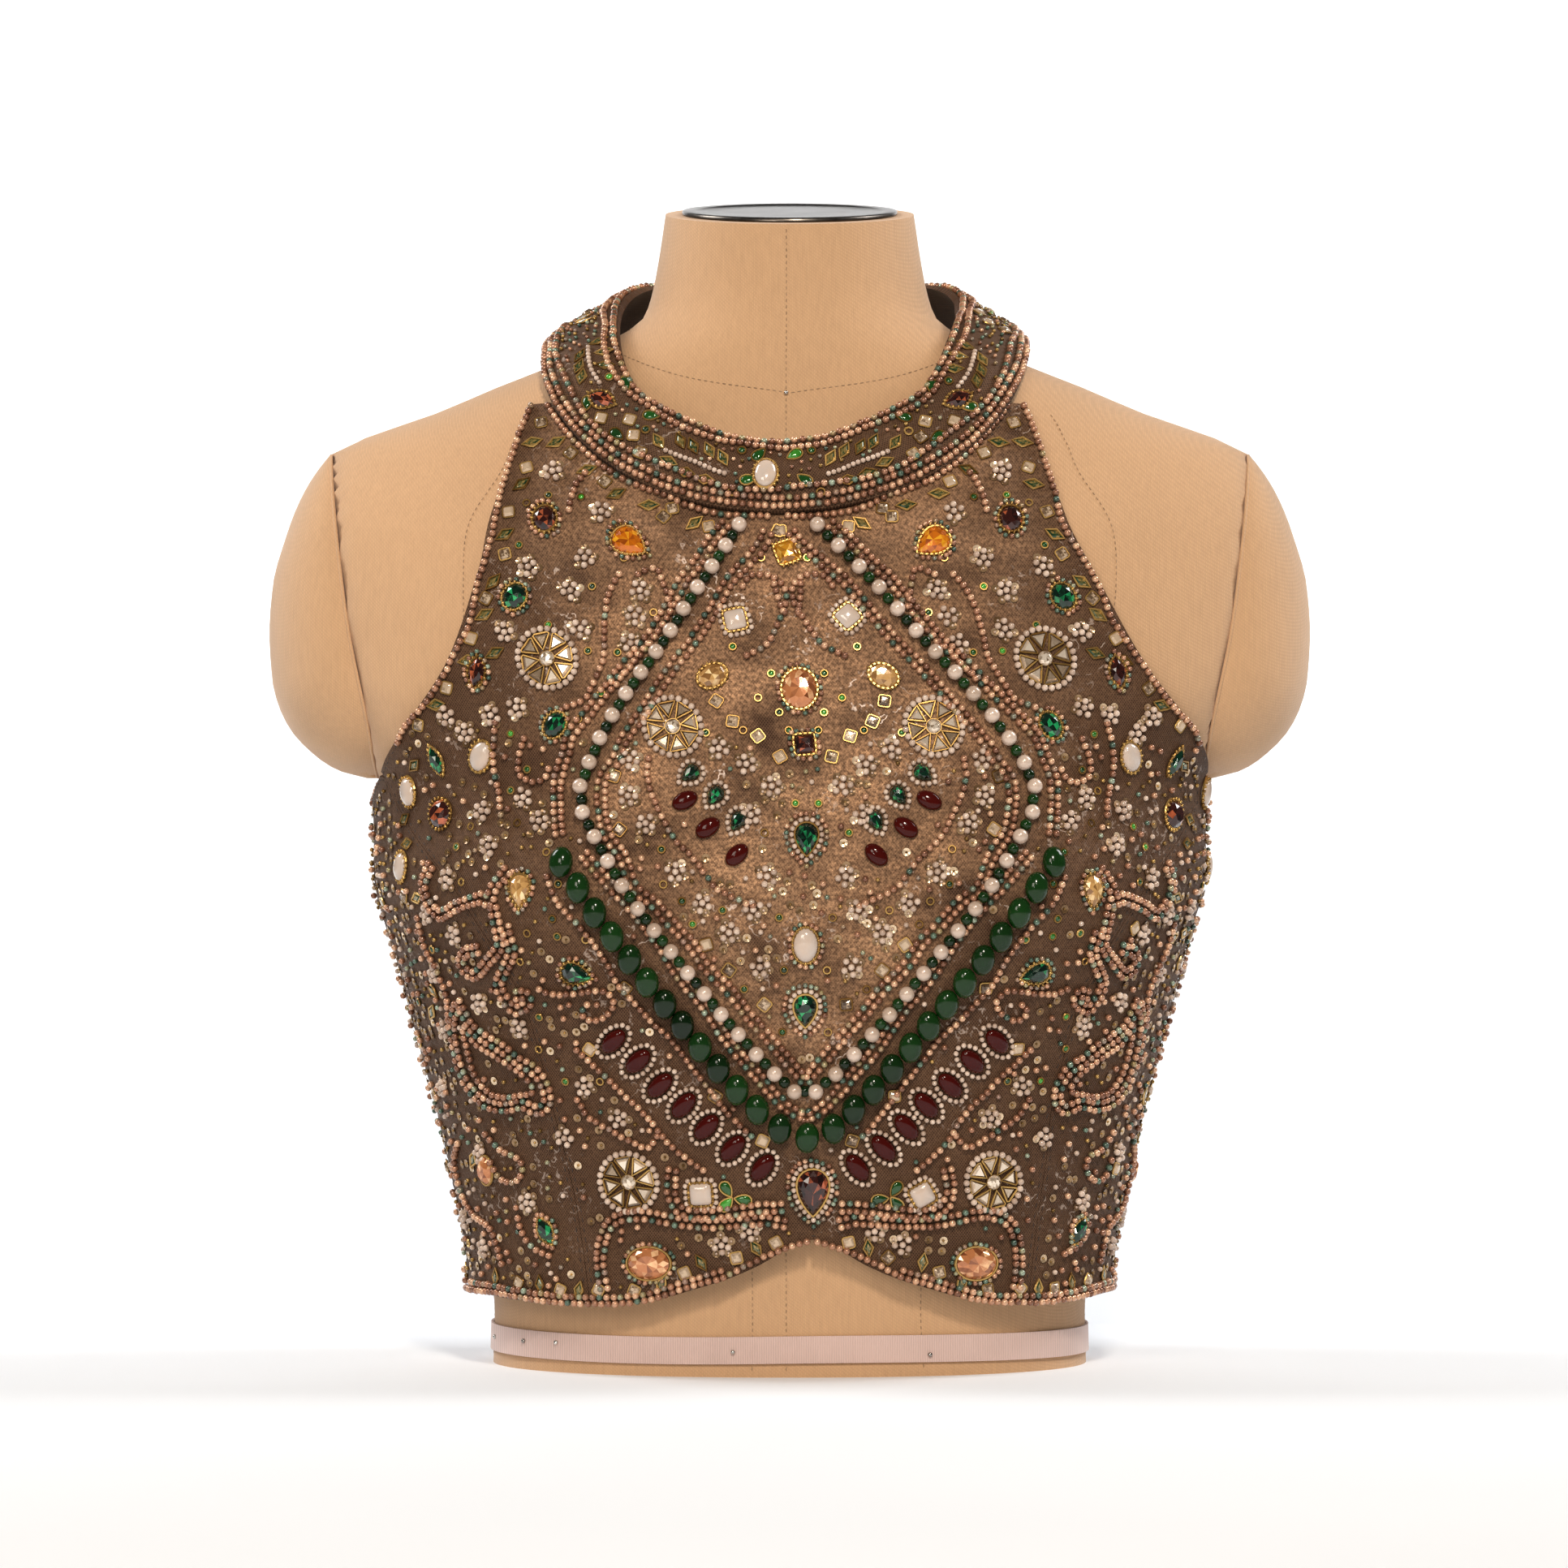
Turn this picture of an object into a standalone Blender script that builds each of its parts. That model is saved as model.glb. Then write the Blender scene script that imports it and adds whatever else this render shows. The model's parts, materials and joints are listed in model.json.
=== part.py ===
"""Jewelled halter choli blouse on a waist-length dress form.

Blender 4.5, metres, +Z up. The form faces -Y and stands on its flat base, with the origin at the
base's centre. Sizes in this file are millimetres and are scaled to metres when a mesh is made.
"""

import math
from collections import namedtuple

import bpy
import numpy as np
from mathutils.geometry import delaunay_2d_cdt

MM = 0.001

# The photograph's view, which the places of the stones are read in
VIEW_DISTANCE = 3000.0
VIEW_HEIGHT = 241.4
MM_PER_PIXEL = 0.34
VIEW_ROW = 966.0
CHEST_NEARNESS = 1.035
START_DEPTH = -100.0
VIEW_ROUNDS = 6

# Cloth and form
CLOTH = 2.0
COLLAR_CLOTH = 2.6
SEAM_GAP = 0.3
TAPE_CLOTH = 1.0
TAPE_BOTTOM = 5.5
TAPE_TOP = 16.5
TAPE_GAP = 0.4
FORM_POINTS = 48
WIDEST_ROW = 24
NECK_TOP = 480.0
NECK_PLATE_RADIUS = 45.0
NECK_PLATE_THICKNESS = 1.6
NECK_PLATE_POINTS = 36
NECK_TILT_START = 445.0
NECK_TILT = 0.15
SIDE_SHARE = 0.52
TIP_CUT = 1.0
HEM_AT_PRINCESS = 29.0
HEM_AT_SIDE = 31.0
SIDE_SEAM_POINTS = 28
BACK_NECK_POINTS = 13
CENTRE_BACK_POINTS = 48
NECKLINE_POINTS = 16
PLACKET_HALF_WIDTH = 11.0
PLACKET_CLOTH = 1.2
PLACKET_TOP = 412.0

# Level sections of the form's body, from the base to the top of the neck
Section = namedtuple("Section", "height half_width front back power")
SECTIONS = (
    Section(0, 124, 88, 86, 2.2),
    Section(20, 123.5, 87, 85, 2.2),
    Section(45, 126, 89, 86, 2.2),
    Section(75, 133, 95, 90, 2.2),
    Section(110, 143, 104, 96, 2.2),
    Section(145, 153, 113, 103, 2.2),
    Section(175, 160.5, 119, 109, 2.25),
    Section(203, 168, 121, 113, 2.3),
    Section(225, 169.5, 119.5, 116, 2.3),
    Section(243, 171.5, 117, 118, 2.3),
    Section(254, 179, 115, 118.5, 2.3),
    Section(264, 186, 112.5, 118.5, 2.3),
    Section(284, 199, 107, 118, 2.3),
    Section(305, 206, 101, 116, 2.3),
    Section(325, 210, 94.5, 112, 2.3),
    Section(345, 211, 87, 106, 2.3),
    Section(362, 206, 78, 99, 2.3),
    Section(373, 198, 71.5, 92, 2.3),
    Section(379, 193, 68, 87, 2.3),
    Section(386, 178, 64, 82, 2.3),
    Section(396, 149, 60.5, 76, 2.3),
    Section(407, 123, 58.5, 71, 2.25),
    Section(417, 97.5, 57, 68, 2.2),
    Section(425, 79, 56, 66, 2.15),
    Section(431, 67.5, 55, 64.5, 2.1),
    Section(436, 61.5, 54.5, 63, 2.1),
    Section(445, 58, 54, 60, 2.05),
    Section(460, 55, 54.5, 55, 2.05),
    Section(NECK_TOP, 52, 56, 50, 2.05),
)

# Room between the form and the inside of the cloth, and its lift off the shoulders' slope
Ease = namedtuple("Ease", "height side front back lift")
EASES = (
    Ease(20, 8.5, 8.0, 5.0, 0),
    Ease(45, 7.5, 7.0, 4.5, 0),
    Ease(75, 6.0, 5.5, 4.0, 0),
    Ease(110, 4.0, 3.5, 3.5, 0),
    Ease(145, 3.5, 2.0, 3.2, 0),
    Ease(175, 3.5, 1.2, 3.2, 0),
    Ease(203, 3.5, 0.9, 3.2, 0),
    Ease(225, 2.5, 0.9, 3.2, 0),
    Ease(243, 2.0, 0.9, 3.2, 0),
    Ease(300, 1.2, 0.9, 3.4, 0),
    Ease(340, 1.2, 1.2, 4.0, 0.5),
    Ease(375, 1.2, 1.2, 4.4, 1.4),
    Ease(430, 1.2, 1.2, 4.4, 1.4),
)

# Two soft mounds of the form's bust
BUST_RISE = 13.0
BUST_TURN = 42.0
BUST_SPREAD = 20.0
BUST_HEIGHT = 188.0
BUST_REACH = 46.0

# How far the blouse's centre front line lies from the form's middle, as it was put on
Drift = namedtuple("Drift", "height across")
DRIFTS = (
    Drift(20, 9.3),
    Drift(77, 8.6),
    Drift(115, 6.0),
    Drift(176, 6.3),
    Drift(240, 6.8),
    Drift(280, 3.6),
    Drift(330, -2.0),
    Drift(350, -5.0),
    Drift(430, -5.4),
)

# Room between the placket and the inside of the backs
PlacketGap = namedtuple("PlacketGap", "height gap")
PLACKET_GAPS = (
    PlacketGap(30, 0.9),
    PlacketGap(335, 0.9),
    PlacketGap(370, 1.6),
    PlacketGap(420, 1.6),
)

# The flat armhole plates of the form, and the padded caps outside them
Plate = namedtuple("Plate", "height plate")
PLATES = (
    Plate(243, 172),
    Plate(254, 172.5),
    Plate(308, 182),
    Plate(345, 187),
    Plate(379, 191),
)
Cap = namedtuple("Cap", "height reach")
CAPS = (
    Cap(243.8, 177),
    Cap(247, 189),
    Cap(254, 199.6),
    Cap(264, 209),
    Cap(274, 214),
    Cap(284, 216.6),
    Cap(305, 218),
    Cap(325, 216.5),
    Cap(345, 211),
    Cap(356, 207),
    Cap(366, 202),
    Cap(374, 196.5),
    Cap(378.5, 192.5),
)
CAP_POWER = 2.1
CAP_POINTS = 15

# Cut lines of the blouse. Distance is measured round the body from the centre front line
Cut = namedtuple("Cut", "distance height")
HEM = (
    Cut(0, 57),
    Cut(8.5, 54),
    Cut(21, 46.5),
    Cut(34, 40.7),
    Cut(47, 36.5),
    Cut(61, 32.5),
    Cut(76, 30),
    Cut(100, 29),
    Cut(130, 29.5),
    Cut(175, 32),
    Cut(260, 30),
    Cut(380, 30),
)
PRINCESS_SEAM = (
    Cut(91, 20),
    Cut(96, 60),
    Cut(101, 90),
    Cut(107, 120),
    Cut(115, 151),
    Cut(121, 163),
    Cut(133, 180),
    Cut(151, 200),
    Cut(176, 220),
    Cut(191, 235),
    Cut(200, 247.5),
)
ARMHOLE = (
    Cut(102.5, 400),
    Cut(107.5, 380),
    Cut(114.5, 360),
    Cut(126.5, 327),
    Cut(146.5, 288),
    Cut(175, 262),
    Cut(200, 247.5),
    Cut(221, 238.5),
    Cut(248.3, 231),
)
# The back's armhole, measured from the centre back
BACK_ARMHOLE = (
    Cut(96, 419.5),
    Cut(99, 410),
    Cut(104, 395),
    Cut(111, 375),
    Cut(119, 350),
    Cut(131, 320),
    Cut(149, 290),
    Cut(173, 265),
    Cut(196, 248.5),
    Cut(213, 238.5),
    Cut(229.2, 231),
)

# The collar's lower edge where it lies on the front, seen from the front: half an ellipse
NECKLINE_HALF_WIDTH = 100.0
NECKLINE_DROP = 72.0
NECKLINE_CENTRE = 422.0
NECKLINE_LAST_TURN = 70

# Its lower edge where it lies on the back: level, with this much of it on each side
BACK_NECK_HEIGHT = 420.0
BACK_NECK_REACH = 92.0
BACK_NECK_FIRST_TURN = 130
COLLAR_STAND_OFF = 0.4

# The collar's free lower edge over the shoulders, and its whole upper edge
EdgePoint = namedtuple("EdgePoint", "turn across depth height")
FREE_EDGE = (
    EdgePoint(80, 98.5, -38, 408.5),
    EdgePoint(90, 100, -20, 418),
    EdgePoint(100, 98.5, 0, 423),
    EdgePoint(110, 94, 20, 424.5),
    EdgePoint(120, 86, 36, 423),
)
UPPER_EDGE = (
    EdgePoint(0, 0, -74, 380),
    EdgePoint(15, 18, -72.5, 382.5),
    EdgePoint(30, 34, -69, 388.5),
    EdgePoint(45, 47.5, -63.5, 395),
    EdgePoint(58, 57, -59.5, 401.5),
    EdgePoint(70, 63.5, -52, 412.5),
    EdgePoint(80, 67, -40, 423),
    EdgePoint(90, 69, -18, 431.5),
    EdgePoint(100, 69.8, 0, 437),
    EdgePoint(110, 69, 15, 442.5),
    EdgePoint(120, 65.5, 29, 448),
    EdgePoint(130, 59, 41, 451.5),
    EdgePoint(145, 43, 55, 454),
    EdgePoint(160, 26, 63, 455.5),
    EdgePoint(180, 0, 67, 456.5),
)
Sway = namedtuple("Sway", "turn across")
COLLAR_SWAYS = (
    Sway(0, -5.4),
    Sway(70, -3.6),
    Sway(100, -0.5),
    Sway(180, 5.4),
)
COLLAR_BULGE = 4.0
COLLAR_WIDTH = 34.0
COLLAR_OPENING = 0.5

# Stones and large beads. Across is from the centre front line and down is from the frame's top,
# in the photograph's pixels; turn is in degrees anticlockwise from upright; sizes in millimetres
Stone = namedtuple("Stone", "kind across down turn long wide")
SINGLE_STONES = (
    Stone("square", 5, 683, 20, 10, 9.5),
    Stone("oval", 0, 851, 0, 17.5, 15),
    Stone("square", 0, 919, 5, 9, 9),
    Stone("pear", 0, 1035, 180, 14, 11),
    Stone("oval", 0, 1164, 0, 15, 11),
    Stone("pear", 0, 1244, 180, 14, 11),
    Stone("pear", 2, 1468, 180, 20, 15),
    Stone("square", -70, 766, 12, 9.5, 9.5),
    Stone("square", 69, 762, 42, 9.5, 9.5),
    Stone("square", -135, 1470, 3, 10, 10),
    Stone("square", 135, 1471, 30, 10, 10),
)
PAIRED_STONES = (
    Stone("oval", 286, 642, -5, 12, 10.5),
    Stone("pear", 186, 671, 125, 16, 13.5),
    Stone("oval", 336, 737, 30, 12, 10.5),
    Stone("wheel", 305, 813, 0, 27, 27),
    Stone("oval", 105, 835, 60, 13, 10),
    Stone("marquise", 392, 829, 8, 14, 8),
    Stone("oval", 303, 895, 30, 12, 9.5),
    Stone("wheel", 160, 897, 0, 26, 26),
    Stone("marquise", 450, 936, -18, 13.5, 6.5),
    Stone("oval", 396, 932, 22, 13.5, 10),
    Stone("oval", 484, 976, -20, 13.5, 10),
    Stone("round", 445, 1004, 0, 13, 13),
    Stone("oval", 492, 1068, 18, 13, 9.5),
    Stone("pear", 349, 1098, 180, 14, 11),
    Stone("pear", 280, 1197, 105, 13.5, 10.5),
    Stone("pear", 143, 955, -127, 9, 7.5),
    Stone("pear", 113, 982, -143, 9, 7.5),
    Stone("pear", 85, 1013, -152, 9, 7.5),
    Stone("cabochon", 150, 988, 63, 12, 8),
    Stone("cabochon", 122, 1021, 55, 12, 8),
    Stone("cabochon", 86, 1054, 47, 12, 8),
    Stone("cabochon", 234, 1280, 47, 14, 8),
    Stone("cabochon", 204, 1305, 47, 14, 8),
    Stone("cabochon", 177, 1335, 46, 14, 8),
    Stone("cabochon", 148, 1360, 44, 14, 8),
    Stone("cabochon", 122, 1387, 43, 14, 8),
    Stone("cabochon", 92, 1413, 43, 14, 8),
    Stone("cabochon", 58, 1437, 38, 14, 8),
    Stone("wheel", 222, 1455, 0, 27, 27),
    Stone("oval", 199, 1556, 88, 19, 14),
    Stone("marquise", 323, 1515, -28, 13, 8),
    Stone("oval", 392, 1440, 15, 13, 9),
)
RISES = {
    "square": 3.2,
    "oval": 3.6,
    "round": 4.0,
    "pear": 3.6,
    "marquise": 3.2,
    "cabochon": 3.4,
    "wheel": 2.0,
    "pearl": 5.0,
    "bead": 7.0,
}
LARGE_STONE = 12.5
TOP_SHARE = 0.6
WHEEL_TOP_SHARE = 0.85
STONE_MARGIN = 0.9
SMALL_STONE_POINTS = 6
LARGE_STONE_POINTS = 8
POINTED_FROM = 0.3
POINTED_WIDTH = 0.45

# Two rows of beads: the pearl lozenge, and the pointed row of big green beads under it
RowPoint = namedtuple("RowPoint", "across down")
PEARL_ROW = (
    RowPoint(48, 652),
    RowPoint(88, 700),
    RowPoint(119, 738),
    RowPoint(157, 790),
    RowPoint(198, 840),
    RowPoint(240, 898),
    RowPoint(271, 958),
    RowPoint(276, 992),
    RowPoint(262, 1029),
    RowPoint(227, 1091),
    RowPoint(185, 1147),
    RowPoint(138, 1204),
    RowPoint(87, 1265),
    RowPoint(33, 1324),
    RowPoint(0, 1352),
)
PEARL_SIZE = 6.4
PEARL_SPACING = 10.9
BEAD_ROW = (
    RowPoint(298, 1066),
    RowPoint(257, 1125),
    RowPoint(213, 1182),
    RowPoint(168, 1237),
    RowPoint(122, 1293),
    RowPoint(78, 1344),
    RowPoint(50, 1371),
    RowPoint(26, 1391),
    RowPoint(0, 1398),
)
BEAD_LENGTH = 12.4
BEAD_WIDTH = 9.2
BEAD_SPACING = 11.6

# Stones of the collar by turn round it, share of its width from the lower edge, and own lean
CollarStone = namedtuple("CollarStone", "kind turn share lean long wide")
COLLAR_STONES = (
    CollarStone("oval", -3, 0.45, 0, 13.5, 10),
    CollarStone("marquise", 60, 0.52, 62, 13, 8.5),
    CollarStone("marquise", -60, 0.52, -62, 13, 8.5),
    CollarStone("oval", 128, 0.5, 0, 13.5, 10),
    CollarStone("oval", -128, 0.5, 0, 13.5, 10),
)

# Spacing of a wall's points on its outer face, its inner face and its edge
FRONT_STEPS = (13.0, 18.0)
BACK_STEPS = (16.0, 18.0)
COLLAR_STEPS = (12.0, 12.0)
PLACKET_STEPS = (9.0, 9.0)
EDGE_STEP = 7.5
ROW_SHARE = 0.87
EDGE_ROOM = 0.45
POINT_ROOM = 0.4
SHARP_ANGLE = 40

COLLECTION = "halter_choli_on_form"
COLOURS = {
    "cloth": (0.20, 0.145, 0.105),
    "linen": (0.62, 0.44, 0.28),
    "tape": (0.62, 0.44, 0.38),
    "metal": (0.10, 0.08, 0.06),
}


class Curve:
    """A smooth curve through a table's rows that never overshoots them."""

    def __init__(self, places, values):
        self.places = np.array(places, float)
        self.values = np.array(values, float)
        self.steps = np.diff(self.places)
        slopes = np.diff(self.values) / self.steps
        before, after = slopes[:-1], slopes[1:]
        total = np.where(before + after == 0, 1.0, before + after)
        inner = np.where(before * after > 0, 2 * before * after / total, 0.0)
        self.slopes = np.concatenate([slopes[:1], inner, slopes[-1:]])

    def __call__(self, place):
        place = np.clip(place, self.places[0], self.places[-1])
        i = np.clip(np.searchsorted(self.places, place) - 1, 0, len(self.steps) - 1)
        step = self.steps[i]
        t = (place - self.places[i]) / step
        rise = self.values[i + 1] - self.values[i]
        bend = t * (1 - t) * step * ((1 - t) * self.slopes[i] - t * self.slopes[i + 1])
        return self.values[i] + rise * t * t * (3 - 2 * t) + bend


def columns(rows, key, names):
    """Each named column of a table as a smooth curve over its key column."""
    places = [getattr(row, key) for row in rows]
    return {name: Curve(places, [getattr(row, name) for row in rows]) for name in names}


SECTION_OF = columns(SECTIONS, "height", ("half_width", "front", "back", "power"))
EASE_OF = columns(EASES, "height", ("side", "front", "back", "lift"))
PLACKET_GAP_OF = columns(PLACKET_GAPS, "height", ("gap",))["gap"]
SWAY_OF = columns(COLLAR_SWAYS, "turn", ("across",))["across"]
DRIFT_OF = columns(DRIFTS, "height", ("across",))["across"]
PLATE_OF = columns(PLATES, "height", ("plate",))["plate"]
HEM_OF = columns(HEM, "distance", ("height",))["height"]
PRINCESS_OF = columns(PRINCESS_SEAM, "height", ("distance",))["distance"]


def section(height, turns, eased):
    """Points of the form's level section at these turns from the front, in radians."""
    source = height - EASE_OF["lift"](height) if eased else height
    width = SECTION_OF["half_width"](source)
    front = SECTION_OF["front"](source)
    back = SECTION_OF["back"](source)
    if eased:
        width = width + EASE_OF["side"](height)
        front = front + EASE_OF["front"](height)
        back = back + EASE_OF["back"](height)
    power = SECTION_OF["power"](source)
    sine, cosine = np.sin(turns), np.cos(turns)
    depth = np.where(cosine >= 0, front, back)
    radius = (np.abs(sine / width) ** power + np.abs(cosine / depth) ** power) ** (-1 / power)
    level = math.exp(-(((height - BUST_HEIGHT) / BUST_REACH) ** 2))
    for centre in (-BUST_TURN, BUST_TURN):
        radius = radius + BUST_RISE * level * np.exp(
            -(((np.degrees(turns) - centre) / BUST_SPREAD) ** 2)
        )
    return np.stack([radius * sine, -radius * cosine], axis=-1)


class ClothSurface:
    """The inside of the blouse's cloth, by distance round from its centre front and height."""

    LOWEST, HIGHEST, ROW_STEP, TURNS = 16.0, 432.0, 2.0, 721

    def __init__(self):
        self.heights = np.arange(self.LOWEST, self.HIGHEST + 0.1, self.ROW_STEP)
        turns = np.radians(np.linspace(-180, 180, self.TURNS))
        self.rings, self.arcs, self.girths = [], [], []
        for height in self.heights:
            ring = section(height, turns, True)
            arc = np.concatenate([[0], np.cumsum(np.linalg.norm(np.diff(ring, axis=0), axis=1))])
            middle = self.TURNS // 2
            front = slice(middle - 60, middle + 61)
            start = np.interp(DRIFT_OF(height), ring[front, 0], arc[front])
            self.rings.append(ring)
            self.arcs.append(arc - start)
            self.girths.append(arc[-1])

    def girth(self, height):
        return float(np.interp(height, self.heights, self.girths))

    def flat_point(self, distance, height):
        height = min(max(height, self.LOWEST), self.HIGHEST - self.ROW_STEP)
        i = int((height - self.LOWEST) / self.ROW_STEP)
        share = (height - self.heights[i]) / self.ROW_STEP
        found = []
        for row in (i, i + 1):
            arc, ring, girth = self.arcs[row], self.rings[row], self.girths[row]
            place = (distance - arc[0]) % girth + arc[0]
            found.append([np.interp(place, arc, ring[:, k]) for k in (0, 1)])
        across, depth = np.array(found[0]) * (1 - share) + np.array(found[1]) * share
        return np.array([across, depth, height])

    def outward(self, distance, height, reach=1.5):
        along = self.flat_point(distance + reach, height) - self.flat_point(distance - reach, height)
        up = self.flat_point(distance, height + reach) - self.flat_point(distance, height - reach)
        normal = np.cross(along, up)
        return normal / np.linalg.norm(normal)

    def point(self, distance, height, off=0.0):
        return self.flat_point(distance, height) + off * self.outward(distance, height)

    def distance_at(self, across, height):
        """Distance from the centre front line of the front point this far across."""
        i = int(round((height - self.LOWEST) / self.ROW_STEP))
        ring, arc = self.rings[i], self.arcs[i]
        quarter = self.TURNS // 4
        front = slice(quarter, 3 * quarter + 1)
        return float(np.interp(across, ring[front, 0], arc[front]))


CLOTH_INSIDE = ClothSurface()


def placed_from_view(across, down, side):
    """Distance and height on the cloth of a point of the photograph, on one side of the middle."""
    depth = START_DEPTH
    for _ in range(VIEW_ROUNDS):
        nearness = VIEW_DISTANCE / (VIEW_DISTANCE + depth)
        scale = MM_PER_PIXEL / nearness
        height = VIEW_HEIGHT + (VIEW_ROW - down) * scale
        place = DRIFT_OF(height) + side * across * scale
        distance = CLOTH_INSIDE.distance_at(place, height)
        depth = CLOTH_INSIDE.flat_point(distance, height)[1]
    return distance, height


def resampled(points, spacing):
    """A path of 2D points cut at even steps, both ends kept."""
    points = np.array(points, float)
    lengths = np.concatenate([[0], np.cumsum(np.linalg.norm(np.diff(points, axis=0), axis=1))])
    count = max(1, round(lengths[-1] / spacing))
    places = np.linspace(0, lengths[-1], count + 1)
    return np.stack([np.interp(places, lengths, points[:, k]) for k in (0, 1)], axis=1)


def smooth_path(rows, names, samples=12):
    """A Catmull-Rom path through a table's rows."""
    points = np.array([[getattr(row, name) for name in names] for row in rows], float)
    padded = np.vstack([2 * points[0] - points[1], points, 2 * points[-1] - points[-2]])
    path = []
    for a, b, c, d in zip(padded, padded[1:], padded[2:], padded[3:]):
        for t in np.arange(samples) / samples:
            path.append(
                0.5 * (2 * b + (c - a) * t + (2 * a - 5 * b + 4 * c - d) * t * t)
                + 0.5 * (3 * b - a - 3 * c + d) * t**3
            )
    path.append(points[-1])
    return np.array(path)


def inside(point, outline):
    """Whether a 2D point lies in a closed outline."""
    x, y = point
    nexts = np.roll(outline, -1, axis=0)
    crosses = (outline[:, 1] > y) != (nexts[:, 1] > y)
    rises = np.where(crosses, nexts[:, 1] - outline[:, 1], 1.0)
    at = outline[:, 0] + (y - outline[:, 1]) * (nexts[:, 0] - outline[:, 0]) / rises
    return bool(np.count_nonzero(crosses & (x < at)) % 2)


def clearance(point, outline):
    """Distance from a 2D point to a closed outline."""
    ends = np.roll(outline, -1, axis=0)
    sides = ends - outline
    share = ((point - outline) * sides).sum(1) / np.maximum((sides**2).sum(1), 1e-9)
    nearest = outline + np.clip(share, 0, 1)[:, None] * sides
    return float(np.linalg.norm(point - nearest, axis=1).min())


def stone_rings(stone, centre, turn):
    """A stone's foot and flat top as two rings of 2D points. A pearl has a single top point."""
    count = LARGE_STONE_POINTS if stone.long >= LARGE_STONE else SMALL_STONE_POINTS
    angles = np.arange(count) * 2 * math.pi / count + math.pi / count
    local = np.stack([stone.wide / 2 * np.sin(angles), stone.long / 2 * np.cos(angles)], axis=1)
    tip = POINTED_FROM * stone.long
    if stone.kind in ("pear", "marquise"):
        local[:, 0] *= np.where(local[:, 1] > tip, POINTED_WIDTH, 1.0)
    if stone.kind == "marquise":
        local[:, 0] *= np.where(local[:, 1] < -tip, POINTED_WIDTH, 1.0)
    cosine, sine = math.cos(math.radians(turn)), math.sin(math.radians(turn))
    turned = local @ np.array([[cosine, sine], [-sine, cosine]])
    if stone.kind == "pearl":
        return centre + turned, np.array([centre])
    share = WHEEL_TOP_SHARE if stone.kind == "wheel" else TOP_SHARE
    return centre + turned, centre + share * turned


def triangulated(outline, step, rings=()):
    """Triangles of an outline with a grid of points and rings inside it. The outline comes first."""
    points = [tuple(p) for p in outline]
    heights = [0.0] * len(points)
    edges = []
    for foot, top, rise in rings:
        for ring, height in ((foot, 0.0), (top, rise)):
            first = len(points)
            points.extend(tuple(p) for p in ring)
            heights.extend([height] * len(ring))
            if len(ring) > 1:
                edges.extend((first + i, first + (i + 1) % len(ring)) for i in range(len(ring)))
    low, high = outline.min(0), outline.max(0)
    taken = np.array(points)
    feet = [foot for foot, _, _ in rings]
    row_step = step * ROW_SHARE
    for j, y in enumerate(np.arange(low[1] + row_step / 2, high[1], row_step)):
        for x in np.arange(low[0] + step * (0.25 + 0.5 * (j % 2)), high[0], step):
            spot = np.array([x, y])
            if not inside(spot, outline) or clearance(spot, outline) < EDGE_ROOM * step:
                continue
            if np.linalg.norm(taken - spot, axis=1).min() < POINT_ROOM * step:
                continue
            if any(inside(spot, foot) for foot in feet):
                continue
            points.append((x, y))
            heights.append(0.0)
    _, _, faces, origins, *_ = delaunay_2d_cdt(points, edges, [list(range(len(outline)))], 1, 1e-5)
    return points, heights, [[origins[i][0] for i in face] for face in faces]


def clean_faces(points, faces):
    """The faces turned anticlockwise, with none that has no area."""
    kept = []
    for a, b, c in faces:
        (ax, ay), (bx, by), (cx, cy) = points[a], points[b], points[c]
        area = (bx - ax) * (cy - ay) - (by - ay) * (cx - ax)
        if abs(area) > 1e-9:
            kept.append((a, b, c) if area > 0 else (a, c, b))
    return kept


def wall(name, outline, place, thickness, material, steps, rings=()):
    """A cloth wall over an outline: its outer face carries the stones, its inner face is plain."""
    outer, rises, outer_faces = triangulated(outline, steps[0], rings)
    inner, _, inner_faces = triangulated(outline, steps[1])
    count, start = len(outline), len(outer)
    verts = [place(x, y, thickness + rise) for (x, y), rise in zip(outer, rises)]
    verts += [place(x, y, 0.0) for x, y in inner]
    faces = clean_faces(outer, outer_faces)
    faces += [(start + a, start + c, start + b) for a, b, c in clean_faces(inner, inner_faces)]
    for i in range(count):
        j = (i + 1) % count
        faces += [(i, start + i, start + j), (i, start + j, j)]
    return solid(name, verts, faces, material)


def solid(name, verts, faces, material):
    """One named object from points in millimetres and its faces."""
    mesh = bpy.data.meshes.new(name)
    mesh.from_pydata([tuple(np.array(v) * MM) for v in verts], [], faces)
    mesh.validate()
    mesh.shade_smooth()
    mesh.set_sharp_from_angle(angle=math.radians(SHARP_ANGLE))
    mesh.materials.append(material)
    obj = bpy.data.objects.new(name, mesh)
    bpy.data.collections[COLLECTION].objects.link(obj)
    return obj


def loft(name, rings, material):
    """A closed solid through rings of equally many points, with a flat face at each end."""
    count = len(rings[0])
    verts = [point for ring in rings for point in ring]
    faces = [tuple(reversed(range(count)))]
    for row in range(len(rings) - 1):
        for i in range(count):
            j = (i + 1) % count
            low, high = row * count, (row + 1) * count
            faces.append((low + i, low + j, high + j, high + i))
    last = (len(rings) - 1) * count
    faces.append(tuple(range(last, last + count)))
    return solid(name, verts, faces, material)


def make_material(name, colour, roughness, metallic=0.0):
    material = bpy.data.materials.new(name)
    material.use_nodes = True
    shader = material.node_tree.nodes["Principled BSDF"]
    shader.inputs["Base Color"].default_value = (*colour, 1.0)
    shader.inputs["Roughness"].default_value = roughness
    shader.inputs["Metallic"].default_value = metallic
    return material


def form_heights():
    """Heights of the form's rings: the table's rows and one more between the wide-spaced ones."""
    rows = [row.height for row in SECTIONS]
    heights = []
    for low, high in zip(rows, rows[1:]):
        heights.append(low)
        if high - low > WIDEST_ROW:
            heights.append((low + high) / 2)
    return heights + [rows[-1]]


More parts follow.
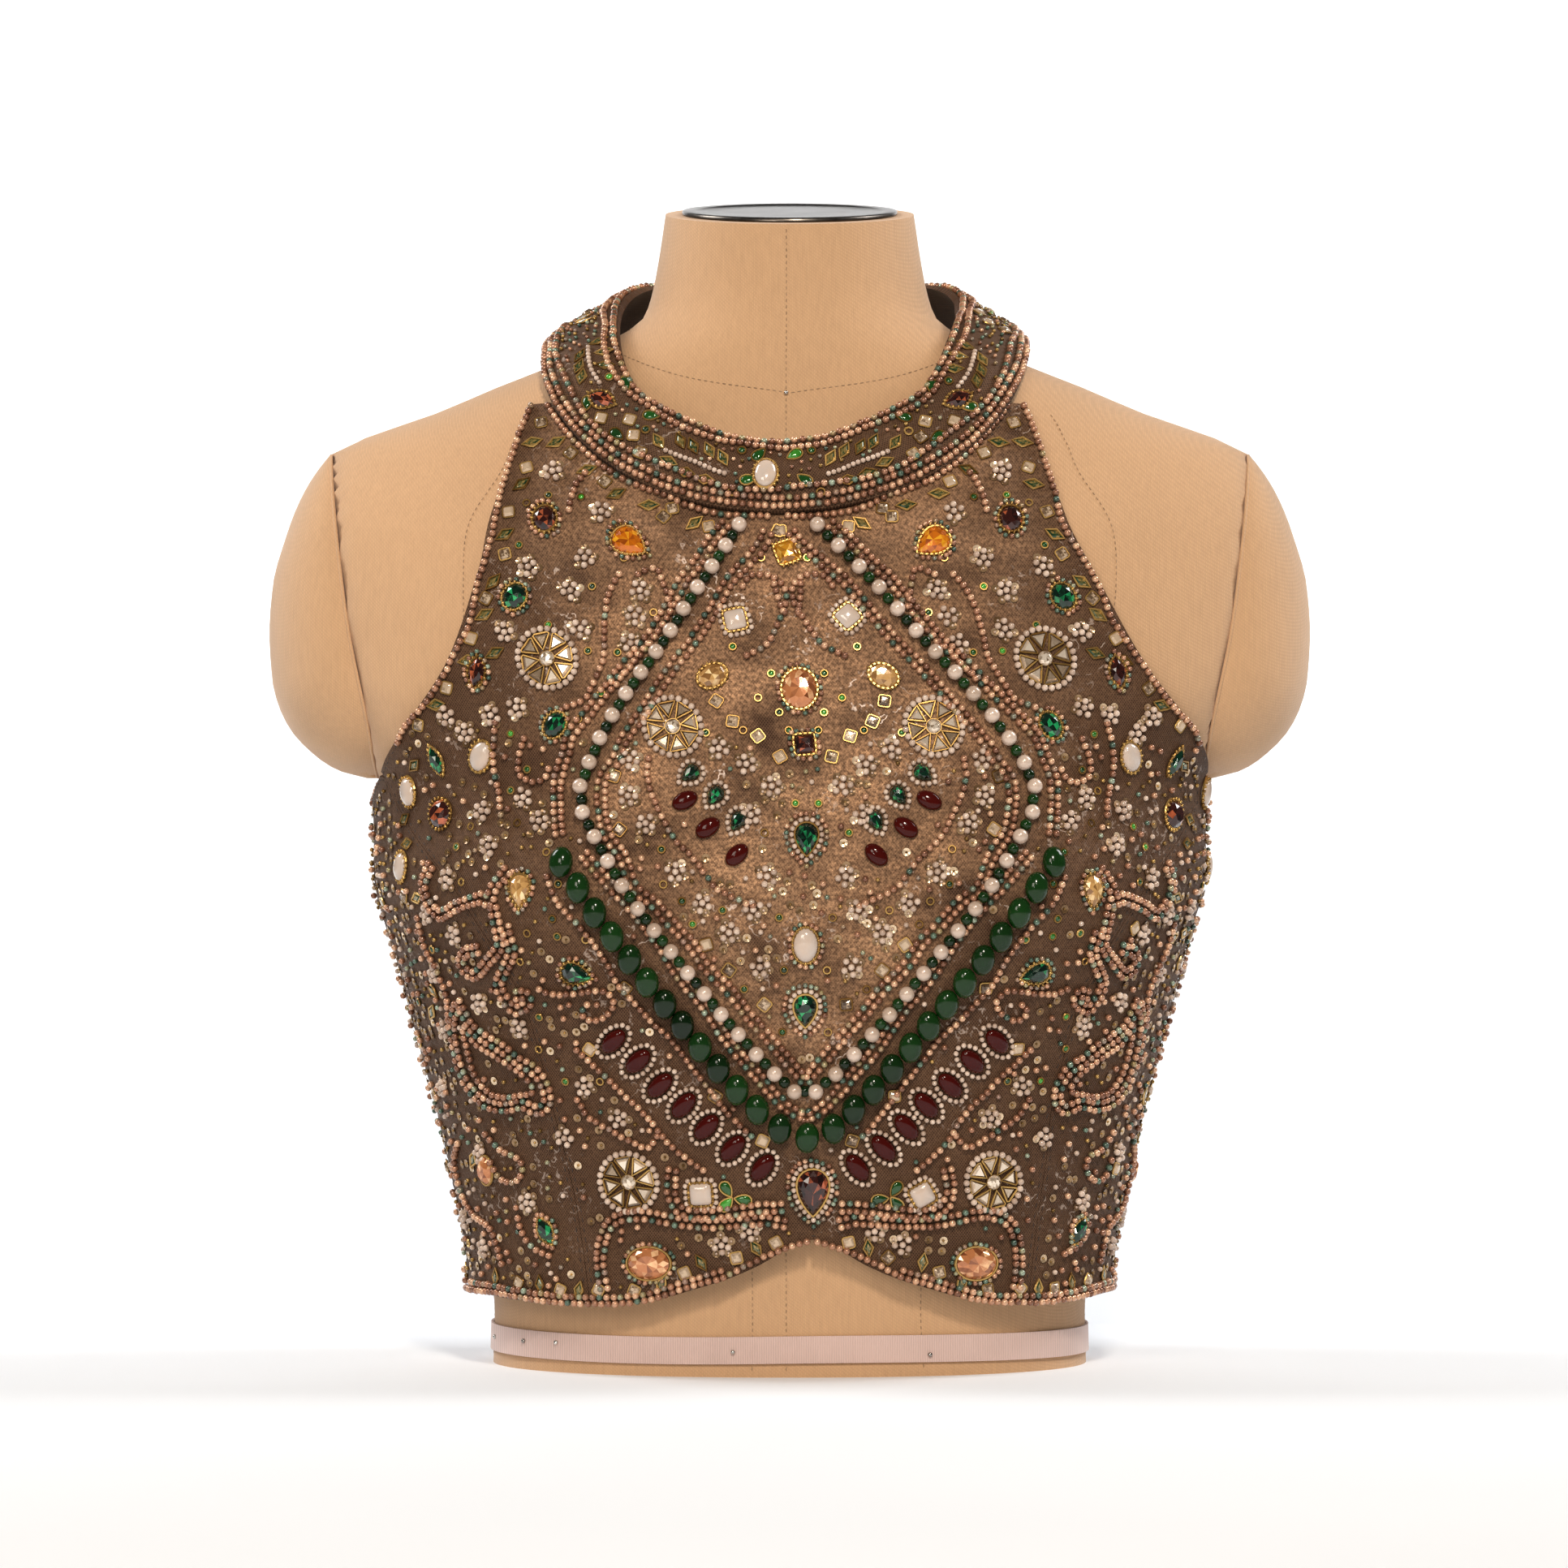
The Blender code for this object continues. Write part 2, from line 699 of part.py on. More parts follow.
def tilted(point):
    """The neck's top slopes down to the front."""
    across, depth, height = point
    share = max(0.0, (height - NECK_TILT_START) / (NECK_TOP - NECK_TILT_START))
    return across, depth, height + NECK_TILT * share * depth


def form_ring(height, off=0.0):
    turns = np.radians(np.arange(FORM_POINTS) * 360 / FORM_POINTS)
    signed = np.where(turns > math.pi, turns - 2 * math.pi, turns)
    flat = section(height, signed, False)
    flat = flat * (1 + off / np.linalg.norm(flat, axis=1))[:, None]
    if PLATES[0].height <= height <= PLATES[-1].height:
        flat[:, 0] = np.clip(flat[:, 0], -PLATE_OF(height), PLATE_OF(height))
    return [tilted((x, y, height)) for x, y in flat]


def build_form(material):
    loft("form_body", [form_ring(height) for height in form_heights()], material)


def plate_half_depths(height):
    """How far the flat armhole plate reaches to the front and to the back at a height."""
    share = min(1.0, PLATE_OF(height) / SECTION_OF["half_width"](height))
    power = SECTION_OF["power"](height)
    left = max(0.004, 1 - share**power) ** (1 / power)
    return SECTION_OF["front"](height) * left, SECTION_OF["back"](height) * left


def build_arm_cap(name, side, material):
    """A padded cap outside the armhole plate, as level D-shaped slices."""
    rings = []
    for row in CAPS:
        plate = PLATE_OF(row.height) + SEAM_GAP
        front, back = plate_half_depths(row.height)
        middle, half = (back - front) / 2, (back + front) / 2
        ring = []
        for i in range(CAP_POINTS):
            angle = math.pi * i / (CAP_POINTS - 1)
            out = max(0.0, math.sin(angle)) ** (2 / CAP_POWER)
            along = math.copysign(abs(math.cos(angle)) ** (2 / CAP_POWER), math.cos(angle))
            across = plate + (row.reach - plate) * out
            ring.append((side * across, middle - half * along, row.height))
        rings.append(ring if side > 0 else ring[::-1])
    loft(name, rings, material)


def build_neck_plate(material):
    """The thin dark disc that closes the neck, on its tilted top."""
    middle = (SECTIONS[-1].back - SECTIONS[-1].front) / 2
    rings = []
    for lift in (SEAM_GAP, SEAM_GAP + NECK_PLATE_THICKNESS):
        ring = []
        for i in range(NECK_PLATE_POINTS):
            angle = 2 * math.pi * i / NECK_PLATE_POINTS
            depth = middle + NECK_PLATE_RADIUS * math.sin(angle)
            height = NECK_TOP + NECK_TILT * depth + lift
            ring.append((NECK_PLATE_RADIUS * math.cos(angle), depth, height))
        rings.append(ring)
    loft("form_neck_plate", rings, material)


def build_waist_tape(material):
    """The tape pinned round the waist, as a band just clear of the form."""
    rings = []
    for off, height in (
        (TAPE_GAP, TAPE_BOTTOM),
        (TAPE_GAP + TAPE_CLOTH, TAPE_BOTTOM),
        (TAPE_GAP + TAPE_CLOTH, TAPE_TOP),
        (TAPE_GAP, TAPE_TOP),
    ):
        rings.append(form_ring(height, off))
    verts = [point for ring in rings for point in ring]
    faces = []
    for row in range(4):
        low, high = row * FORM_POINTS, (row + 1) % 4 * FORM_POINTS
        for i in range(FORM_POINTS):
            j = (i + 1) % FORM_POINTS
            faces.append((low + i, low + j, high + j, high + i))
    solid("form_waist_tape", verts, faces, material)


def neckline_point(turn, side):
    """A point of the front's neckline as distance and height."""
    angle = math.radians(turn)
    height = NECKLINE_CENTRE - NECKLINE_DROP * math.cos(angle)
    across = SWAY_OF(turn) + side * NECKLINE_HALF_WIDTH * math.sin(angle)
    return CLOTH_INSIDE.distance_at(across, height), height


def neckline(side):
    """The front's neckline from the centre front to the armhole."""
    turns = np.linspace(0, NECKLINE_LAST_TURN, NECKLINE_POINTS)
    return [neckline_point(turn, side) for turn in turns]


def half_girth(height):
    """Distance from the centre front to the centre back."""
    return CLOTH_INSIDE.girth(height) / 2


def side_distance(height):
    """Distance from the centre front to the side seam."""
    return SIDE_SHARE * half_girth(height)


def hem_line(start, end):
    """The hem between two distances from the centre front."""
    places = np.linspace(start, end, max(2, int(abs(end - start) / EDGE_STEP) + 1))
    return [(place, float(HEM_OF(abs(place)))) for place in places]


def princess_line(bottom):
    """The princess seam from the hem up to the armhole, on the right of the picture."""
    path = smooth_path(PRINCESS_SEAM, ("distance", "height"))
    above = [tuple(p) for p in path if p[1] > bottom + 0.5]
    start = (float(PRINCESS_OF(bottom)), bottom)
    return resampled([start] + above, EDGE_STEP)


def armhole_line(table, low, high):
    """An armhole edge from one height to a higher one."""
    path = smooth_path(table, ("distance", "height"))[::-1]
    return resampled([p for p in path if low - 0.01 <= p[1] <= high + 0.01], EDGE_STEP)


def mirrored(line):
    return [(-x, y) for x, y in line]


def shrunk(outline, by):
    """An anticlockwise outline moved inwards by a small distance."""
    before = np.roll(outline, 1, axis=0)
    after = np.roll(outline, -1, axis=0)
    normals = []
    for a, b in ((before, outline), (outline, after)):
        along = b - a
        along = along / np.linalg.norm(along, axis=1)[:, None]
        normals.append(np.stack([-along[:, 1], along[:, 0]], axis=1))
    middle = normals[0] + normals[1]
    size = np.maximum((middle * normals[0]).sum(1), 0.6)
    return outline + by * middle / size[:, None]


def without_repeats(points, least=1.0):
    kept = []
    for point in points:
        if not kept or math.dist(kept[-1], point) > least:
            kept.append(tuple(point))
    if math.dist(kept[0], kept[-1]) <= least:
        kept.pop()
    return np.array(kept)


def front_outline():
    """The front panel: hem, princess seams, armholes and neckline, anticlockwise."""
    hem_end = float(PRINCESS_OF(HEM_AT_PRINCESS))
    seam = [tuple(p) for p in princess_line(float(HEM_OF(hem_end)))]
    top = neckline(1)
    armhole = armhole_line(ARMHOLE, seam[-1][1], top[-1][1])
    right = seam + [tuple(p) for p in armhole] + top[::-1]
    left = neckline(-1)[1:] + mirrored([tuple(p) for p in armhole][::-1]) + mirrored(seam[::-1])
    hem = hem_line(-hem_end, hem_end)
    return shrunk(without_repeats(hem + right + left), SEAM_GAP / 2)


def side_front_outline(side):
    """One side-front panel: hem, side seam, low armhole and princess seam."""
    hem_end = float(PRINCESS_OF(HEM_AT_PRINCESS))
    low = float(HEM_OF(hem_end))
    seam = [tuple(p) for p in princess_line(low)]
    side_low = float(HEM_OF(side_distance(HEM_AT_SIDE)))
    side_top = ARMHOLE[-1].height
    edge = [(side_distance(z), z) for z in np.linspace(side_low, side_top, SIDE_SEAM_POINTS)]
    armhole = [tuple(p) for p in armhole_line(ARMHOLE, side_top, seam[-1][1] - TIP_CUT)]
    points = hem_line(hem_end, edge[0][0]) + edge + armhole[1:] + seam[::-1][1:]
    if side < 0:
        points = mirrored(points)[::-1]
    return shrunk(without_repeats(points), SEAM_GAP / 2)


def back_outline(side):
    """One back panel: hem, centre back, neckline under the collar, armhole and side seam."""
    side_low = float(HEM_OF(side_distance(HEM_AT_SIDE)))
    side_top = BACK_ARMHOLE[-1].height
    neck = BACK_ARMHOLE[0].height
    edge = [(side_distance(z), z) for z in np.linspace(side_low, side_top, SIDE_SEAM_POINTS)]
    armhole = [
        (half_girth(z) - x, z) for x, z in armhole_line(BACK_ARMHOLE, side_top, neck)[1:]
    ]
    places = np.linspace(BACK_ARMHOLE[0].distance, 0, BACK_NECK_POINTS)
    top = [(half_girth(neck) - place, neck) for place in places[1:]]
    levels = np.linspace(neck, HEM[-1].height, CENTRE_BACK_POINTS)
    centre = [(half_girth(z), z) for z in levels[1:]]
    hem = hem_line(centre[-1][0], edge[0][0])[1:-1]
    points = (edge + armhole + top + centre + hem)[::-1]
    if side < 0:
        points = mirrored(points)[::-1]
    return shrunk(without_repeats(points), SEAM_GAP / 2)


def bead_row_stones(kind, rows, spacing, long, wide):
    """Evenly spaced beads down one side of a row, round its point and up the other."""
    half = smooth_path(rows, ("across", "down"))
    whole = np.vstack([half * [-1, 1], half[::-1][1:]])
    stones = []
    for across, down in resampled(whole, spacing / MM_PER_PIXEL * CHEST_NEARNESS):
        stones.append((Stone(kind, abs(across), down, 0, long, wide), 1 if across > 0 else -1))
    return stones


def all_stones():
    """Every stone and large bead of the bodice with its side."""
    found = [(stone, 1) for stone in SINGLE_STONES]
    for stone in PAIRED_STONES:
        for side in (-1, 1):
            found.append((stone._replace(turn=stone.turn * side), side))
    found += bead_row_stones("pearl", PEARL_ROW, PEARL_SPACING, PEARL_SIZE, PEARL_SIZE)
    found += bead_row_stones("bead", BEAD_ROW, BEAD_SPACING, BEAD_LENGTH, BEAD_WIDTH)
    return found


def rings_on(outline):
    """The stones that lie wholly on one panel, as rings in its own chart."""
    found = []
    for stone, side in all_stones():
        centre = np.array(placed_from_view(stone.across, stone.down, side))
        foot, top = stone_rings(stone, centre, stone.turn)
        if all(inside(p, outline) and clearance(p, outline) > STONE_MARGIN for p in foot):
            found.append((foot, top, RISES[stone.kind]))
    return found


def build_front_panel(name, outline, material):
    wall(name, outline, CLOTH_INSIDE.point, CLOTH, material, FRONT_STEPS, rings_on(outline))


def build_back_panel(name, outline, material):
    wall(name, outline, CLOTH_INSIDE.point, CLOTH, material, BACK_STEPS)


def lower_edge(side):
    """One half of the collar's lower edge: on the front, over the shoulder, on the back."""
    off = CLOTH + COLLAR_STAND_OFF
    turns, points = [], []
    for turn in range(0, NECKLINE_LAST_TURN + 1, 10):
        turns.append(turn)
        points.append(CLOTH_INSIDE.point(*neckline_point(turn, side), off))
    for row in FREE_EDGE:
        turns.append(row.turn)
        points.append((SWAY_OF(row.turn) + side * row.across, row.depth, row.height))
    for turn in range(BACK_NECK_FIRST_TURN, 181, 10):
        share = (180 - turn) / (180 - BACK_NECK_FIRST_TURN)
        distance = side * (half_girth(BACK_NECK_HEIGHT) - share * BACK_NECK_REACH)
        turns.append(turn)
        points.append(CLOTH_INSIDE.point(distance, BACK_NECK_HEIGHT, off))
    return [Curve(turns, [point[k] for point in points]) for k in range(3)]


def upper_edge(side):
    """One half of the collar's upper edge."""
    turns = [row.turn for row in UPPER_EDGE]
    across = [SWAY_OF(row.turn) + side * row.across for row in UPPER_EDGE]
    depths = [row.depth for row in UPPER_EDGE]
    heights = [row.height for row in UPPER_EDGE]
    return [Curve(turns, values) for values in (across, depths, heights)]


class CollarSurface:
    """The collar band's inside, by distance round from the centre front and height on the band."""

    def __init__(self):
        self.edges = {side: (lower_edge(side), upper_edge(side)) for side in (-1, 1)}
        self.turns = np.linspace(-180, 180, 361)
        middles = np.array([self.band_point(turn, 0.5) for turn in self.turns])
        lengths = np.linalg.norm(np.diff(middles, axis=0), axis=1)
        arc = np.concatenate([[0], np.cumsum(lengths)])
        self.arc = arc - arc[len(arc) // 2]

    def band_point(self, turn, share):
        lower, upper = self.edges[1 if turn >= 0 else -1]
        low = np.array([curve(abs(turn)) for curve in lower])
        high = np.array([curve(abs(turn)) for curve in upper])
        return low + (high - low) * share

    def outward(self, turn, share):
        ahead, behind = min(turn + 3, 180), max(turn - 3, -180)
        along = self.band_point(ahead, share) - self.band_point(behind, share)
        up = self.band_point(turn, 1.0) - self.band_point(turn, 0.0)
        normal = np.cross(along, up)
        return normal / np.linalg.norm(normal)

    def distance(self, turn):
        return float(np.interp(turn, self.turns, self.arc))

    def point(self, distance, up, off=0.0):
        turn = float(np.interp(distance, self.arc, self.turns))
        share = up / COLLAR_WIDTH
        bulge = COLLAR_BULGE * 4 * share * (1 - share)
        return self.band_point(turn, share) + (off + bulge) * self.outward(turn, share)


def box_outline(left, right, bottom, top):
    """A rectangle's edge, cut at even steps with its corners kept."""
    corners = [(left, bottom), (right, bottom), (right, top), (left, top), (left, bottom)]
    points = []
    for start, end in zip(corners, corners[1:]):
        points += [tuple(p) for p in resampled([start, end], EDGE_STEP)]
    return without_repeats(points)


def build_collar(material):
    """The halter collar, open by a hair at the centre back."""
    surface = CollarSurface()
    start = surface.distance(-180) + COLLAR_OPENING
    end = surface.distance(180) - COLLAR_OPENING
    rings = []
    for stone in COLLAR_STONES:
        centre = np.array([surface.distance(stone.turn), stone.share * COLLAR_WIDTH])
        foot, top = stone_rings(stone, centre, stone.lean)
        rings.append((foot, top, RISES[stone.kind]))
    outline = box_outline(start, end, 0, COLLAR_WIDTH)
    wall("collar", outline, surface.point, COLLAR_CLOTH, material, COLLAR_STEPS, rings)


def build_placket(material):
    """The underlap that carries the hooks, just inside the two back panels."""
    outline = box_outline(-PLACKET_HALF_WIDTH, PLACKET_HALF_WIDTH, HEM[-1].height, PLACKET_TOP)

    def place(across, height, off):
        inset = off - PLACKET_GAP_OF(height) - PLACKET_CLOTH
        return CLOTH_INSIDE.point(half_girth(height) + across, height, inset)

    wall("back_placket", outline, place, PLACKET_CLOTH, material, PLACKET_STEPS)


def main():
    for obj in list(bpy.data.objects):
        bpy.data.objects.remove(obj)
    collection = bpy.data.collections.new(COLLECTION)
    bpy.context.scene.collection.children.link(collection)
    cloth = make_material("bronze_net_cloth", COLOURS["cloth"], 0.6)
    linen = make_material("form_linen", COLOURS["linen"], 0.85)
    tape = make_material("waist_tape", COLOURS["tape"], 0.8)
    metal = make_material("neck_plate_metal", COLOURS["metal"], 0.35, 1.0)
    build_form(linen)
    build_arm_cap("form_arm_cap_left", 1, linen)
    build_arm_cap("form_arm_cap_right", -1, linen)
    build_neck_plate(metal)
    build_waist_tape(tape)
    build_front_panel("front_panel", front_outline(), cloth)
    build_front_panel("side_front_left", side_front_outline(1), cloth)
    build_front_panel("side_front_right", side_front_outline(-1), cloth)
    build_back_panel("back_left", back_outline(1), cloth)
    build_back_panel("back_right", back_outline(-1), cloth)
    build_collar(cloth)
    build_placket(cloth)


main()
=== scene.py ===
"""Looks of the jewelled halter choli blouse on its dress form.

Blender 4.5. Sizes are millimetres and are scaled to metres when a mesh is made. The cloth is
charted by distance round from the centre front and by height, as its cut lines are.
"""

import json
import math
from collections import namedtuple

import bpy
import numpy as np
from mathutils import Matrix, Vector
from mathutils.geometry import delaunay_2d_cdt

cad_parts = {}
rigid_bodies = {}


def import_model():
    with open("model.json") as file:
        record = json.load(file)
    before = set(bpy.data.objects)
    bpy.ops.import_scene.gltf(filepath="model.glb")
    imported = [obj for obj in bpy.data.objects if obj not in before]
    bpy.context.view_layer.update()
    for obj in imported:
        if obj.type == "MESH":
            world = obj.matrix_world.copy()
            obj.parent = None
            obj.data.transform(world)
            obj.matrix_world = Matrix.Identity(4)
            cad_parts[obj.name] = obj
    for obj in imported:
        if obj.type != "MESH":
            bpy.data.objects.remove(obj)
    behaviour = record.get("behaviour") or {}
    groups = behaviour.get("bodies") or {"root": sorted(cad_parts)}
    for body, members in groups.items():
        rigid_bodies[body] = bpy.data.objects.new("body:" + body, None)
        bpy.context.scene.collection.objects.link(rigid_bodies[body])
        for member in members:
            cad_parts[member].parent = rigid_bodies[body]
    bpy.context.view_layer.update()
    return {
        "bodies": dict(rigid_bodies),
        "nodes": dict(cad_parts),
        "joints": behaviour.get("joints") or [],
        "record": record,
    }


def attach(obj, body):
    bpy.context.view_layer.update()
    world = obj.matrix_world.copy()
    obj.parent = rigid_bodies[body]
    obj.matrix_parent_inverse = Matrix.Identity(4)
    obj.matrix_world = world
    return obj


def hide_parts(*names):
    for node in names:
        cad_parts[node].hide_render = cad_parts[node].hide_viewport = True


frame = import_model()

MM = 0.001
SEED = 20

# The photograph's view
VIEW_DISTANCE = 3000.0
VIEW_ACROSS = -2.4
VIEW_HEIGHT = 241.4
MM_PER_PIXEL = 0.34
VIEW_ROW = 966.0
FRAME_PIXELS = 1932
SENSOR = 36.0

# Cloth and form
CLOTH = 2.0
COLLAR_CLOTH = 2.6
SEAM_GAP = 0.3
TAPE_CLOTH = 1.0
TAPE_BOTTOM = 5.5
TAPE_TOP = 16.5
TAPE_GAP = 0.4
TAPE_WAVE = 0.45
FORM_POINTS = 192
FORM_ROW = 5.0
NECK_TOP = 480.0
NECK_PLATE_RADIUS = 45.0
NECK_PLATE_POINTS = 72
NECK_TILT_START = 445.0
NECK_TILT = 0.15
SIDE_SHARE = 0.52
TIP_CUT = 1.0
HEM_AT_PRINCESS = 29.0
HEM_AT_SIDE = 31.0
SIDE_SEAM_POINTS = 28
BACK_NECK_POINTS = 13
CENTRE_BACK_POINTS = 48
NECKLINE_POINTS = 16
ROW_SHARE = 0.87
EDGE_ROOM = 0.45
PLACKET_HALF_WIDTH = 11.0
PLACKET_CLOTH = 1.2
PLACKET_TOP = 412.0
LEAST_STEP = 1.0
TRIANGLE_MERGE = 1e-5
RIM_SIDES = 6
SEQUIN_SIDES = 10
SMOOTH_UNDER = 50
CHART_UNIT = 100


def table(kind, *values):
    """Rows of one kind from a flat run of their values."""
    width = len(kind._fields)
    return tuple(kind(*values[i:i + width]) for i in range(0, len(values), width))


Spot = namedtuple("Spot", "across down")


def spots(*pixels):
    """Points of the photograph from pairs of across and down, in its pixels."""
    return table(Spot, *pixels)


# Level sections of the form's body, from the base to the top of the neck
Section = namedtuple("Section", "height half_width front back power")
SECTIONS = table(
    Section,
    0, 124, 88, 86, 2.2,
    20, 123.5, 87, 85, 2.2,
    45, 126, 89, 86, 2.2,
    75, 133, 95, 90, 2.2,
    110, 143, 104, 96, 2.2,
    145, 153, 113, 103, 2.2,
    175, 160.5, 119, 109, 2.25,
    203, 168, 121, 113, 2.3,
    225, 169.5, 119.5, 116, 2.3,
    243, 171.5, 117, 118, 2.3,
    254, 179, 115, 118.5, 2.3,
    264, 186, 112.5, 118.5, 2.3,
    284, 199, 107, 118, 2.3,
    305, 206, 101, 116, 2.3,
    325, 210, 94.5, 112, 2.3,
    345, 211, 87, 106, 2.3,
    362, 206, 78, 99, 2.3,
    373, 198, 71.5, 92, 2.3,
    379, 193, 68, 87, 2.3,
    386, 178, 64, 82, 2.3,
    396, 149, 60.5, 76, 2.3,
    407, 123, 58.5, 71, 2.25,
    417, 97.5, 57, 68, 2.2,
    425, 79, 56, 66, 2.15,
    431, 67.5, 55, 64.5, 2.1,
    436, 61.5, 54.5, 63, 2.1,
    445, 58, 54, 60, 2.05,
    460, 55, 54.5, 55, 2.05,
    NECK_TOP, 52, 56, 50, 2.05,
)

# Room between the form and the inside of the cloth, and its lift off the shoulders' slope
Ease = namedtuple("Ease", "height side front back lift")
EASES = table(
    Ease,
    20, 8.5, 8.0, 5.0, 0,
    45, 7.5, 7.0, 4.5, 0,
    75, 6.0, 5.5, 4.0, 0,
    110, 4.0, 3.5, 3.5, 0,
    145, 3.5, 2.0, 3.2, 0,
    175, 3.5, 1.2, 3.2, 0,
    203, 3.5, 0.9, 3.2, 0,
    225, 2.5, 0.9, 3.2, 0,
    243, 2.0, 0.9, 3.2, 0,
    300, 1.2, 0.9, 3.4, 0,
    340, 1.2, 1.2, 4.0, 0.5,
    375, 1.2, 1.2, 4.4, 1.4,
    430, 1.2, 1.2, 4.4, 1.4,
)

# Two soft mounds of the form's bust
BUST_RISE = 13.0
BUST_TURN = 42.0
BUST_SPREAD = 20.0
BUST_HEIGHT = 188.0
BUST_REACH = 46.0

# How far the blouse's centre front line lies from the form's middle, as it was put on
Drift = namedtuple("Drift", "height across")
DRIFTS = table(
    Drift,
    20, 9.3, 77, 8.6, 115, 6.0, 176, 6.3, 240, 6.8, 280, 3.6, 330, -2.0, 350, -5.0, 430, -5.4,
)

# Room between the placket and the inside of the backs
PlacketGap = namedtuple("PlacketGap", "height gap")
PLACKET_GAPS = table(
    PlacketGap,
    30, 0.9, 335, 0.9, 370, 1.6, 420, 1.6,
)

# The flat armhole plates of the form, and the padded caps outside them
Plate = namedtuple("Plate", "height plate")
PLATES = table(
    Plate,
    243, 172, 254, 172.5, 308, 182, 345, 187, 379, 191,
)
Cap = namedtuple("Cap", "height reach")
CAPS = table(
    Cap,
    243.8, 177, 247, 189, 254, 199.6, 264, 209, 274, 214, 284, 216.6, 305, 218, 325, 216.5,
    345, 211, 356, 207, 366, 202, 374, 196.5, 378.5, 192.5,
)
CAP_POWER = 2.1


# Cut lines of the blouse. Distance is measured round the body from the centre front line
Cut = namedtuple("Cut", "distance height")
HEM = table(
    Cut,
    0, 57, 8.5, 54, 21, 46.5, 34, 40.7, 47, 36.5, 61, 32.5, 76, 30, 100, 29, 130, 29.5, 175, 32,
    260, 30, 380, 30,
)
PRINCESS_SEAM = table(
    Cut,
    91, 20, 96, 60, 101, 90, 107, 120, 115, 151, 121, 163, 133, 180, 151, 200, 176, 220, 191, 235,
    200, 247.5,
)
ARMHOLE = table(
    Cut,
    102.5, 400, 107.5, 380, 114.5, 360, 126.5, 327, 146.5, 288, 175, 262, 200, 247.5, 221, 238.5,
    248.3, 231,
)
# The back's armhole, measured from the centre back
BACK_ARMHOLE = table(
    Cut,
    96, 419.5, 99, 410, 104, 395, 111, 375, 119, 350, 131, 320, 149, 290, 173, 265, 196, 248.5,
    213, 238.5, 229.2, 231,
)

# The collar's lower edge where it lies on the front, seen from the front: half an ellipse
NECKLINE_HALF_WIDTH = 100.0
NECKLINE_DROP = 72.0
NECKLINE_CENTRE = 422.0
NECKLINE_LAST_TURN = 70

# Its lower edge where it lies on the back: level, with this much of it on each side
BACK_NECK_HEIGHT = 420.0
BACK_NECK_REACH = 92.0
BACK_NECK_FIRST_TURN = 130
COLLAR_STAND_OFF = 0.4

# The collar's free lower edge over the shoulders, and its whole upper edge
EdgePoint = namedtuple("EdgePoint", "turn across depth height")
FREE_EDGE = table(
    EdgePoint,
    80, 98.5, -38, 408.5,
    90, 100, -20, 418,
    100, 98.5, 0, 423,
    110, 94, 20, 424.5,
    120, 86, 36, 423,
)
UPPER_EDGE = table(
    EdgePoint,
    0, 0, -74, 380,
    15, 18, -72.5, 382.5,
    30, 34, -69, 388.5,
    45, 47.5, -63.5, 395,
    58, 57, -59.5, 401.5,
    70, 63.5, -52, 412.5,
    80, 67, -40, 423,
    90, 69, -18, 431.5,
    100, 69.8, 0, 437,
    110, 69, 15, 442.5,
    120, 65.5, 29, 448,
    130, 59, 41, 451.5,
    145, 43, 55, 454,
    160, 26, 63, 455.5,
    180, 0, 67, 456.5,
)
Sway = namedtuple("Sway", "turn across")
COLLAR_SWAYS = table(
    Sway,
    0, -5.4, 70, -3.6, 100, -0.5, 180, 5.4,
)
COLLAR_BULGE = 4.0
COLLAR_WIDTH = 34.0
COLLAR_OPENING = 0.5


# Stones by kind, finish and trim. Across is from the centre front line and down is from the
# frame's top, in the photograph's pixels; turn is in degrees anticlockwise from upright
Stone = namedtuple("Stone", "kind across down turn long wide finish trim")
SINGLE_STONES = table(
    Stone,
    "square", 5, 683, 20, 10, 9.5, "yellow_gem", "claws",
    "oval", 0, 851, 0, 17.5, 15, "peach_gem", "claws_teal",
    "square", 0, 919, 5, 9, 9, "garnet_gem", "claws_teal",
    "pear", 0, 1035, 180, 14, 11, "emerald_gem", "white_teal",
    "dome", 0, 1164, 0, 15, 11, "opal", "claws_teal",
    "pear", 0, 1244, 180, 14, 11, "emerald_gem", "white_teal",
    "pear", 2, 1468, 180, 20, 15, "garnet_gem", "white_teal",
    "square", -70, 766, 12, 9.5, 9.5, "opal", "white_claws",
    "square", 69, 762, 42, 9.5, 9.5, "opal", "white_claws",
    "square", -135, 1470, 3, 10, 10, "opal", "white_claws",
    "square", 135, 1471, 30, 10, 10, "opal", "white_claws",
)
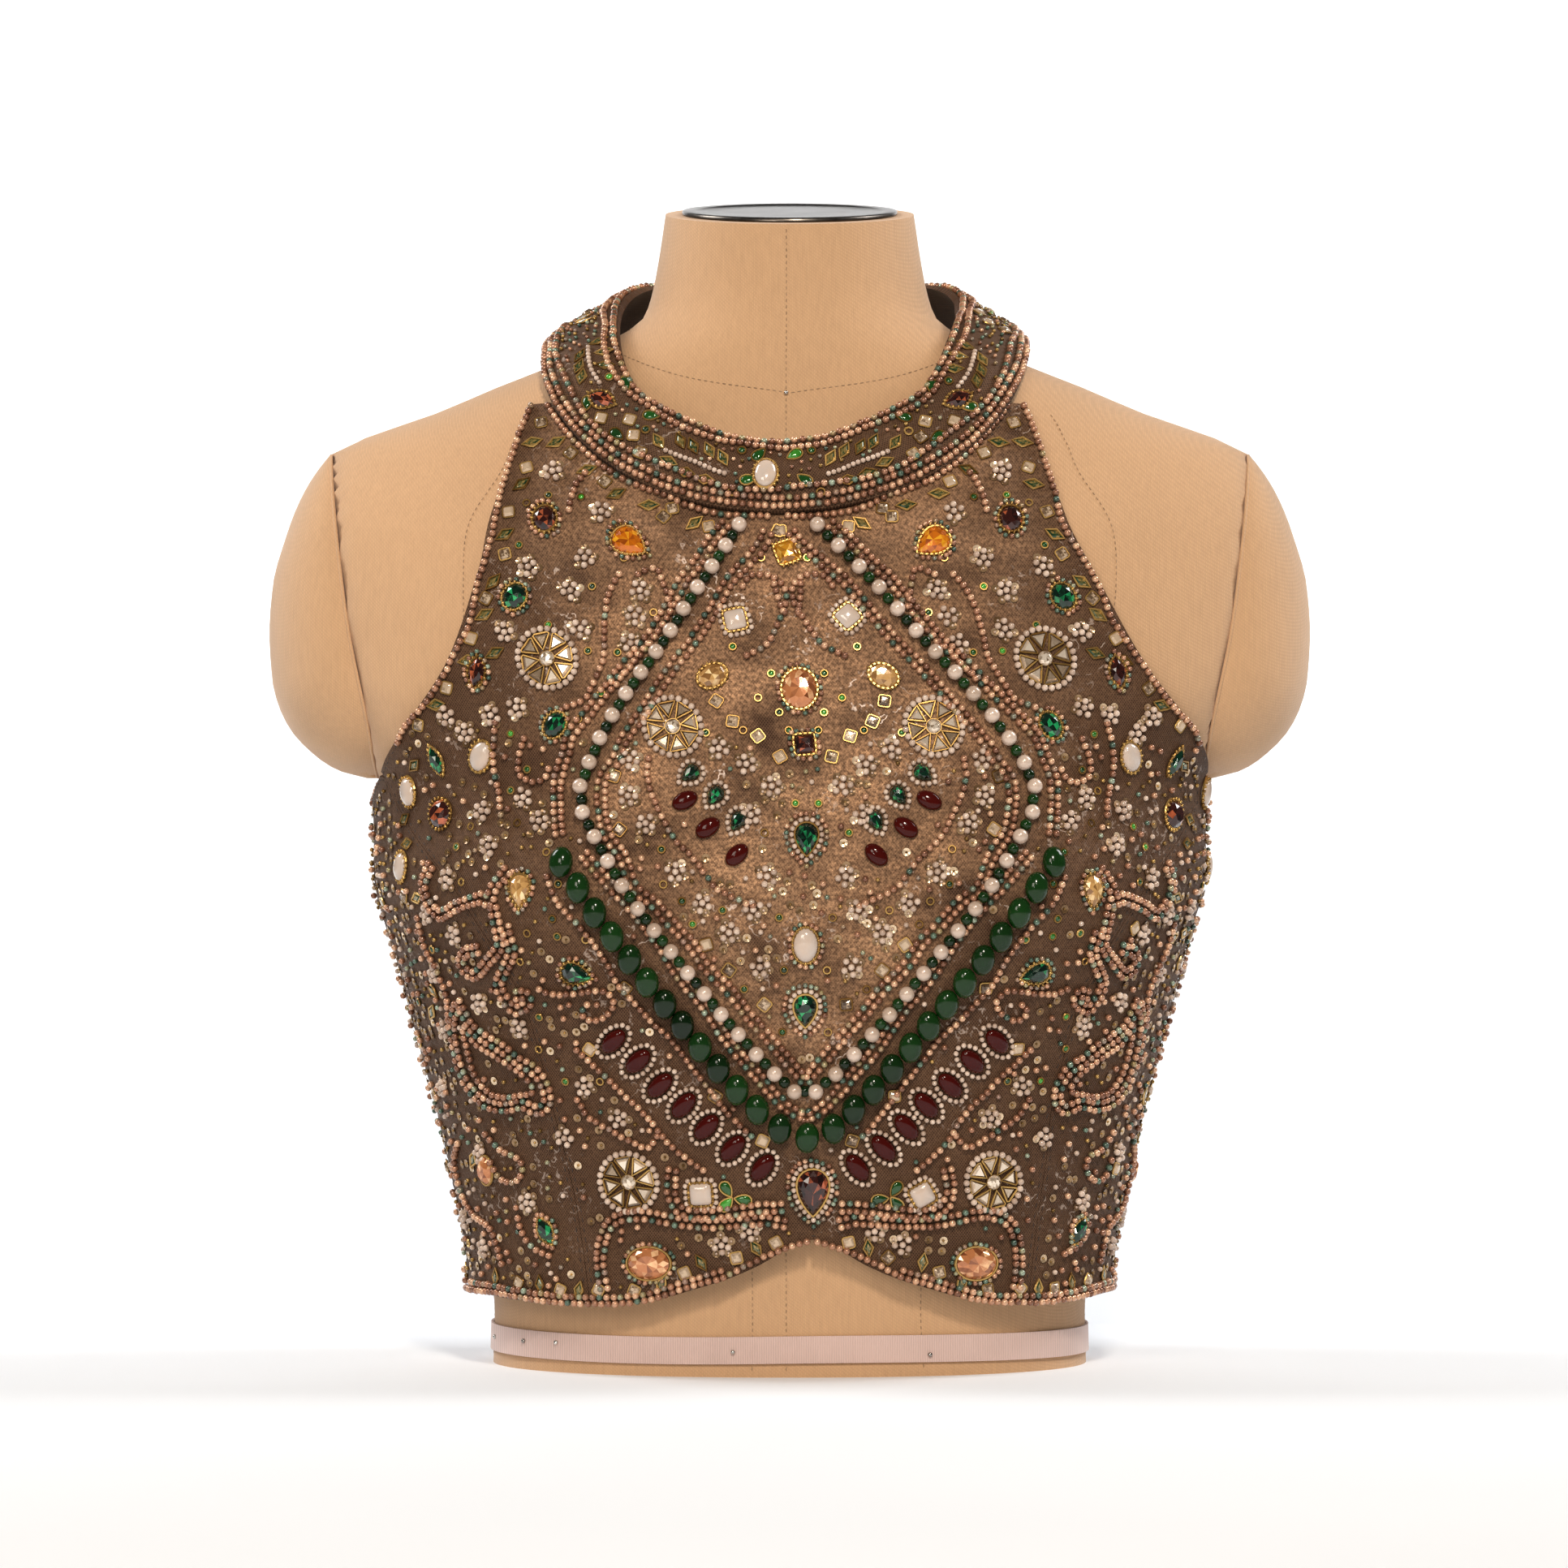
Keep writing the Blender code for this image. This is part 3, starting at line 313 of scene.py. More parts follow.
PAIRED_STONES = table(
    Stone,
    "oval", 286, 642, -5, 12, 10.5, "garnet_gem", "claws_teal",
    "pear", 186, 671, 125, 16, 13.5, "amber_gem", "claws_teal",
    "oval", 336, 737, 30, 12, 10.5, "emerald_gem", "claws_teal",
    "wheel", 305, 813, 0, 27, 27, "crystal", "wheel",
    "oval", 105, 835, 60, 13, 10, "champagne_gem", "claws",
    "marquise", 392, 829, 8, 14, 8, "garnet_gem", "claws_teal",
    "oval", 303, 895, 30, 12, 9.5, "emerald_gem", "claws_teal",
    "wheel", 160, 897, 0, 26, 26, "crystal", "wheel",
    "marquise", 450, 936, -18, 13.5, 6.5, "emerald_gem", "claws",
    "dome", 396, 932, 22, 13.5, 10, "opal", "claws",
    "dome", 484, 976, -20, 13.5, 10, "opal", "claws",
    "round", 445, 1004, 0, 13, 13, "garnet_gem", "claws",
    "dome", 492, 1068, 18, 13, 9.5, "opal", "claws",
    "pear", 349, 1098, 180, 14, 11, "champagne_gem", "claws_teal",
    "pear", 280, 1197, 105, 13.5, 10.5, "emerald_gem", "claws_teal",
    "pear", 143, 955, -127, 9, 7.5, "emerald_gem", "white",
    "pear", 113, 982, -143, 9, 7.5, "emerald_gem", "white",
    "pear", 85, 1013, -152, 9, 7.5, "emerald_gem", "white",
    "dome", 150, 988, 63, 12, 8, "ruby", "bare",
    "dome", 122, 1021, 55, 12, 8, "ruby", "bare",
    "dome", 86, 1054, 47, 12, 8, "ruby", "bare",
    "dome", 234, 1280, 47, 14, 8, "ruby", "white",
    "dome", 204, 1305, 47, 14, 8, "ruby", "white",
    "dome", 177, 1335, 46, 14, 8, "ruby", "white",
    "dome", 148, 1360, 44, 14, 8, "ruby", "white",
    "dome", 122, 1387, 43, 14, 8, "ruby", "white",
    "dome", 92, 1413, 43, 14, 8, "ruby", "white",
    "dome", 58, 1437, 38, 14, 8, "ruby", "white",
    "wheel", 222, 1455, 0, 27, 27, "crystal", "wheel",
    "oval", 199, 1556, 88, 19, 14, "peach_gem", "teal",
    "marquise", 323, 1515, -28, 13, 8, "emerald_gem", "claws_teal",
    "oval", 392, 1440, 15, 13, 9, "peach_gem", "rim",
)
RISES = {
    "square": 3.2,
    "oval": 3.6,
    "round": 4.0,
    "pear": 3.6,
    "marquise": 3.2,
    "dome": 3.4,
    "wheel": 2.0,
}
LARGE_STONE = 12.5

# Stones of the collar by turn round it, share of its width from the lower edge, and own lean
CollarStone = namedtuple("CollarStone", "kind turn share lean long wide finish trim")
COLLAR_STONES = table(
    CollarStone,
    "dome", -3, 0.45, 0, 13.5, 10, "opal", "claws",
    "marquise", 60, 0.52, 62, 13, 8.5, "garnet_gem", "claws",
    "marquise", -60, 0.52, -62, 13, 8.5, "garnet_gem", "claws",
    "oval", 128, 0.5, 0, 13.5, 10, "emerald_gem", "claws",
    "oval", -128, 0.5, 0, 13.5, 10, "emerald_gem", "claws",
)


# Two rows of beads: the pearl lozenge, and the pointed row of big green beads under it
PEARL_ROW = spots(
    48, 652, 88, 700, 119, 738, 157, 790, 198, 840, 240, 898, 271, 958, 276, 992, 262, 1029,
    227, 1091, 185, 1147, 138, 1204, 87, 1265, 33, 1324, 0, 1352,
)
PEARL_SIZE = 6.4
PEARL_SPACING = 10.9
BEAD_ROW = spots(
    298, 1066, 257, 1125, 213, 1182, 168, 1237, 122, 1293, 78, 1344, 50, 1371, 26, 1391, 0, 1398,
)
BEAD_LENGTH = 12.4
BEAD_WIDTH = 9.2
BEAD_SPACING = 11.6


# Step along a panel's edge
EDGE_STEP = 3.5


# Rows of small round beads on the left half of the picture, each also made on the right half.
# They are bronze unless they are named as mixed
BEAD_LINES = {
    "armhole_edge": spots(
        657, 506, 644, 534, 633, 565, 619, 609, 612, 645, 604, 676, 590, 726, 583, 766, 568, 797,
        550, 833, 528, 868, 505, 895, 496, 912),
    "under_collar": spots(
        677, 506, 688, 523, 706, 545, 724, 563, 746, 581, 769, 595, 795, 606, 818, 613, 845, 626,
        876, 635, 903, 639, 934, 640, 946, 640),
    "stalk_of_garnet": spots(722, 587, 712, 600, 706, 615, 702, 632),
    "inner_stalk_of_amber": spots(
        764, 710, 755, 725, 749, 743, 746, 766, 746, 788, 746, 810, 740, 828, 729, 850, 722, 864,
        700, 873),
    "outer_stalk_of_amber": spots(
        787, 710, 809, 703, 818, 721, 825, 739, 827, 757, 813, 779, 800, 795, 787, 810, 775, 828,
        755, 842),
    "outer_flank": spots(
        894, 650, 876, 672, 858, 699, 842, 717, 831, 739, 800, 790, 770, 825, 735, 870, 706, 907,
        700, 930, 694, 949, 690, 972, 690, 1002, 692, 1030),
    "inner_flank": spots(
        945, 660, 938, 676, 920, 696, 898, 720, 885, 744, 871, 766, 854, 793, 831, 822, 808, 856,
        795, 877, 769, 916, 760, 939, 746, 957, 742, 980, 744, 1006, 750, 1033, 767, 1056, 781,
        1094, 806, 1113, 828, 1138, 850, 1160, 862, 1179, 880, 1200, 900, 1219, 920, 1246, 950,
        1280, 968, 1302, 990, 1328),
    "hook_round_square": spots(
        916, 725, 925, 712, 947, 712, 965, 725, 968, 745, 960, 766, 945, 796, 920, 810),
    "short_centre_row": spots(987, 722, 986, 740, 983, 757),
    "hook_under_emerald": spots(649, 911, 643, 937, 645, 957, 660, 966, 674, 962, 680, 949),
    "row_by_armhole": spots(614, 891, 612, 922, 614, 953, 620, 980, 622, 1006),
    "beside_rubies": spots(
        800, 936, 799, 957, 804, 980, 818, 1012, 832, 1036, 852, 1056, 868, 1076, 882, 1094, 901,
        1104, 928, 1116),
    "outer_point": spots(
        677, 1082, 690, 1113, 712, 1136, 732, 1160, 748, 1183, 764, 1212, 784, 1234, 804, 1256, 828,
        1278, 846, 1302, 866, 1328, 884, 1352, 902, 1374, 926, 1398),
    "between_points": spots(
        722, 1056, 746, 1084, 781, 1120, 812, 1159, 838, 1200, 868, 1236, 905, 1290, 938, 1328, 956,
        1350, 978, 1368, 996, 1374),
    "champagne_tail": spots(
        630, 1075, 614, 1094, 609, 1110, 599, 1106, 584, 1110, 565, 1117, 549, 1125, 534, 1106, 530,
        1087, 538, 1068),
    "side_loop": spots(
        614, 1117, 618, 1140, 622, 1163, 607, 1182, 591, 1198, 576, 1186, 580, 1171, 595, 1167),
    "side_curl": spots(
        630, 1148, 636, 1171, 626, 1194, 620, 1209, 627, 1226, 639, 1240, 655, 1232, 652, 1221, 641,
        1222),
    "curl_under_pear": spots(
        668, 1215, 690, 1222, 737, 1217, 750, 1220, 758, 1234, 746, 1250, 730, 1254, 719, 1244, 726,
        1234),
    "big_paisley": spots(
        572, 1232, 588, 1263, 607, 1278, 626, 1289, 645, 1305, 664, 1316, 676, 1335, 679, 1355, 668,
        1366, 649, 1358, 630, 1362, 610, 1358, 599, 1351, 584, 1335, 572, 1305, 565, 1263, 570, 1236),
    "inner_paisley": spots(
        580, 1262, 592, 1282, 612, 1296, 634, 1310, 652, 1324, 662, 1342, 646, 1347, 626, 1350, 608,
        1342, 592, 1322, 584, 1296, 578, 1268),
    "side_edge": spots(522, 1128, 530, 1158, 542, 1186, 557, 1224, 560, 1262),
    "under_rubies": spots(
        714, 1290, 734, 1309, 750, 1324, 765, 1340, 784, 1358, 803, 1378, 820, 1400, 840, 1420, 868,
        1440),
    "waist_wave": spots(716, 1352, 730, 1374, 752, 1388, 776, 1402, 800, 1412, 812, 1398),
    "arch_over_peach": spots(
        748, 1587, 744, 1564, 744, 1541, 749, 1518, 760, 1502, 783, 1495, 806, 1497, 829, 1502, 859,
        1506, 890, 1506, 913, 1504, 943, 1502, 966, 1506),
    "under_white_square": spots(
        830, 1440, 829, 1468, 838, 1487, 859, 1494, 898, 1492, 936, 1487, 963, 1486),
    "lower_hook": spots(645, 1499, 651, 1521, 664, 1537, 682, 1546),
    "lower_side": spots(
        572, 1407, 568, 1430, 572, 1453, 580, 1476, 591, 1495, 610, 1510, 618, 1529, 626, 1556),
    "lower_side_loop": spots(
        607, 1395, 622, 1414, 645, 1426, 650, 1440, 640, 1455, 622, 1450, 612, 1430),
    "hem_edge": spots(
        584, 1586, 614, 1591, 645, 1597, 676, 1602, 706, 1605, 744, 1606, 775, 1605, 806, 1600, 832,
        1591, 863, 1581, 890, 1574, 909, 1564, 936, 1550, 963, 1539, 994, 1528),
    "hem_inner": spots(
        590, 1579, 614, 1583, 645, 1589, 676, 1594, 706, 1597, 744, 1598, 775, 1597, 806, 1592, 832,
        1583, 863, 1573, 890, 1565),
}
MIXED_LINES = ("between_points", "big_paisley", "lower_side_loop", "hem_inner")

DOUBLE_LINES = (
    "outer_flank", "inner_flank", "between_points", "big_paisley", "champagne_tail", "side_curl",
    "arch_over_peach", "under_white_square", "side_loop",
)

# Small motifs of the left half, made on the right half too
ROSETTES = spots(
    682, 585, 742, 634, 722, 690, 653, 701, 704, 730, 789, 730, 784, 761, 624, 781, 717, 777,
    778, 795, 554, 882, 608, 882, 639, 873, 577, 903, 649, 985, 668, 1014, 599, 1001, 607, 1045,
    557, 1083, 777, 937, 775, 983, 796, 1016, 832, 1075, 865, 1112, 898, 1148, 936, 1190, 886, 924,
    920, 943, 951, 970, 595, 1232, 645, 1263, 723, 1336, 765, 1376, 534, 1125, 542, 1198, 566, 1150,
    890, 1533, 924, 1516, 580, 1502, 603, 1537, 599, 1420, 700, 1400, 655, 1480, 925, 1005,
    945, 1080, 928, 1120,
)
SQUARES = spots(
    668, 525, 704, 562, 746, 597, 650, 580, 829, 630, 874, 652, 628, 634, 624, 685, 601, 739,
    583, 788, 554, 848, 520, 892, 961, 657, 883, 866, 903, 891, 758, 958, 764, 1024, 870, 1163,
    898, 1194, 942, 1236, 771, 1215, 729, 1290, 882, 1349, 940, 1404, 934, 909, 961, 934, 818, 640,
    645, 1580, 695, 1589, 741, 1589, 784, 1590, 845, 1568, 908, 1549, 956, 1530,
)
LEAVES = spots(
    657, 549, 686, 549, 644, 600, 724, 583, 760, 612, 800, 626, 624, 661, 610, 719, 599, 759,
    856, 648, 579, 815, 541, 868, 612, 806, 590, 842, 516, 940, 505, 1010, 508, 1040, 520, 1105,
)
DOTS = spots(
    650, 623, 677, 614, 717, 616, 641, 674, 731, 725, 770, 690, 677, 772, 726, 804, 806, 757,
    762, 806, 742, 856, 715, 888, 938, 690, 903, 799, 950, 832, 934, 862, 916, 902, 972, 902,
    653, 949, 690, 1090, 633, 976, 632, 905, 641, 1016, 585, 1020, 568, 1045, 676, 1052, 574, 1087,
    683, 1131, 653, 1148, 689, 1152, 723, 1156, 645, 1182, 817, 1090, 890, 1121, 815, 1048,
    942, 1027, 980, 991, 853, 1138, 917, 1217, 966, 1194, 964, 1270, 700, 1330, 742, 1330,
    668, 1290, 668, 1250, 960, 880, 870, 905, 840, 1110, 960, 1130,
)
HEM_LEAVES = spots(
    581, 1566, 617, 1573, 670, 1582, 717, 1589, 817, 1582, 865, 1555, 932, 1537)
DROPS_BY_SQUARE = spots(896, 1464, 896, 1482, 916, 1477)

# The collar's leafy sprays on the right of the picture, made on the left too
COLLAR_STEMS = (
    spots(1021, 585, 1036, 580, 1056, 572, 1076, 564, 1093, 557),
    spots(1180, 477, 1192, 462, 1197, 450, 1200, 435),
)
Leaf = namedtuple("Leaf", "across down turn")
COLLAR_LEAVES = table(
    Leaf,
    1023, 566, -40, 1040, 556, -45, 1060, 551, -48, 1102, 546, -62, 1045, 592, -95, 1068, 584, -92,
    1090, 570, -88, 1076, 545, -50, 1180, 440, 15, 1176, 456, 30, 1190, 428, 0, 1209, 444, -50,
    1208, 457, -55, 1204, 470, -60,
)
COLLAR_DROPS = spots(978, 561, 991, 592, 1113, 515, 1155, 540, 1194, 503, 1149, 477)
COLLAR_DOTS = spots(1000, 556, 1011, 608, 1120, 532, 1168, 470)
COLLAR_SQUARES = spots(1134, 540, 1126, 560, 1140, 520, 1176, 520)


class Curve:
    """A smooth curve through a table's rows that never overshoots them."""

    def __init__(self, places, values):
        self.places = np.array(places, float)
        self.values = np.array(values, float)
        self.steps = np.diff(self.places)
        slopes = np.diff(self.values) / self.steps
        before, after = slopes[:-1], slopes[1:]
        total = np.where(before + after == 0, 1.0, before + after)
        inner = np.where(before * after > 0, 2 * before * after / total, 0.0)
        self.slopes = np.concatenate([slopes[:1], inner, slopes[-1:]])

    def __call__(self, place):
        place = np.clip(place, self.places[0], self.places[-1])
        i = np.clip(np.searchsorted(self.places, place) - 1, 0, len(self.steps) - 1)
        step = self.steps[i]
        t = (place - self.places[i]) / step
        rise = self.values[i + 1] - self.values[i]
        bend = t * (1 - t) * step * ((1 - t) * self.slopes[i] - t * self.slopes[i + 1])
        return self.values[i] + rise * t * t * (3 - 2 * t) + bend


def columns(rows, key, names):
    """Each named column of a table as a smooth curve over its key column."""
    places = [getattr(row, key) for row in rows]
    return {name: Curve(places, [getattr(row, name) for row in rows]) for name in names}


SECTION_OF = columns(SECTIONS, "height", ("half_width", "front", "back", "power"))
EASE_OF = columns(EASES, "height", ("side", "front", "back", "lift"))
PLACKET_GAP_OF = columns(PLACKET_GAPS, "height", ("gap",))["gap"]
SWAY_OF = columns(COLLAR_SWAYS, "turn", ("across",))["across"]
DRIFT_OF = columns(DRIFTS, "height", ("across",))["across"]
PLATE_OF = columns(PLATES, "height", ("plate",))["plate"]
HEM_OF = columns(HEM, "distance", ("height",))["height"]
PRINCESS_OF = columns(PRINCESS_SEAM, "height", ("distance",))["distance"]


def section(height, turns, eased):
    """Points of the form's level section at these turns from the front, in radians."""
    source = height - EASE_OF["lift"](height) if eased else height
    width = SECTION_OF["half_width"](source)
    front = SECTION_OF["front"](source)
    back = SECTION_OF["back"](source)
    if eased:
        width = width + EASE_OF["side"](height)
        front = front + EASE_OF["front"](height)
        back = back + EASE_OF["back"](height)
    power = SECTION_OF["power"](source)
    sine, cosine = np.sin(turns), np.cos(turns)
    depth = np.where(cosine >= 0, front, back)
    radius = (np.abs(sine / width) ** power + np.abs(cosine / depth) ** power) ** (-1 / power)
    level = math.exp(-(((height - BUST_HEIGHT) / BUST_REACH) ** 2))
    for centre in (-BUST_TURN, BUST_TURN):
        radius = radius + BUST_RISE * level * np.exp(
            -(((np.degrees(turns) - centre) / BUST_SPREAD) ** 2)
        )
    return np.stack([radius * sine, -radius * cosine], axis=-1)


def lengths_along(points):
    """How far along a path each of its points lies."""
    return np.concatenate([[0], np.cumsum(np.linalg.norm(np.diff(points, axis=0), axis=1))])


def unit(vectors):
    return vectors / np.linalg.norm(vectors, axis=1)[:, None]


def circle(angles):
    return np.stack([np.cos(angles), np.sin(angles)], axis=1)


def resampled(points, spacing):
    """A path of 2D points cut at even steps, both ends kept."""
    points = np.array(points, float)
    lengths = lengths_along(points)
    places = np.linspace(0, lengths[-1], max(1, round(lengths[-1] / spacing)) + 1)
    return np.stack([np.interp(places, lengths, points[:, k]) for k in (0, 1)], axis=1)


def smooth_path(rows, names, samples=12):
    """A Catmull-Rom path through a table's rows."""
    points = np.array([[getattr(row, name) for name in names] for row in rows], float)
    padded = np.vstack([2 * points[0] - points[1], points, 2 * points[-1] - points[-2]])
    path = []
    for a, b, c, d in zip(padded, padded[1:], padded[2:], padded[3:]):
        for t in np.arange(samples) / samples:
            path.append(
                0.5 * (2 * b + (c - a) * t + (2 * a - 5 * b + 4 * c - d) * t * t)
                + 0.5 * (3 * b - a - 3 * c + d) * t**3
            )
    path.append(points[-1])
    return np.array(path)


def inside(point, outline):
    """Whether a 2D point lies in a closed outline."""
    x, y = point
    nexts = np.roll(outline, -1, axis=0)
    crosses = (outline[:, 1] > y) != (nexts[:, 1] > y)
    rises = np.where(crosses, nexts[:, 1] - outline[:, 1], 1.0)
    at = outline[:, 0] + (y - outline[:, 1]) * (nexts[:, 0] - outline[:, 0]) / rises
    return bool(np.count_nonzero(crosses & (x < at)) % 2)


def clearance(point, outline):
    """Distance from a 2D point to a closed outline."""
    ends = np.roll(outline, -1, axis=0)
    sides = ends - outline
    share = ((point - outline) * sides).sum(1) / np.maximum((sides**2).sum(1), 1e-9)
    nearest = outline + np.clip(share, 0, 1)[:, None] * sides
    return float(np.linalg.norm(point - nearest, axis=1).min())


def triangulated(outline, step):
    """Triangles of an outline with a grid of points inside it. The outline comes first."""
    points = [tuple(p) for p in outline]
    low, high = outline.min(0), outline.max(0)
    row_step = step * ROW_SHARE
    for j, y in enumerate(np.arange(low[1] + row_step / 2, high[1], row_step)):
        for x in np.arange(low[0] + step * (0.25 + 0.5 * (j % 2)), high[0], step):
            spot = np.array([x, y])
            if inside(spot, outline) and clearance(spot, outline) >= EDGE_ROOM * step:
                points.append((x, y))
    edge = [list(range(len(outline)))]
    _, _, faces, origins, *_ = delaunay_2d_cdt(points, [], edge, 1, TRIANGLE_MERGE)
    return points, [[origins[i][0] for i in face] for face in faces]


def clean_faces(points, faces):
    """The faces turned anticlockwise, with none that has no area."""
    kept = []
    for a, b, c in faces:
        (ax, ay), (bx, by), (cx, cy) = points[a], points[b], points[c]
        area = (bx - ax) * (cy - ay) - (by - ay) * (cx - ax)
        if abs(area) > 1e-9:
            kept.append((a, b, c) if area > 0 else (a, c, b))
    return kept


def tilted(point):
    """The neck's top slopes down to the front."""
    across, depth, height = point
    share = max(0.0, (height - NECK_TILT_START) / (NECK_TOP - NECK_TILT_START))
    return across, depth, height + NECK_TILT * share * depth


def form_ring(height, off=0.0):
    """The form's outer line at a height, flat where the armhole plates are."""
    turns = np.radians(np.arange(FORM_POINTS) * 360 / FORM_POINTS)
    signed = np.where(turns > math.pi, turns - 2 * math.pi, turns)
    flat = section(height, signed, False)
    flat = flat * (1 + off / np.linalg.norm(flat, axis=1))[:, None]
    return [tilted((x, y, height)) for x, y in clipped(flat, height)]


def clipped(flat, height):
    """Level points held inside the flat armhole plates."""
    if PLATES[0].height <= height <= PLATES[-1].height:
        flat[:, 0] = np.clip(flat[:, 0], -PLATE_OF(height), PLATE_OF(height))
    return flat


def plate_half_depths(height):
    """How far the flat armhole plate reaches to the front and to the back at a height."""
    share = min(1.0, PLATE_OF(height) / SECTION_OF["half_width"](height))
    power = SECTION_OF["power"](height)
    left = max(0.004, 1 - share**power) ** (1 / power)
    return SECTION_OF["front"](height) * left, SECTION_OF["back"](height) * left


def neckline_point(turn, side):
    """A point of the front's neckline as distance and height."""
    angle = math.radians(turn)
    height = NECKLINE_CENTRE - NECKLINE_DROP * math.cos(angle)
    across = SWAY_OF(turn) + side * NECKLINE_HALF_WIDTH * math.sin(angle)
    return CLOTH_INSIDE.distance_at(across, height), height


def neckline(side):
    """The front's neckline from the centre front to the armhole."""
    turns = np.linspace(0, NECKLINE_LAST_TURN, NECKLINE_POINTS)
    return [neckline_point(turn, side) for turn in turns]


def half_girth(height):
    """Distance from the centre front to the centre back."""
    return CLOTH_INSIDE.girth(height) / 2


def side_distance(height):
    """Distance from the centre front to the side seam."""
    return SIDE_SHARE * half_girth(height)


def hem_line(start, end):
    """The hem between two distances from the centre front."""
    places = np.linspace(start, end, max(2, int(abs(end - start) / EDGE_STEP) + 1))
    return [(place, float(HEM_OF(abs(place)))) for place in places]


def princess_line(bottom):
    """The princess seam from the hem up to the armhole, on the right of the picture."""
    path = smooth_path(PRINCESS_SEAM, ("distance", "height"))
    above = [tuple(p) for p in path if p[1] > bottom + 0.5]
    start = (float(PRINCESS_OF(bottom)), bottom)
    return resampled([start] + above, EDGE_STEP)


def armhole_line(table, low, high):
    """An armhole edge from one height to a higher one."""
    path = smooth_path(table, ("distance", "height"))[::-1]
    return resampled([p for p in path if low - 0.01 <= p[1] <= high + 0.01], EDGE_STEP)


def mirrored(line):
    return [(-x, y) for x, y in line]


def shrunk(outline, by):
    """An anticlockwise outline moved inwards by a small distance."""
    before = np.roll(outline, 1, axis=0)
    after = np.roll(outline, -1, axis=0)
    normals = []
    for a, b in ((before, outline), (outline, after)):
        along = unit(b - a)
        normals.append(np.stack([-along[:, 1], along[:, 0]], axis=1))
    middle = normals[0] + normals[1]
    size = np.maximum((middle * normals[0]).sum(1), 0.6)
    return outline + by * middle / size[:, None]


def without_repeats(points):
    """A closed outline with no two neighbours closer than the least step."""
    kept = []
    for point in points:
        if not kept or math.dist(kept[-1], point) > LEAST_STEP:
            kept.append(tuple(point))
    if math.dist(kept[0], kept[-1]) <= LEAST_STEP:
        kept.pop()
    return np.array(kept)


def front_outline():
    """The front panel: hem, princess seams, armholes and neckline, anticlockwise."""
    hem_end = float(PRINCESS_OF(HEM_AT_PRINCESS))
    seam = [tuple(p) for p in princess_line(float(HEM_OF(hem_end)))]
    top = neckline(1)
    armhole = armhole_line(ARMHOLE, seam[-1][1], top[-1][1])
    right = seam + [tuple(p) for p in armhole] + top[::-1]
    left = neckline(-1)[1:] + mirrored([tuple(p) for p in armhole][::-1]) + mirrored(seam[::-1])
    hem = hem_line(-hem_end, hem_end)
    return shrunk(without_repeats(hem + right + left), SEAM_GAP / 2)


def side_front_outline(side):
    """One side-front panel: hem, side seam, low armhole and princess seam."""
    hem_end = float(PRINCESS_OF(HEM_AT_PRINCESS))
    low = float(HEM_OF(hem_end))
    seam = [tuple(p) for p in princess_line(low)]
    side_low = float(HEM_OF(side_distance(HEM_AT_SIDE)))
    side_top = ARMHOLE[-1].height
    edge = [(side_distance(z), z) for z in np.linspace(side_low, side_top, SIDE_SEAM_POINTS)]
    armhole = [tuple(p) for p in armhole_line(ARMHOLE, side_top, seam[-1][1] - TIP_CUT)]
    points = hem_line(hem_end, edge[0][0]) + edge + armhole[1:] + seam[::-1][1:]
    if side < 0:
        points = mirrored(points)[::-1]
    return shrunk(without_repeats(points), SEAM_GAP / 2)


def back_outline(side):
    """One back panel: hem, centre back, neckline under the collar, armhole and side seam."""
    side_low = float(HEM_OF(side_distance(HEM_AT_SIDE)))
    side_top = BACK_ARMHOLE[-1].height
    neck = BACK_ARMHOLE[0].height
    edge = [(side_distance(z), z) for z in np.linspace(side_low, side_top, SIDE_SEAM_POINTS)]
    armhole = [
        (half_girth(z) - x, z) for x, z in armhole_line(BACK_ARMHOLE, side_top, neck)[1:]
    ]
    places = np.linspace(BACK_ARMHOLE[0].distance, 0, BACK_NECK_POINTS)
    top = [(half_girth(neck) - place, neck) for place in places[1:]]
    levels = np.linspace(neck, HEM[-1].height, CENTRE_BACK_POINTS)
    centre = [(half_girth(z), z) for z in levels[1:]]
    hem = hem_line(centre[-1][0], edge[0][0])[1:-1]
    points = (edge + armhole + top + centre + hem)[::-1]
    if side < 0:
        points = mirrored(points)[::-1]
    return shrunk(without_repeats(points), SEAM_GAP / 2)


def box_outline(left, right, bottom, top):
    """A rectangle's edge, cut at even steps with its corners kept."""
    corners = [(left, bottom), (right, bottom), (right, top), (left, top), (left, bottom)]
    points = []
    for start, end in zip(corners, corners[1:]):
        points += [tuple(p) for p in resampled([start, end], EDGE_STEP)]
    return without_repeats(points)


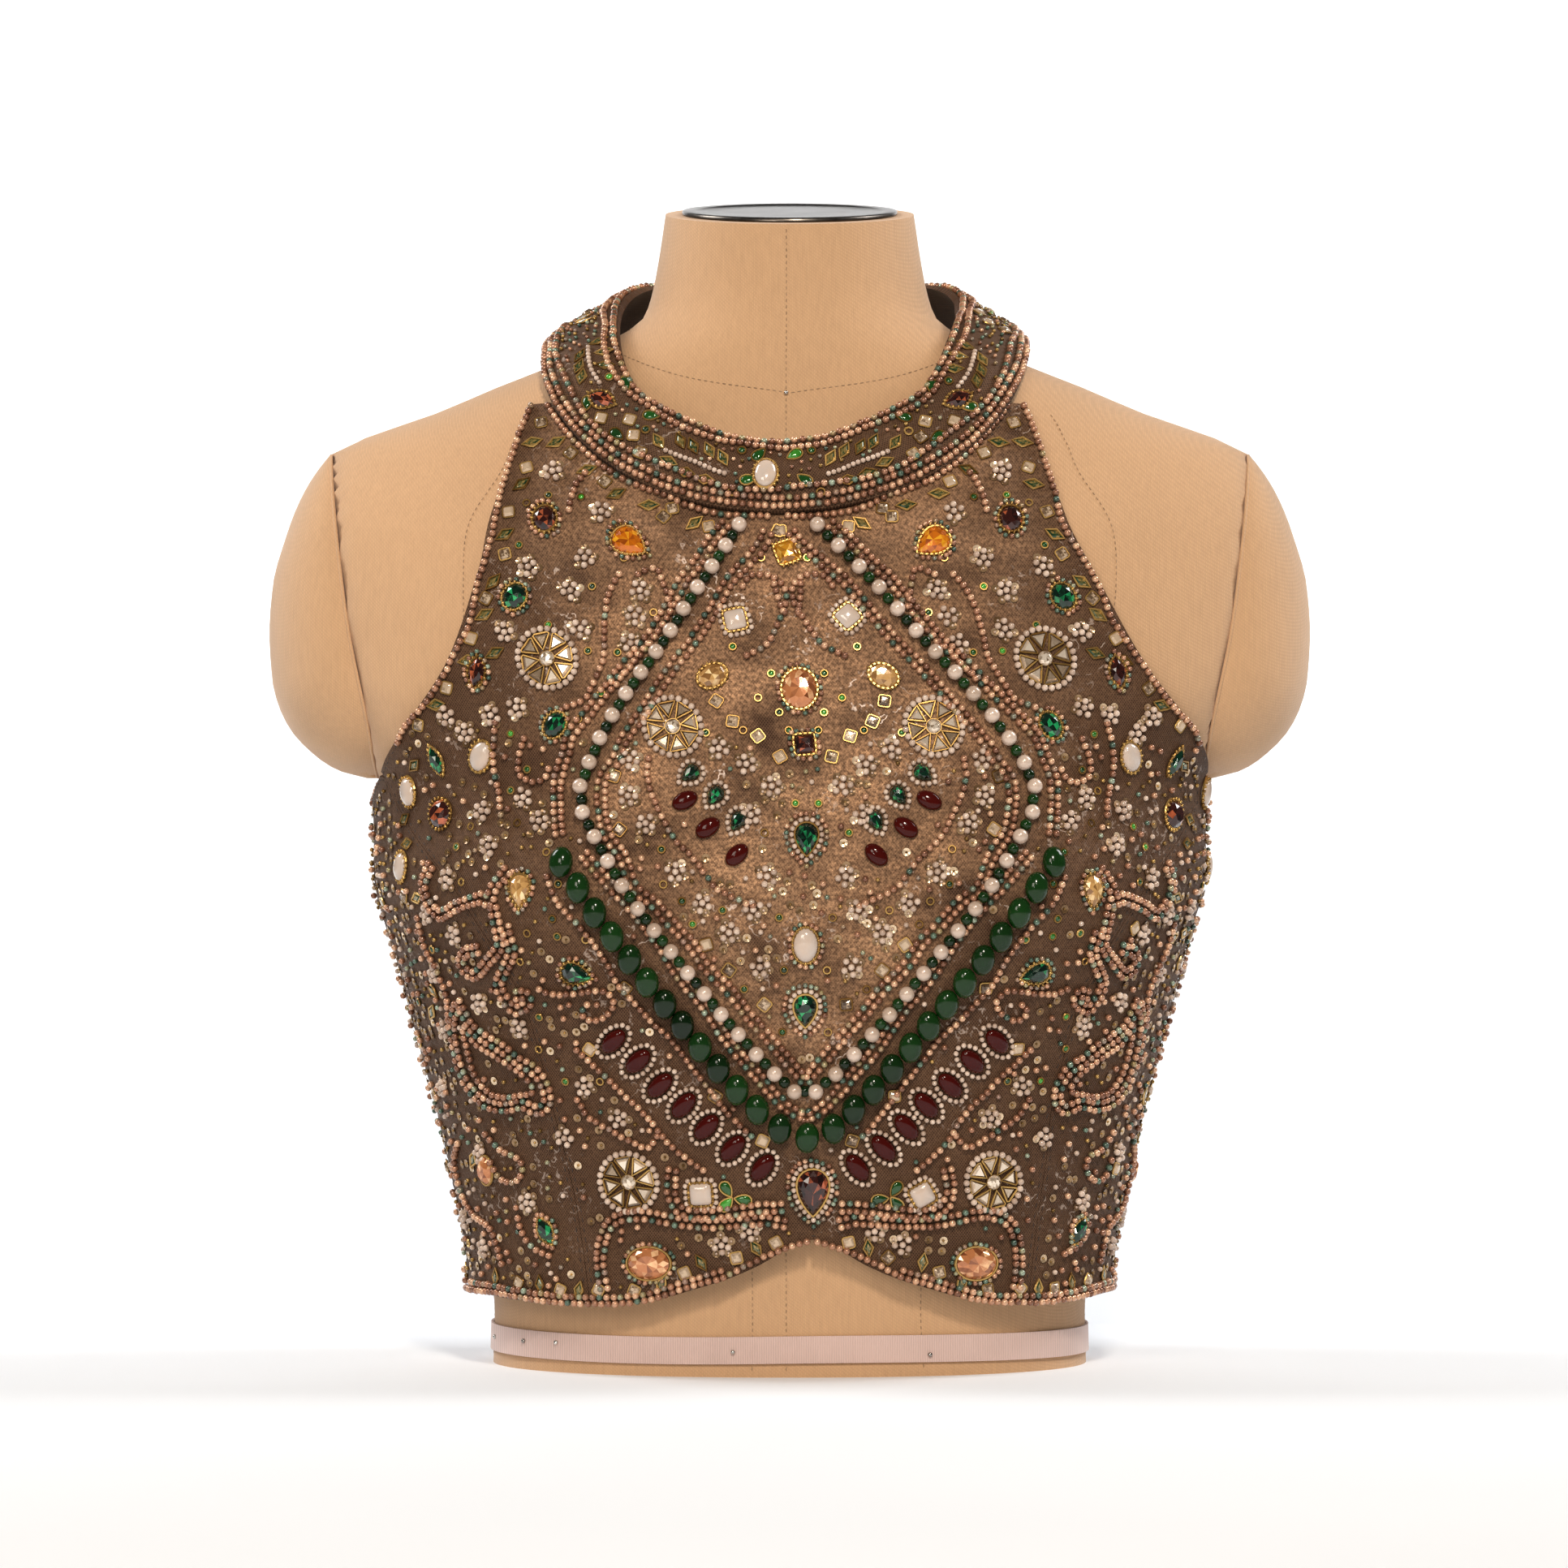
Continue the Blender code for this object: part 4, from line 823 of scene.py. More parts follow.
# Soft creases of the cloth, as ridges between two chart points on the right of the picture
Crease = namedtuple("Crease", "distance_a height_a distance_b height_b spread rise")
CREASES = table(
    Crease,
    4, 206, 58, 201, 2.6, 0.9,
    -6, 199, 44, 195, 2.2, 0.7,
    20, 191, 76, 196, 2.4, 0.6,
    -30, 204, -72, 196, 2.4, 0.7,
    -22, 212, -60, 210, 2.2, 0.5,
    8, 168, 40, 163, 2.0, 0.4,
    -38, 345, -14, 318, 2.4, 0.5,
    -34, 350, -26, 322, 2.0, 0.4,
    32, 345, 18, 322, 2.2, 0.4,
    96, 210, 112, 182, 3.2, 0.7,
    -100, 212, -116, 184, 3.0, 0.7,
    88, 120, 104, 82, 3.4, 0.8,
    -86, 118, -100, 78, 3.4, 0.8,
    120, 226, 150, 214, 3.0, 0.6,
    -118, 228, -148, 215, 3.0, 0.6,
    140, 120, 150, 62, 4.5, 0.8,
    -138, 124, -150, 60, 4.5, 0.8,
    165, 205, 176, 160, 3.6, 0.7,
    -166, 204, -176, 162, 3.6, 0.7,
    230, 215, 246, 150, 4.5, 0.8,
    -232, 212, -247, 152, 4.5, 0.8,
    262, 120, 282, 60, 5.0, 0.9,
    -260, 118, -280, 64, 5.0, 0.9,
    300, 350, 318, 300, 4.0, 0.6,
    -298, 350, -318, 304, 4.0, 0.6,
)


def relief(distance, height):
    """How far the cloth's creases lift it at chart points."""
    lift = np.zeros(len(distance))
    for crease in CREASES:
        start = np.array([crease.distance_a, crease.height_a])
        along = np.array([crease.distance_b, crease.height_b]) - start
        length = np.linalg.norm(along)
        along = along / length
        offset = np.stack([distance, height], axis=1) - start
        share = offset @ along / length
        aside = offset @ np.array([-along[1], along[0]])
        bend = 1.6 * np.sin(share * math.pi * 1.5)
        ends = np.exp(-(((share - 0.5) / 0.42) ** 4))
        lift = lift + crease.rise * ends * np.exp(-(((aside - bend) / crease.spread) ** 2))
    return lift


def framed(along, up):
    """Right-handed frames from two directions: along, up and out."""
    out = unit(np.cross(along, up))
    along = unit(along)
    return np.stack([along, np.cross(out, along), out], axis=1)


class ClothSurface:
    """The inside of the blouse's cloth as a map from its chart."""

    LOWEST, HIGHEST, ROW_STEP, TURNS, SAMPLES = 16.0, 432.0, 2.0, 721, 1440
    REACH, FRONT = 1.5, 60

    def __init__(self):
        self.heights = np.arange(self.LOWEST, self.HIGHEST + 0.1, self.ROW_STEP)
        turns = np.radians(np.linspace(-180, 180, self.TURNS))
        middle = self.TURNS // 2
        self.even, self.girths, self.rings, self.arcs = [], [], [], []
        for height in self.heights:
            ring = section(height, turns, True)
            arc = lengths_along(ring)
            front = slice(middle - self.FRONT, middle + self.FRONT + 1)
            arc = arc - np.interp(DRIFT_OF(height), ring[front, 0], arc[front])
            girth = arc[-1] - arc[0]
            places = np.linspace(-girth / 2, girth / 2, self.SAMPLES + 1)
            wrapped = (places - arc[0]) % girth + arc[0]
            self.even.append(np.stack([np.interp(wrapped, arc, ring[:, k]) for k in (0, 1)], 1))
            self.girths.append(girth)
            self.rings.append(ring)
            self.arcs.append(arc)
        self.even = np.array(self.even)
        self.girths = np.array(self.girths)

    def girth(self, height):
        return float(np.interp(height, self.heights, self.girths))

    def flat(self, distance, height):
        height = np.clip(height, self.LOWEST, self.HIGHEST - self.ROW_STEP)
        row = ((height - self.LOWEST) / self.ROW_STEP).astype(int)
        share = (height - self.heights[row]) / self.ROW_STEP
        found = 0
        for step, weight in ((0, 1 - share), (1, share)):
            place = (distance / self.girths[row + step] + 0.5) % 1 * self.SAMPLES
            first = np.minimum(place.astype(int), self.SAMPLES - 1)
            part = (place - first)[:, None]
            near, far = self.even[row + step, first], self.even[row + step, first + 1]
            found = found + (near * (1 - part) + far * part) * weight[:, None]
        return np.column_stack([found, height])

    def frames(self, distance, height):
        reach = self.REACH
        along = self.flat(distance + reach, height) - self.flat(distance - reach, height)
        up = self.flat(distance, height + reach) - self.flat(distance, height - reach)
        return framed(along, up)

    def seat(self, distance, height, off):
        """Points this far off the plain inside, with the creases, and the frames there."""
        frames = self.frames(distance, height)
        lift = (off + relief(distance, height))[:, None]
        return self.flat(distance, height) + lift * frames[:, 2], frames

    def distance_at(self, across, height):
        """Distance from the centre front line of the front point this far across."""
        i = int(round((height - self.LOWEST) / self.ROW_STEP))
        ring, arc = self.rings[i], self.arcs[i]
        quarter = self.TURNS // 4
        front = slice(quarter, 3 * quarter + 1)
        return float(np.interp(across, ring[front, 0], arc[front]))


CLOTH_INSIDE = ClothSurface()


START_DEPTH = -100.0
VIEW_ROUNDS = 6


def seen_at(find_depth, pixel_down, across_of, depth=START_DEPTH, rounds=VIEW_ROUNDS):
    """Across, height and depth of a point of the photograph, on a surface of known depth."""
    for _ in range(rounds):
        scale = MM_PER_PIXEL * (VIEW_DISTANCE + depth) / VIEW_DISTANCE
        height = VIEW_HEIGHT + (VIEW_ROW - pixel_down) * scale
        across = across_of(scale, height)
        depth = find_depth(across, height)
    return across, height, depth


def pixel_across(spot):
    """How the scale at a point of the photograph gives its across."""
    return lambda scale, _: VIEW_ACROSS + (spot.across - VIEW_ROW) * scale


def cloth_depth(across, height):
    height = min(max(height, ClothSurface.LOWEST), ClothSurface.HIGHEST)
    distance = CLOTH_INSIDE.distance_at(across, height)
    return CLOTH_INSIDE.flat(np.array([distance]), np.array([height]))[0, 1] - CLOTH


def placed_from_view(across, down, side):
    """Chart point of a stone: across is from the centre front line, to the given side."""
    place, height, _ = seen_at(
        cloth_depth, down, lambda scale, height: DRIFT_OF(height) + side * across * scale
    )
    return CLOTH_INSIDE.distance_at(place, height), height


def charted(path):
    """Chart points of points of the photograph."""
    found = []
    for spot in path:
        place, height, _ = seen_at(cloth_depth, spot.down, pixel_across(spot))
        found.append((CLOTH_INSIDE.distance_at(place, height), height))
    return np.array(found)


class CollarSurface:
    """The collar band's inside, by distance round from the centre front and height on the band."""

    TURNS, REACH, SEEN_TURN, SEEN_STEP = 721, 3, 95, 0.6

    def __init__(self):
        edges = {side: (lower_edge(side), upper_edge(side)) for side in (-1, 1)}
        self.turns = np.linspace(-180, 180, self.TURNS)
        low, high = [], []
        for turn in self.turns:
            lower, upper = edges[1 if turn >= 0 else -1]
            low.append([curve(abs(turn)) for curve in lower])
            high.append([curve(abs(turn)) for curve in upper])
        self.low, self.high = np.array(low), np.array(high)
        middle = (self.low + self.high) / 2
        arc = lengths_along(middle)
        self.arc = arc - arc[len(arc) // 2]

    def edge(self, points, turn):
        return np.stack([np.interp(turn, self.turns, points[:, k]) for k in range(3)], axis=1)

    def band(self, turn, share):
        low, high = self.edge(self.low, turn), self.edge(self.high, turn)
        return low + (high - low) * share[:, None]

    def distance(self, turn):
        return np.interp(turn, self.turns, self.arc)

    def seat(self, distance, up, off):
        turn = np.interp(distance, self.arc, self.turns)
        share = up / COLLAR_WIDTH
        ahead = self.band(np.minimum(turn + self.REACH, 180), share)
        ahead = ahead - self.band(np.maximum(turn - self.REACH, -180), share)
        frames = framed(ahead, self.edge(self.high, turn) - self.edge(self.low, turn))
        bulge = COLLAR_BULGE * 4 * share * (1 - share)
        return self.band(turn, share) + (off + bulge)[:, None] * frames[:, 2], frames

    def charted(self, path):
        """Band points of points of the photograph, by the nearest point of a fine grid."""
        ends = self.distance(-self.SEEN_TURN), self.distance(self.SEEN_TURN)
        distance, up = np.meshgrid(
            np.arange(*ends, self.SEEN_STEP), np.arange(0, COLLAR_WIDTH, self.SEEN_STEP)
        )
        distance, up = distance.ravel(), up.ravel()
        points, _ = self.seat(distance, up, np.full(len(up), COLLAR_CLOTH))
        nearness = VIEW_DISTANCE / (VIEW_DISTANCE + points[:, 1]) / MM_PER_PIXEL
        across = VIEW_ROW + (points[:, 0] - VIEW_ACROSS) * nearness
        down = VIEW_ROW - (points[:, 2] - VIEW_HEIGHT) * nearness
        found = []
        for spot in path:
            best = np.argmin((across - spot.across) ** 2 + (down - spot.down) ** 2)
            found.append((distance[best], up[best]))
        return np.array(found)


def lower_edge(side):
    """One half of the collar's lower edge: on the front, over the shoulder, on the back."""
    off = CLOTH + COLLAR_STAND_OFF
    turns, points = [], []
    for turn in range(0, NECKLINE_LAST_TURN + 1, 10):
        turns.append(turn)
        points.append(seat_one(*neckline_point(turn, side), off))
    for row in FREE_EDGE:
        turns.append(row.turn)
        points.append((SWAY_OF(row.turn) + side * row.across, row.depth, row.height))
    for turn in range(BACK_NECK_FIRST_TURN, 181, 10):
        share = (180 - turn) / (180 - BACK_NECK_FIRST_TURN)
        distance = side * (half_girth(BACK_NECK_HEIGHT) - share * BACK_NECK_REACH)
        turns.append(turn)
        points.append(seat_one(distance, BACK_NECK_HEIGHT, off))
    return [Curve(turns, [point[k] for point in points]) for k in range(3)]


def seat_one(distance, height, off):
    frames = CLOTH_INSIDE.frames(np.array([distance]), np.array([height]))
    flat = CLOTH_INSIDE.flat(np.array([distance]), np.array([height]))
    return (flat + off * frames[:, 2])[0]


def upper_edge(side):
    """One half of the collar's upper edge."""
    turns = [row.turn for row in UPPER_EDGE]
    across = [SWAY_OF(row.turn) + side * row.across for row in UPPER_EDGE]
    depths = [row.depth for row in UPPER_EDGE]
    heights = [row.height for row in UPPER_EDGE]
    return [Curve(turns, values) for values in (across, depths, heights)]


Shape = namedtuple("Shape", "points faces tones")


def shape(points, faces, tones=None):
    points = np.array(points, float)
    return Shape(points, np.array(faces, int), np.zeros(len(points)) if tones is None else tones)


def lattice(rows, count, closed=False, first=0):
    """Quads between rings of this many points; when closed, the last ring meets the first."""
    quads = []
    for row in range(rows if closed else rows - 1):
        low, high = first + row * count, first + (row + 1) % rows * count
        for i in range(count):
            j = (i + 1) % count
            quads.append((low + i, low + j, high + j, high + i))
    return quads


def halves(quads, order=(0, 1, 2, 3)):
    """Two triangles for each quad, with its corners taken in this order."""
    corners = [[quad[k] for k in order] for quad in quads]
    return [face for a, b, c, d in corners for face in ((a, b, c), (a, c, d))]


def ball(segments, bands):
    """A round bead one across."""
    points = [(0, 0, -0.5)]
    for band in range(1, bands):
        polar = math.pi * band / bands
        radius, height = 0.5 * math.sin(polar), -0.5 * math.cos(polar)
        for i in range(segments):
            angle = 2 * math.pi * i / segments
            points.append((radius * math.cos(angle), radius * math.sin(angle), height))
    points.append((0, 0, 0.5))
    last = len(points) - 1
    faces = halves(lattice(bands - 1, segments, first=1))
    for i in range(segments):
        j = (i + 1) % segments
        faces += [(0, 1 + j, 1 + i), (last, last - segments + i, last - segments + j)]
    return shape(points, faces)


def outline_of(kind, long, wide, count, start=0.0):
    """A stone's outline as points round it, anticlockwise from its top."""
    angles = (np.arange(count) + start) / count * 2 * math.pi
    sine, cosine = -np.sin(angles), np.cos(angles)
    if kind == "marquise":
        sine = sine * np.abs(sine)
    elif kind == "pear":
        sine = 1.12 * sine * ((1 - cosine) / 2) ** 0.4
    elif kind == "leaf":
        total = np.abs(sine) + np.abs(cosine)
        sine, cosine = sine / total, cosine / total
    elif kind == "square":
        sine = np.sign(sine) * np.abs(sine) ** 0.35
        cosine = np.sign(cosine) * np.abs(cosine) ** 0.35
    return np.stack([wide / 2 * sine, long / 2 * cosine], axis=1)


def level(ring, height, share=1.0):
    return np.column_stack([ring * share, np.full(len(ring), height)])


def faceted(facets, facet_tones):
    """Flat facets as triangles; each has its own corners and its own tone."""
    points, faces, tones = [], [], []
    for facet, tone in zip(facets, facet_tones):
        first = len(points)
        points += list(facet)
        tones += [tone] * len(facet)
        faces += [(first, first + k, first + k + 1) for k in range(1, len(facet) - 1)]
    return shape(points, faces, np.array(tones))


def cut_stone(kind, long, wide, rise, chance):
    """A faceted stone, with many facets when it is large."""
    count = 12 if long >= LARGE_STONE else 8
    whole = outline_of(kind, long, wide, 2 * count)
    foot, girdle = level(whole, 0.0, 0.92), level(whole, 0.34 * rise)
    middle = level(whole[1::2], 0.74 * rise, 0.8)
    table = level(whole[0::2], rise, 0.54)
    centre = np.array([0, 0, rise * 1.02])
    facets = []
    for i in range(count):
        a, b, c = 2 * i, 2 * i + 1, (2 * i + 2) % (2 * count)
        j = (i + 1) % count
        facets.append((foot[a], foot[b], girdle[b], girdle[a]))
        facets.append((foot[b], foot[c], girdle[c], girdle[b]))
        facets.append((girdle[a], girdle[b], middle[i]))
        facets.append((girdle[b], girdle[c], middle[i]))
        facets.append((middle[i], girdle[c], middle[j], table[j]))
        facets.append((table[i], middle[i], table[j]))
        facets.append((table[i], table[j], centre))
    # A random tone on each facet paints the light reflected inside the stone, from painted shade to
    # painted highlight
    return faceted(facets, [chance.random() for _ in facets])


# Heights of a cabochon's rings and their shares of its outline
DOME_RINGS = ((0, 0.94), (0.3, 1.0), (0.62, 0.9), (0.86, 0.66), (0.97, 0.34))


def dome(kind, long, wide, rise, count=20):
    """A smooth cabochon."""
    outline = outline_of("oval" if kind == "dome" else kind, long, wide, count)
    rings = [level(outline, height * rise, share) for height, share in DOME_RINGS]
    points = np.vstack(rings + [[[0, 0, rise]]])
    top = len(points) - 1
    last = top - count
    faces = halves(lattice(len(rings), count))
    faces += [(last + i, last + (i + 1) % count, top) for i in range(count)]
    return shape(points, faces)


def tube(path, way, thickness, sides):
    """Points of a closed wire along a closed path that lies square to this way."""
    ahead = unit(np.roll(path, -1, axis=0) - np.roll(path, 1, axis=0))
    out = np.cross(ahead, way)
    points = []
    for k in range(sides):
        angle = 2 * math.pi * k / sides
        aside = math.cos(angle) * out + math.sin(angle) * np.array(way)
        points.append(path + thickness / 2 * aside)
    return np.vstack(points)


def rim(outline, height, thickness):
    """A closed wire along a flat closed outline."""
    points = tube(level(np.array(outline), height), (0, 0, 1), thickness, RIM_SIDES)
    return shape(points, halves(lattice(RIM_SIDES, len(outline), True), (1, 0, 3, 2)))


def disc_with_hole(outer, hole, cup, thick):
    """A cupped sequin."""
    round_it = circle(np.arange(SEQUIN_SIDES) / SEQUIN_SIDES * 2 * math.pi)
    profile = (
        (hole, 0), (outer * 0.6, cup * 0.4), (outer, cup), (outer, cup + thick),
        (outer * 0.6, cup * 0.4 + thick), (hole, thick),
    )
    points = np.vstack([level(round_it, height, radius) for radius, height in profile])
    return shape(points, halves(lattice(len(profile), SEQUIN_SIDES, True), (0, 3, 2, 1)))


def scaled(part, *scale):
    return part._replace(points=part.points * scale)


class Sewn:
    """Everything small, gathered by finish and place into joined meshes."""

    def __init__(self):
        self.heaps = {}

    def add(self, finish, place, part, centres, frames, sizes=1.0, tones=None):
        """Copies of one shape at these centres and frames."""
        count = len(centres)
        if not count:
            return
        sizes = np.broadcast_to(np.asarray(sizes, float), (count,))
        local = part.points[None] * sizes[:, None, None]
        points = centres[:, None] + np.einsum("nvk,nkj->nvj", local, frames)
        own = part.tones[None] + (np.zeros(count) if tones is None else tones)[:, None]
        self.heaps.setdefault((finish, place), []).append((points, part.faces, own))

    def build(self):
        for (finish, place), batches in sorted(self.heaps.items()):
            points, faces, tones, first = [], [], [], 0
            for batch, part_faces, own in batches:
                count, size = batch.shape[:2]
                starts = first + np.arange(count) * size
                points.append(batch.reshape(-1, 3))
                faces.append((part_faces[None] + starts[:, None, None]).reshape(-1, 3))
                tones.append(own.ravel())
                first += count * size
            obj = mesh_object(
                f"{finish}_{place}", np.vstack(points), np.vstack(faces), FINISHES[finish],
                smooth=finish not in FLAT_FINISHES, tones=np.concatenate(tones),
            )
            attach(obj, "root")


def mesh_object(name, points, faces, materials, smooth=True, tones=None, chart=None, second=()):
    """One object from points in millimetres; the faces in second take the second material."""
    mesh = bpy.data.meshes.new(name)
    mesh.from_pydata(np.asarray(points) * MM, [], [tuple(int(i) for i in face) for face in faces])
    for material in materials if isinstance(materials, (list, tuple)) else (materials,):
        mesh.materials.append(material)
    if len(second):
        index = np.zeros(len(mesh.polygons), int)
        index[list(second)] = 1
        mesh.polygons.foreach_set("material_index", index)
    if tones is not None:
        layer = mesh.attributes.new("tone", "FLOAT", "POINT")
        layer.data.foreach_set("value", np.asarray(tones, np.float32))
    if chart is not None:
        layer = mesh.uv_layers.new(name="chart")
        corners = np.empty(len(mesh.loops), int)
        mesh.loops.foreach_get("vertex_index", corners)
        places = np.asarray(chart)[corners] / CHART_UNIT
        layer.data.foreach_set("uv", places.astype(np.float32).ravel())
    if smooth:
        mesh.shade_smooth()
        mesh.set_sharp_from_angle(angle=math.radians(SMOOTH_UNDER))
    else:
        mesh.shade_flat()
    mesh.update()
    obj = bpy.data.objects.new(name, mesh)
    bpy.context.scene.collection.objects.link(obj)
    return obj


def start_material(name, roughness=0.5, metallic=0.0, **sockets):
    """A new material with its Principled shader's constant values."""
    material = bpy.data.materials.new(name)
    material.use_nodes = True
    shader = material.node_tree.nodes["Principled BSDF"]
    shader.inputs["Roughness"].default_value = roughness
    shader.inputs["Metallic"].default_value = metallic
    for socket, value in sockets.items():
        shader.inputs[socket.replace("_", " ")].default_value = value
    return material, material.node_tree, shader


def node(tree, kind, links=None, **settings):
    """A node with its settings and its inputs, each a socket to link or a value."""
    made = tree.nodes.new(kind)
    for key, value in settings.items():
        setattr(made, key, value)
    for key, value in (links or {}).items():
        if isinstance(value, bpy.types.NodeSocket):
            tree.links.new(value, made.inputs[key])
        else:
            made.inputs[key].default_value = value
    return made


def ramp(tree, factor, *stops):
    """Colours along a factor, from pairs of place and colour."""
    made = node(tree, "ShaderNodeValToRGB", {"Fac": factor})
    elements = made.color_ramp.elements
    while len(elements) < len(stops):
        elements.new(0.5)
    for element, (place, colour) in zip(elements, stops):
        element.position = place
        element.color = (*colour, 1.0)
    return made.outputs["Color"]


def blended(tree, share, first, second):
    """A mix of two colours. The mix node's factor and colours are its inputs 0, 6 and 7."""
    inputs = {0: share, 6: first, 7: second}
    return node(tree, "ShaderNodeMix", inputs, data_type="RGBA", blend_type="MIX").outputs[2]


def noise(tree, where, scale, detail=3.0, roughness=0.55, stretch=(1, 1, 1)):
    if stretch != (1, 1, 1):
        where = node(tree, "ShaderNodeMapping", {"Vector": where, "Scale": stretch}).outputs[0]
    made = node(
        tree, "ShaderNodeTexNoise",
        {"Vector": where, "Scale": scale, "Detail": detail, "Roughness": roughness},
    )
    return made.outputs["Fac"]


def bands(tree, where, scale, turn=0.0, distortion=0.0):
    """Fine parallel threads at a turn, in degrees."""
    rotation = (0, 0, math.radians(turn))
    where = node(tree, "ShaderNodeMapping", {"Vector": where, "Rotation": rotation}).outputs[0]
    inputs = {"Vector": where, "Scale": scale, "Distortion": distortion}
    return node(tree, "ShaderNodeTexWave", inputs).outputs["Fac"]


def arithmetic(tree, operation, first, second):
    made = node(tree, "ShaderNodeMath", {0: first, 1: second}, operation=operation)
    return made.outputs[0]


def times(tree, first, second):
    return arithmetic(tree, "MULTIPLY", first, second)


def plus(tree, first, second):
    return arithmetic(tree, "ADD", first, second)


def mask(tree, factor, low, high):
    """Black up to the low place of a factor and white from the high one."""
    return ramp(tree, factor, (low, (0, 0, 0)), (high, (1, 1, 1)))


def toning(tree, factor, colour, *steps):
    """One colour at several strengths along a factor, from pairs of place and strength."""
    stops = [(place, [v * strength for v in colour]) for place, strength in steps]
    return ramp(tree, factor, *stops)


def bump(tree, shader, height, strength, distance):
    made = node(
        tree, "ShaderNodeBump", {"Height": height, "Strength": strength, "Distance": distance}
    )
    tree.links.new(made.outputs["Normal"], shader.inputs["Normal"])


def local_place(tree):
    return node(tree, "ShaderNodeTexCoord").outputs["Object"]


def net_cloth(name):
    """Fine net over a bronze ground, with a soft gold shimmer where the tone layer says, and painted
    glints.
    """
    material, tree, shader = start_material(
        name, 0.6, Sheen_Weight=0.04, Sheen_Roughness=0.4, Specular_IOR_Level=0.15
    )
    chart = node(tree, "ShaderNodeUVMap", uv_map="chart").outputs["UV"]
    tone = node(tree, "ShaderNodeAttribute", attribute_name="tone").outputs["Fac"]
    ways = [bands(tree, chart, NET_SCALE, turn, 0.6) for turn in (NET_TURN, -NET_TURN)]
    threads = arithmetic(tree, "MAXIMUM", *ways)
    netting = mask(tree, threads, 0.55, 0.92)
    base = toning(tree, noise(tree, chart, 5.0, 4.0), CLOTH_GROUND, (0.3, 0.85), (0.7, 1.15))
    base = blended(tree, times(tree, netting, 0.8), base, (*CLOTH_THREAD, 1))
    clouds = mask(tree, noise(tree, chart, 2.2, 7.0, 0.72, (1.0, 1.5, 1.0)), 0.34, 0.62)
    grain = ramp(tree, noise(tree, chart, 70.0, 2.0), (0.38, (0.25, 0.25, 0.25)), (0.66, (1, 1, 1)))
    shimmer = times(tree, times(tree, clouds, grain), tone)
    base = blended(tree, shimmer, base, (*FOIL, 1))
    # Painted glints: thin squiggles of near-white in the base colour stand in for light sparkling off
    # the net; they also raise its metal share
    glint_lines = arithmetic(tree, "SUBTRACT", noise(tree, chart, 7.0, 3.0, 0.65), 0.5)
    glint_lines = arithmetic(tree, "ABSOLUTE", glint_lines, 0.0)
    glint_lines = ramp(tree, glint_lines, (0.0, (1, 1, 1)), (0.022, (0, 0, 0)))
    breaks = mask(tree, noise(tree, chart, 30.0, 2.0), 0.48, 0.56)
    where = mask(tree, noise(tree, chart, 2.1, 2.0), 0.52, 0.62)
    glints = times(tree, times(tree, glint_lines, breaks), where)
    glints = times(tree, glints, arithmetic(tree, "POWER", tone, 0.5))
    tree.links.new(blended(tree, glints, base, (*GLINT, 1)), shader.inputs["Base Color"])
    shine = arithmetic(tree, "MAXIMUM", shimmer, glints)
    tree.links.new(times(tree, shine, 0.55), shader.inputs["Metallic"])
    rough = arithmetic(tree, "SUBTRACT", 0.68, times(tree, shine, 0.3))
    tree.links.new(rough, shader.inputs["Roughness"])
    bump(tree, shader, plus(tree, threads, grain), 0.5, 0.0003)
    return material


def plain_cloth(name, colour):
    """A plain woven cloth, charted."""
    material, tree, shader = start_material(name, 0.8, Sheen_Weight=0.3)
    chart = node(tree, "ShaderNodeUVMap", uv_map="chart").outputs["UV"]
    weave = times(tree, bands(tree, chart, WEAVE_SCALE), bands(tree, chart, WEAVE_SCALE, 90.0))
    shade = plus(tree, times(tree, weave, 0.4), noise(tree, chart, 3.0))
    shades = toning(tree, shade, colour, (0.3, 0.75), (0.9, 1.2))
    tree.links.new(shades, shader.inputs["Base Color"])
    bump(tree, shader, weave, 0.4, 0.0002)
    return material


def linen(name, colour):
    """The form's tight tan cover: a fine twill with slubs and soft toning."""
    material, tree, shader = start_material(name, 0.86, Sheen_Weight=0.2, Sheen_Roughness=0.5)
    where = local_place(tree)
    twill = bands(tree, where, 420.0, 0.0, 0.8)
    aslant = {"Vector": where, "Rotation": (0, 0.9, 0.35)}
    aslant = node(tree, "ShaderNodeMapping", aslant).outputs[0]
    inputs = {"Vector": aslant, "Scale": 300.0, "Distortion": 0.5}
    cross = node(tree, "ShaderNodeTexWave", inputs).outputs["Fac"]
    weave = times(tree, twill, cross)
    slubs = noise(tree, where, 1.0, 4.0, 0.6, (700, 700, 120))
    clouds = noise(tree, where, 9.0, 3.0)
    shade = plus(tree, times(tree, slubs, 0.35), times(tree, clouds, 0.35))
    shade = plus(tree, shade, times(tree, weave, 0.22))
    shades = toning(tree, shade, colour, (0.2, 0.78), (0.65, 1.10))
    tree.links.new(shades, shader.inputs["Base Color"])
    bump(tree, shader, plus(tree, weave, slubs), 0.35, 0.0002)
    return material


def tape(name, colour):
    """Ribbed cotton tape."""
    material, tree, shader = start_material(name, 0.75, Sheen_Weight=0.3)
    where = local_place(tree)
    upright = node(tree, "ShaderNodeMapping", {"Vector": where, "Scale": (1, 1, 0.12)}).outputs[0]
    ribs = node(tree, "ShaderNodeTexWave", {"Vector": upright, "Scale": 330.0}).outputs["Fac"]
    shade = plus(tree, times(tree, ribs, 0.5), noise(tree, where, 30.0))
    shades = toning(tree, shade, colour, (0.3, 0.84), (0.95, 1.12))
    tree.links.new(shades, shader.inputs["Base Color"])
    bump(tree, shader, ribs, 0.5, 0.0002)
    return material


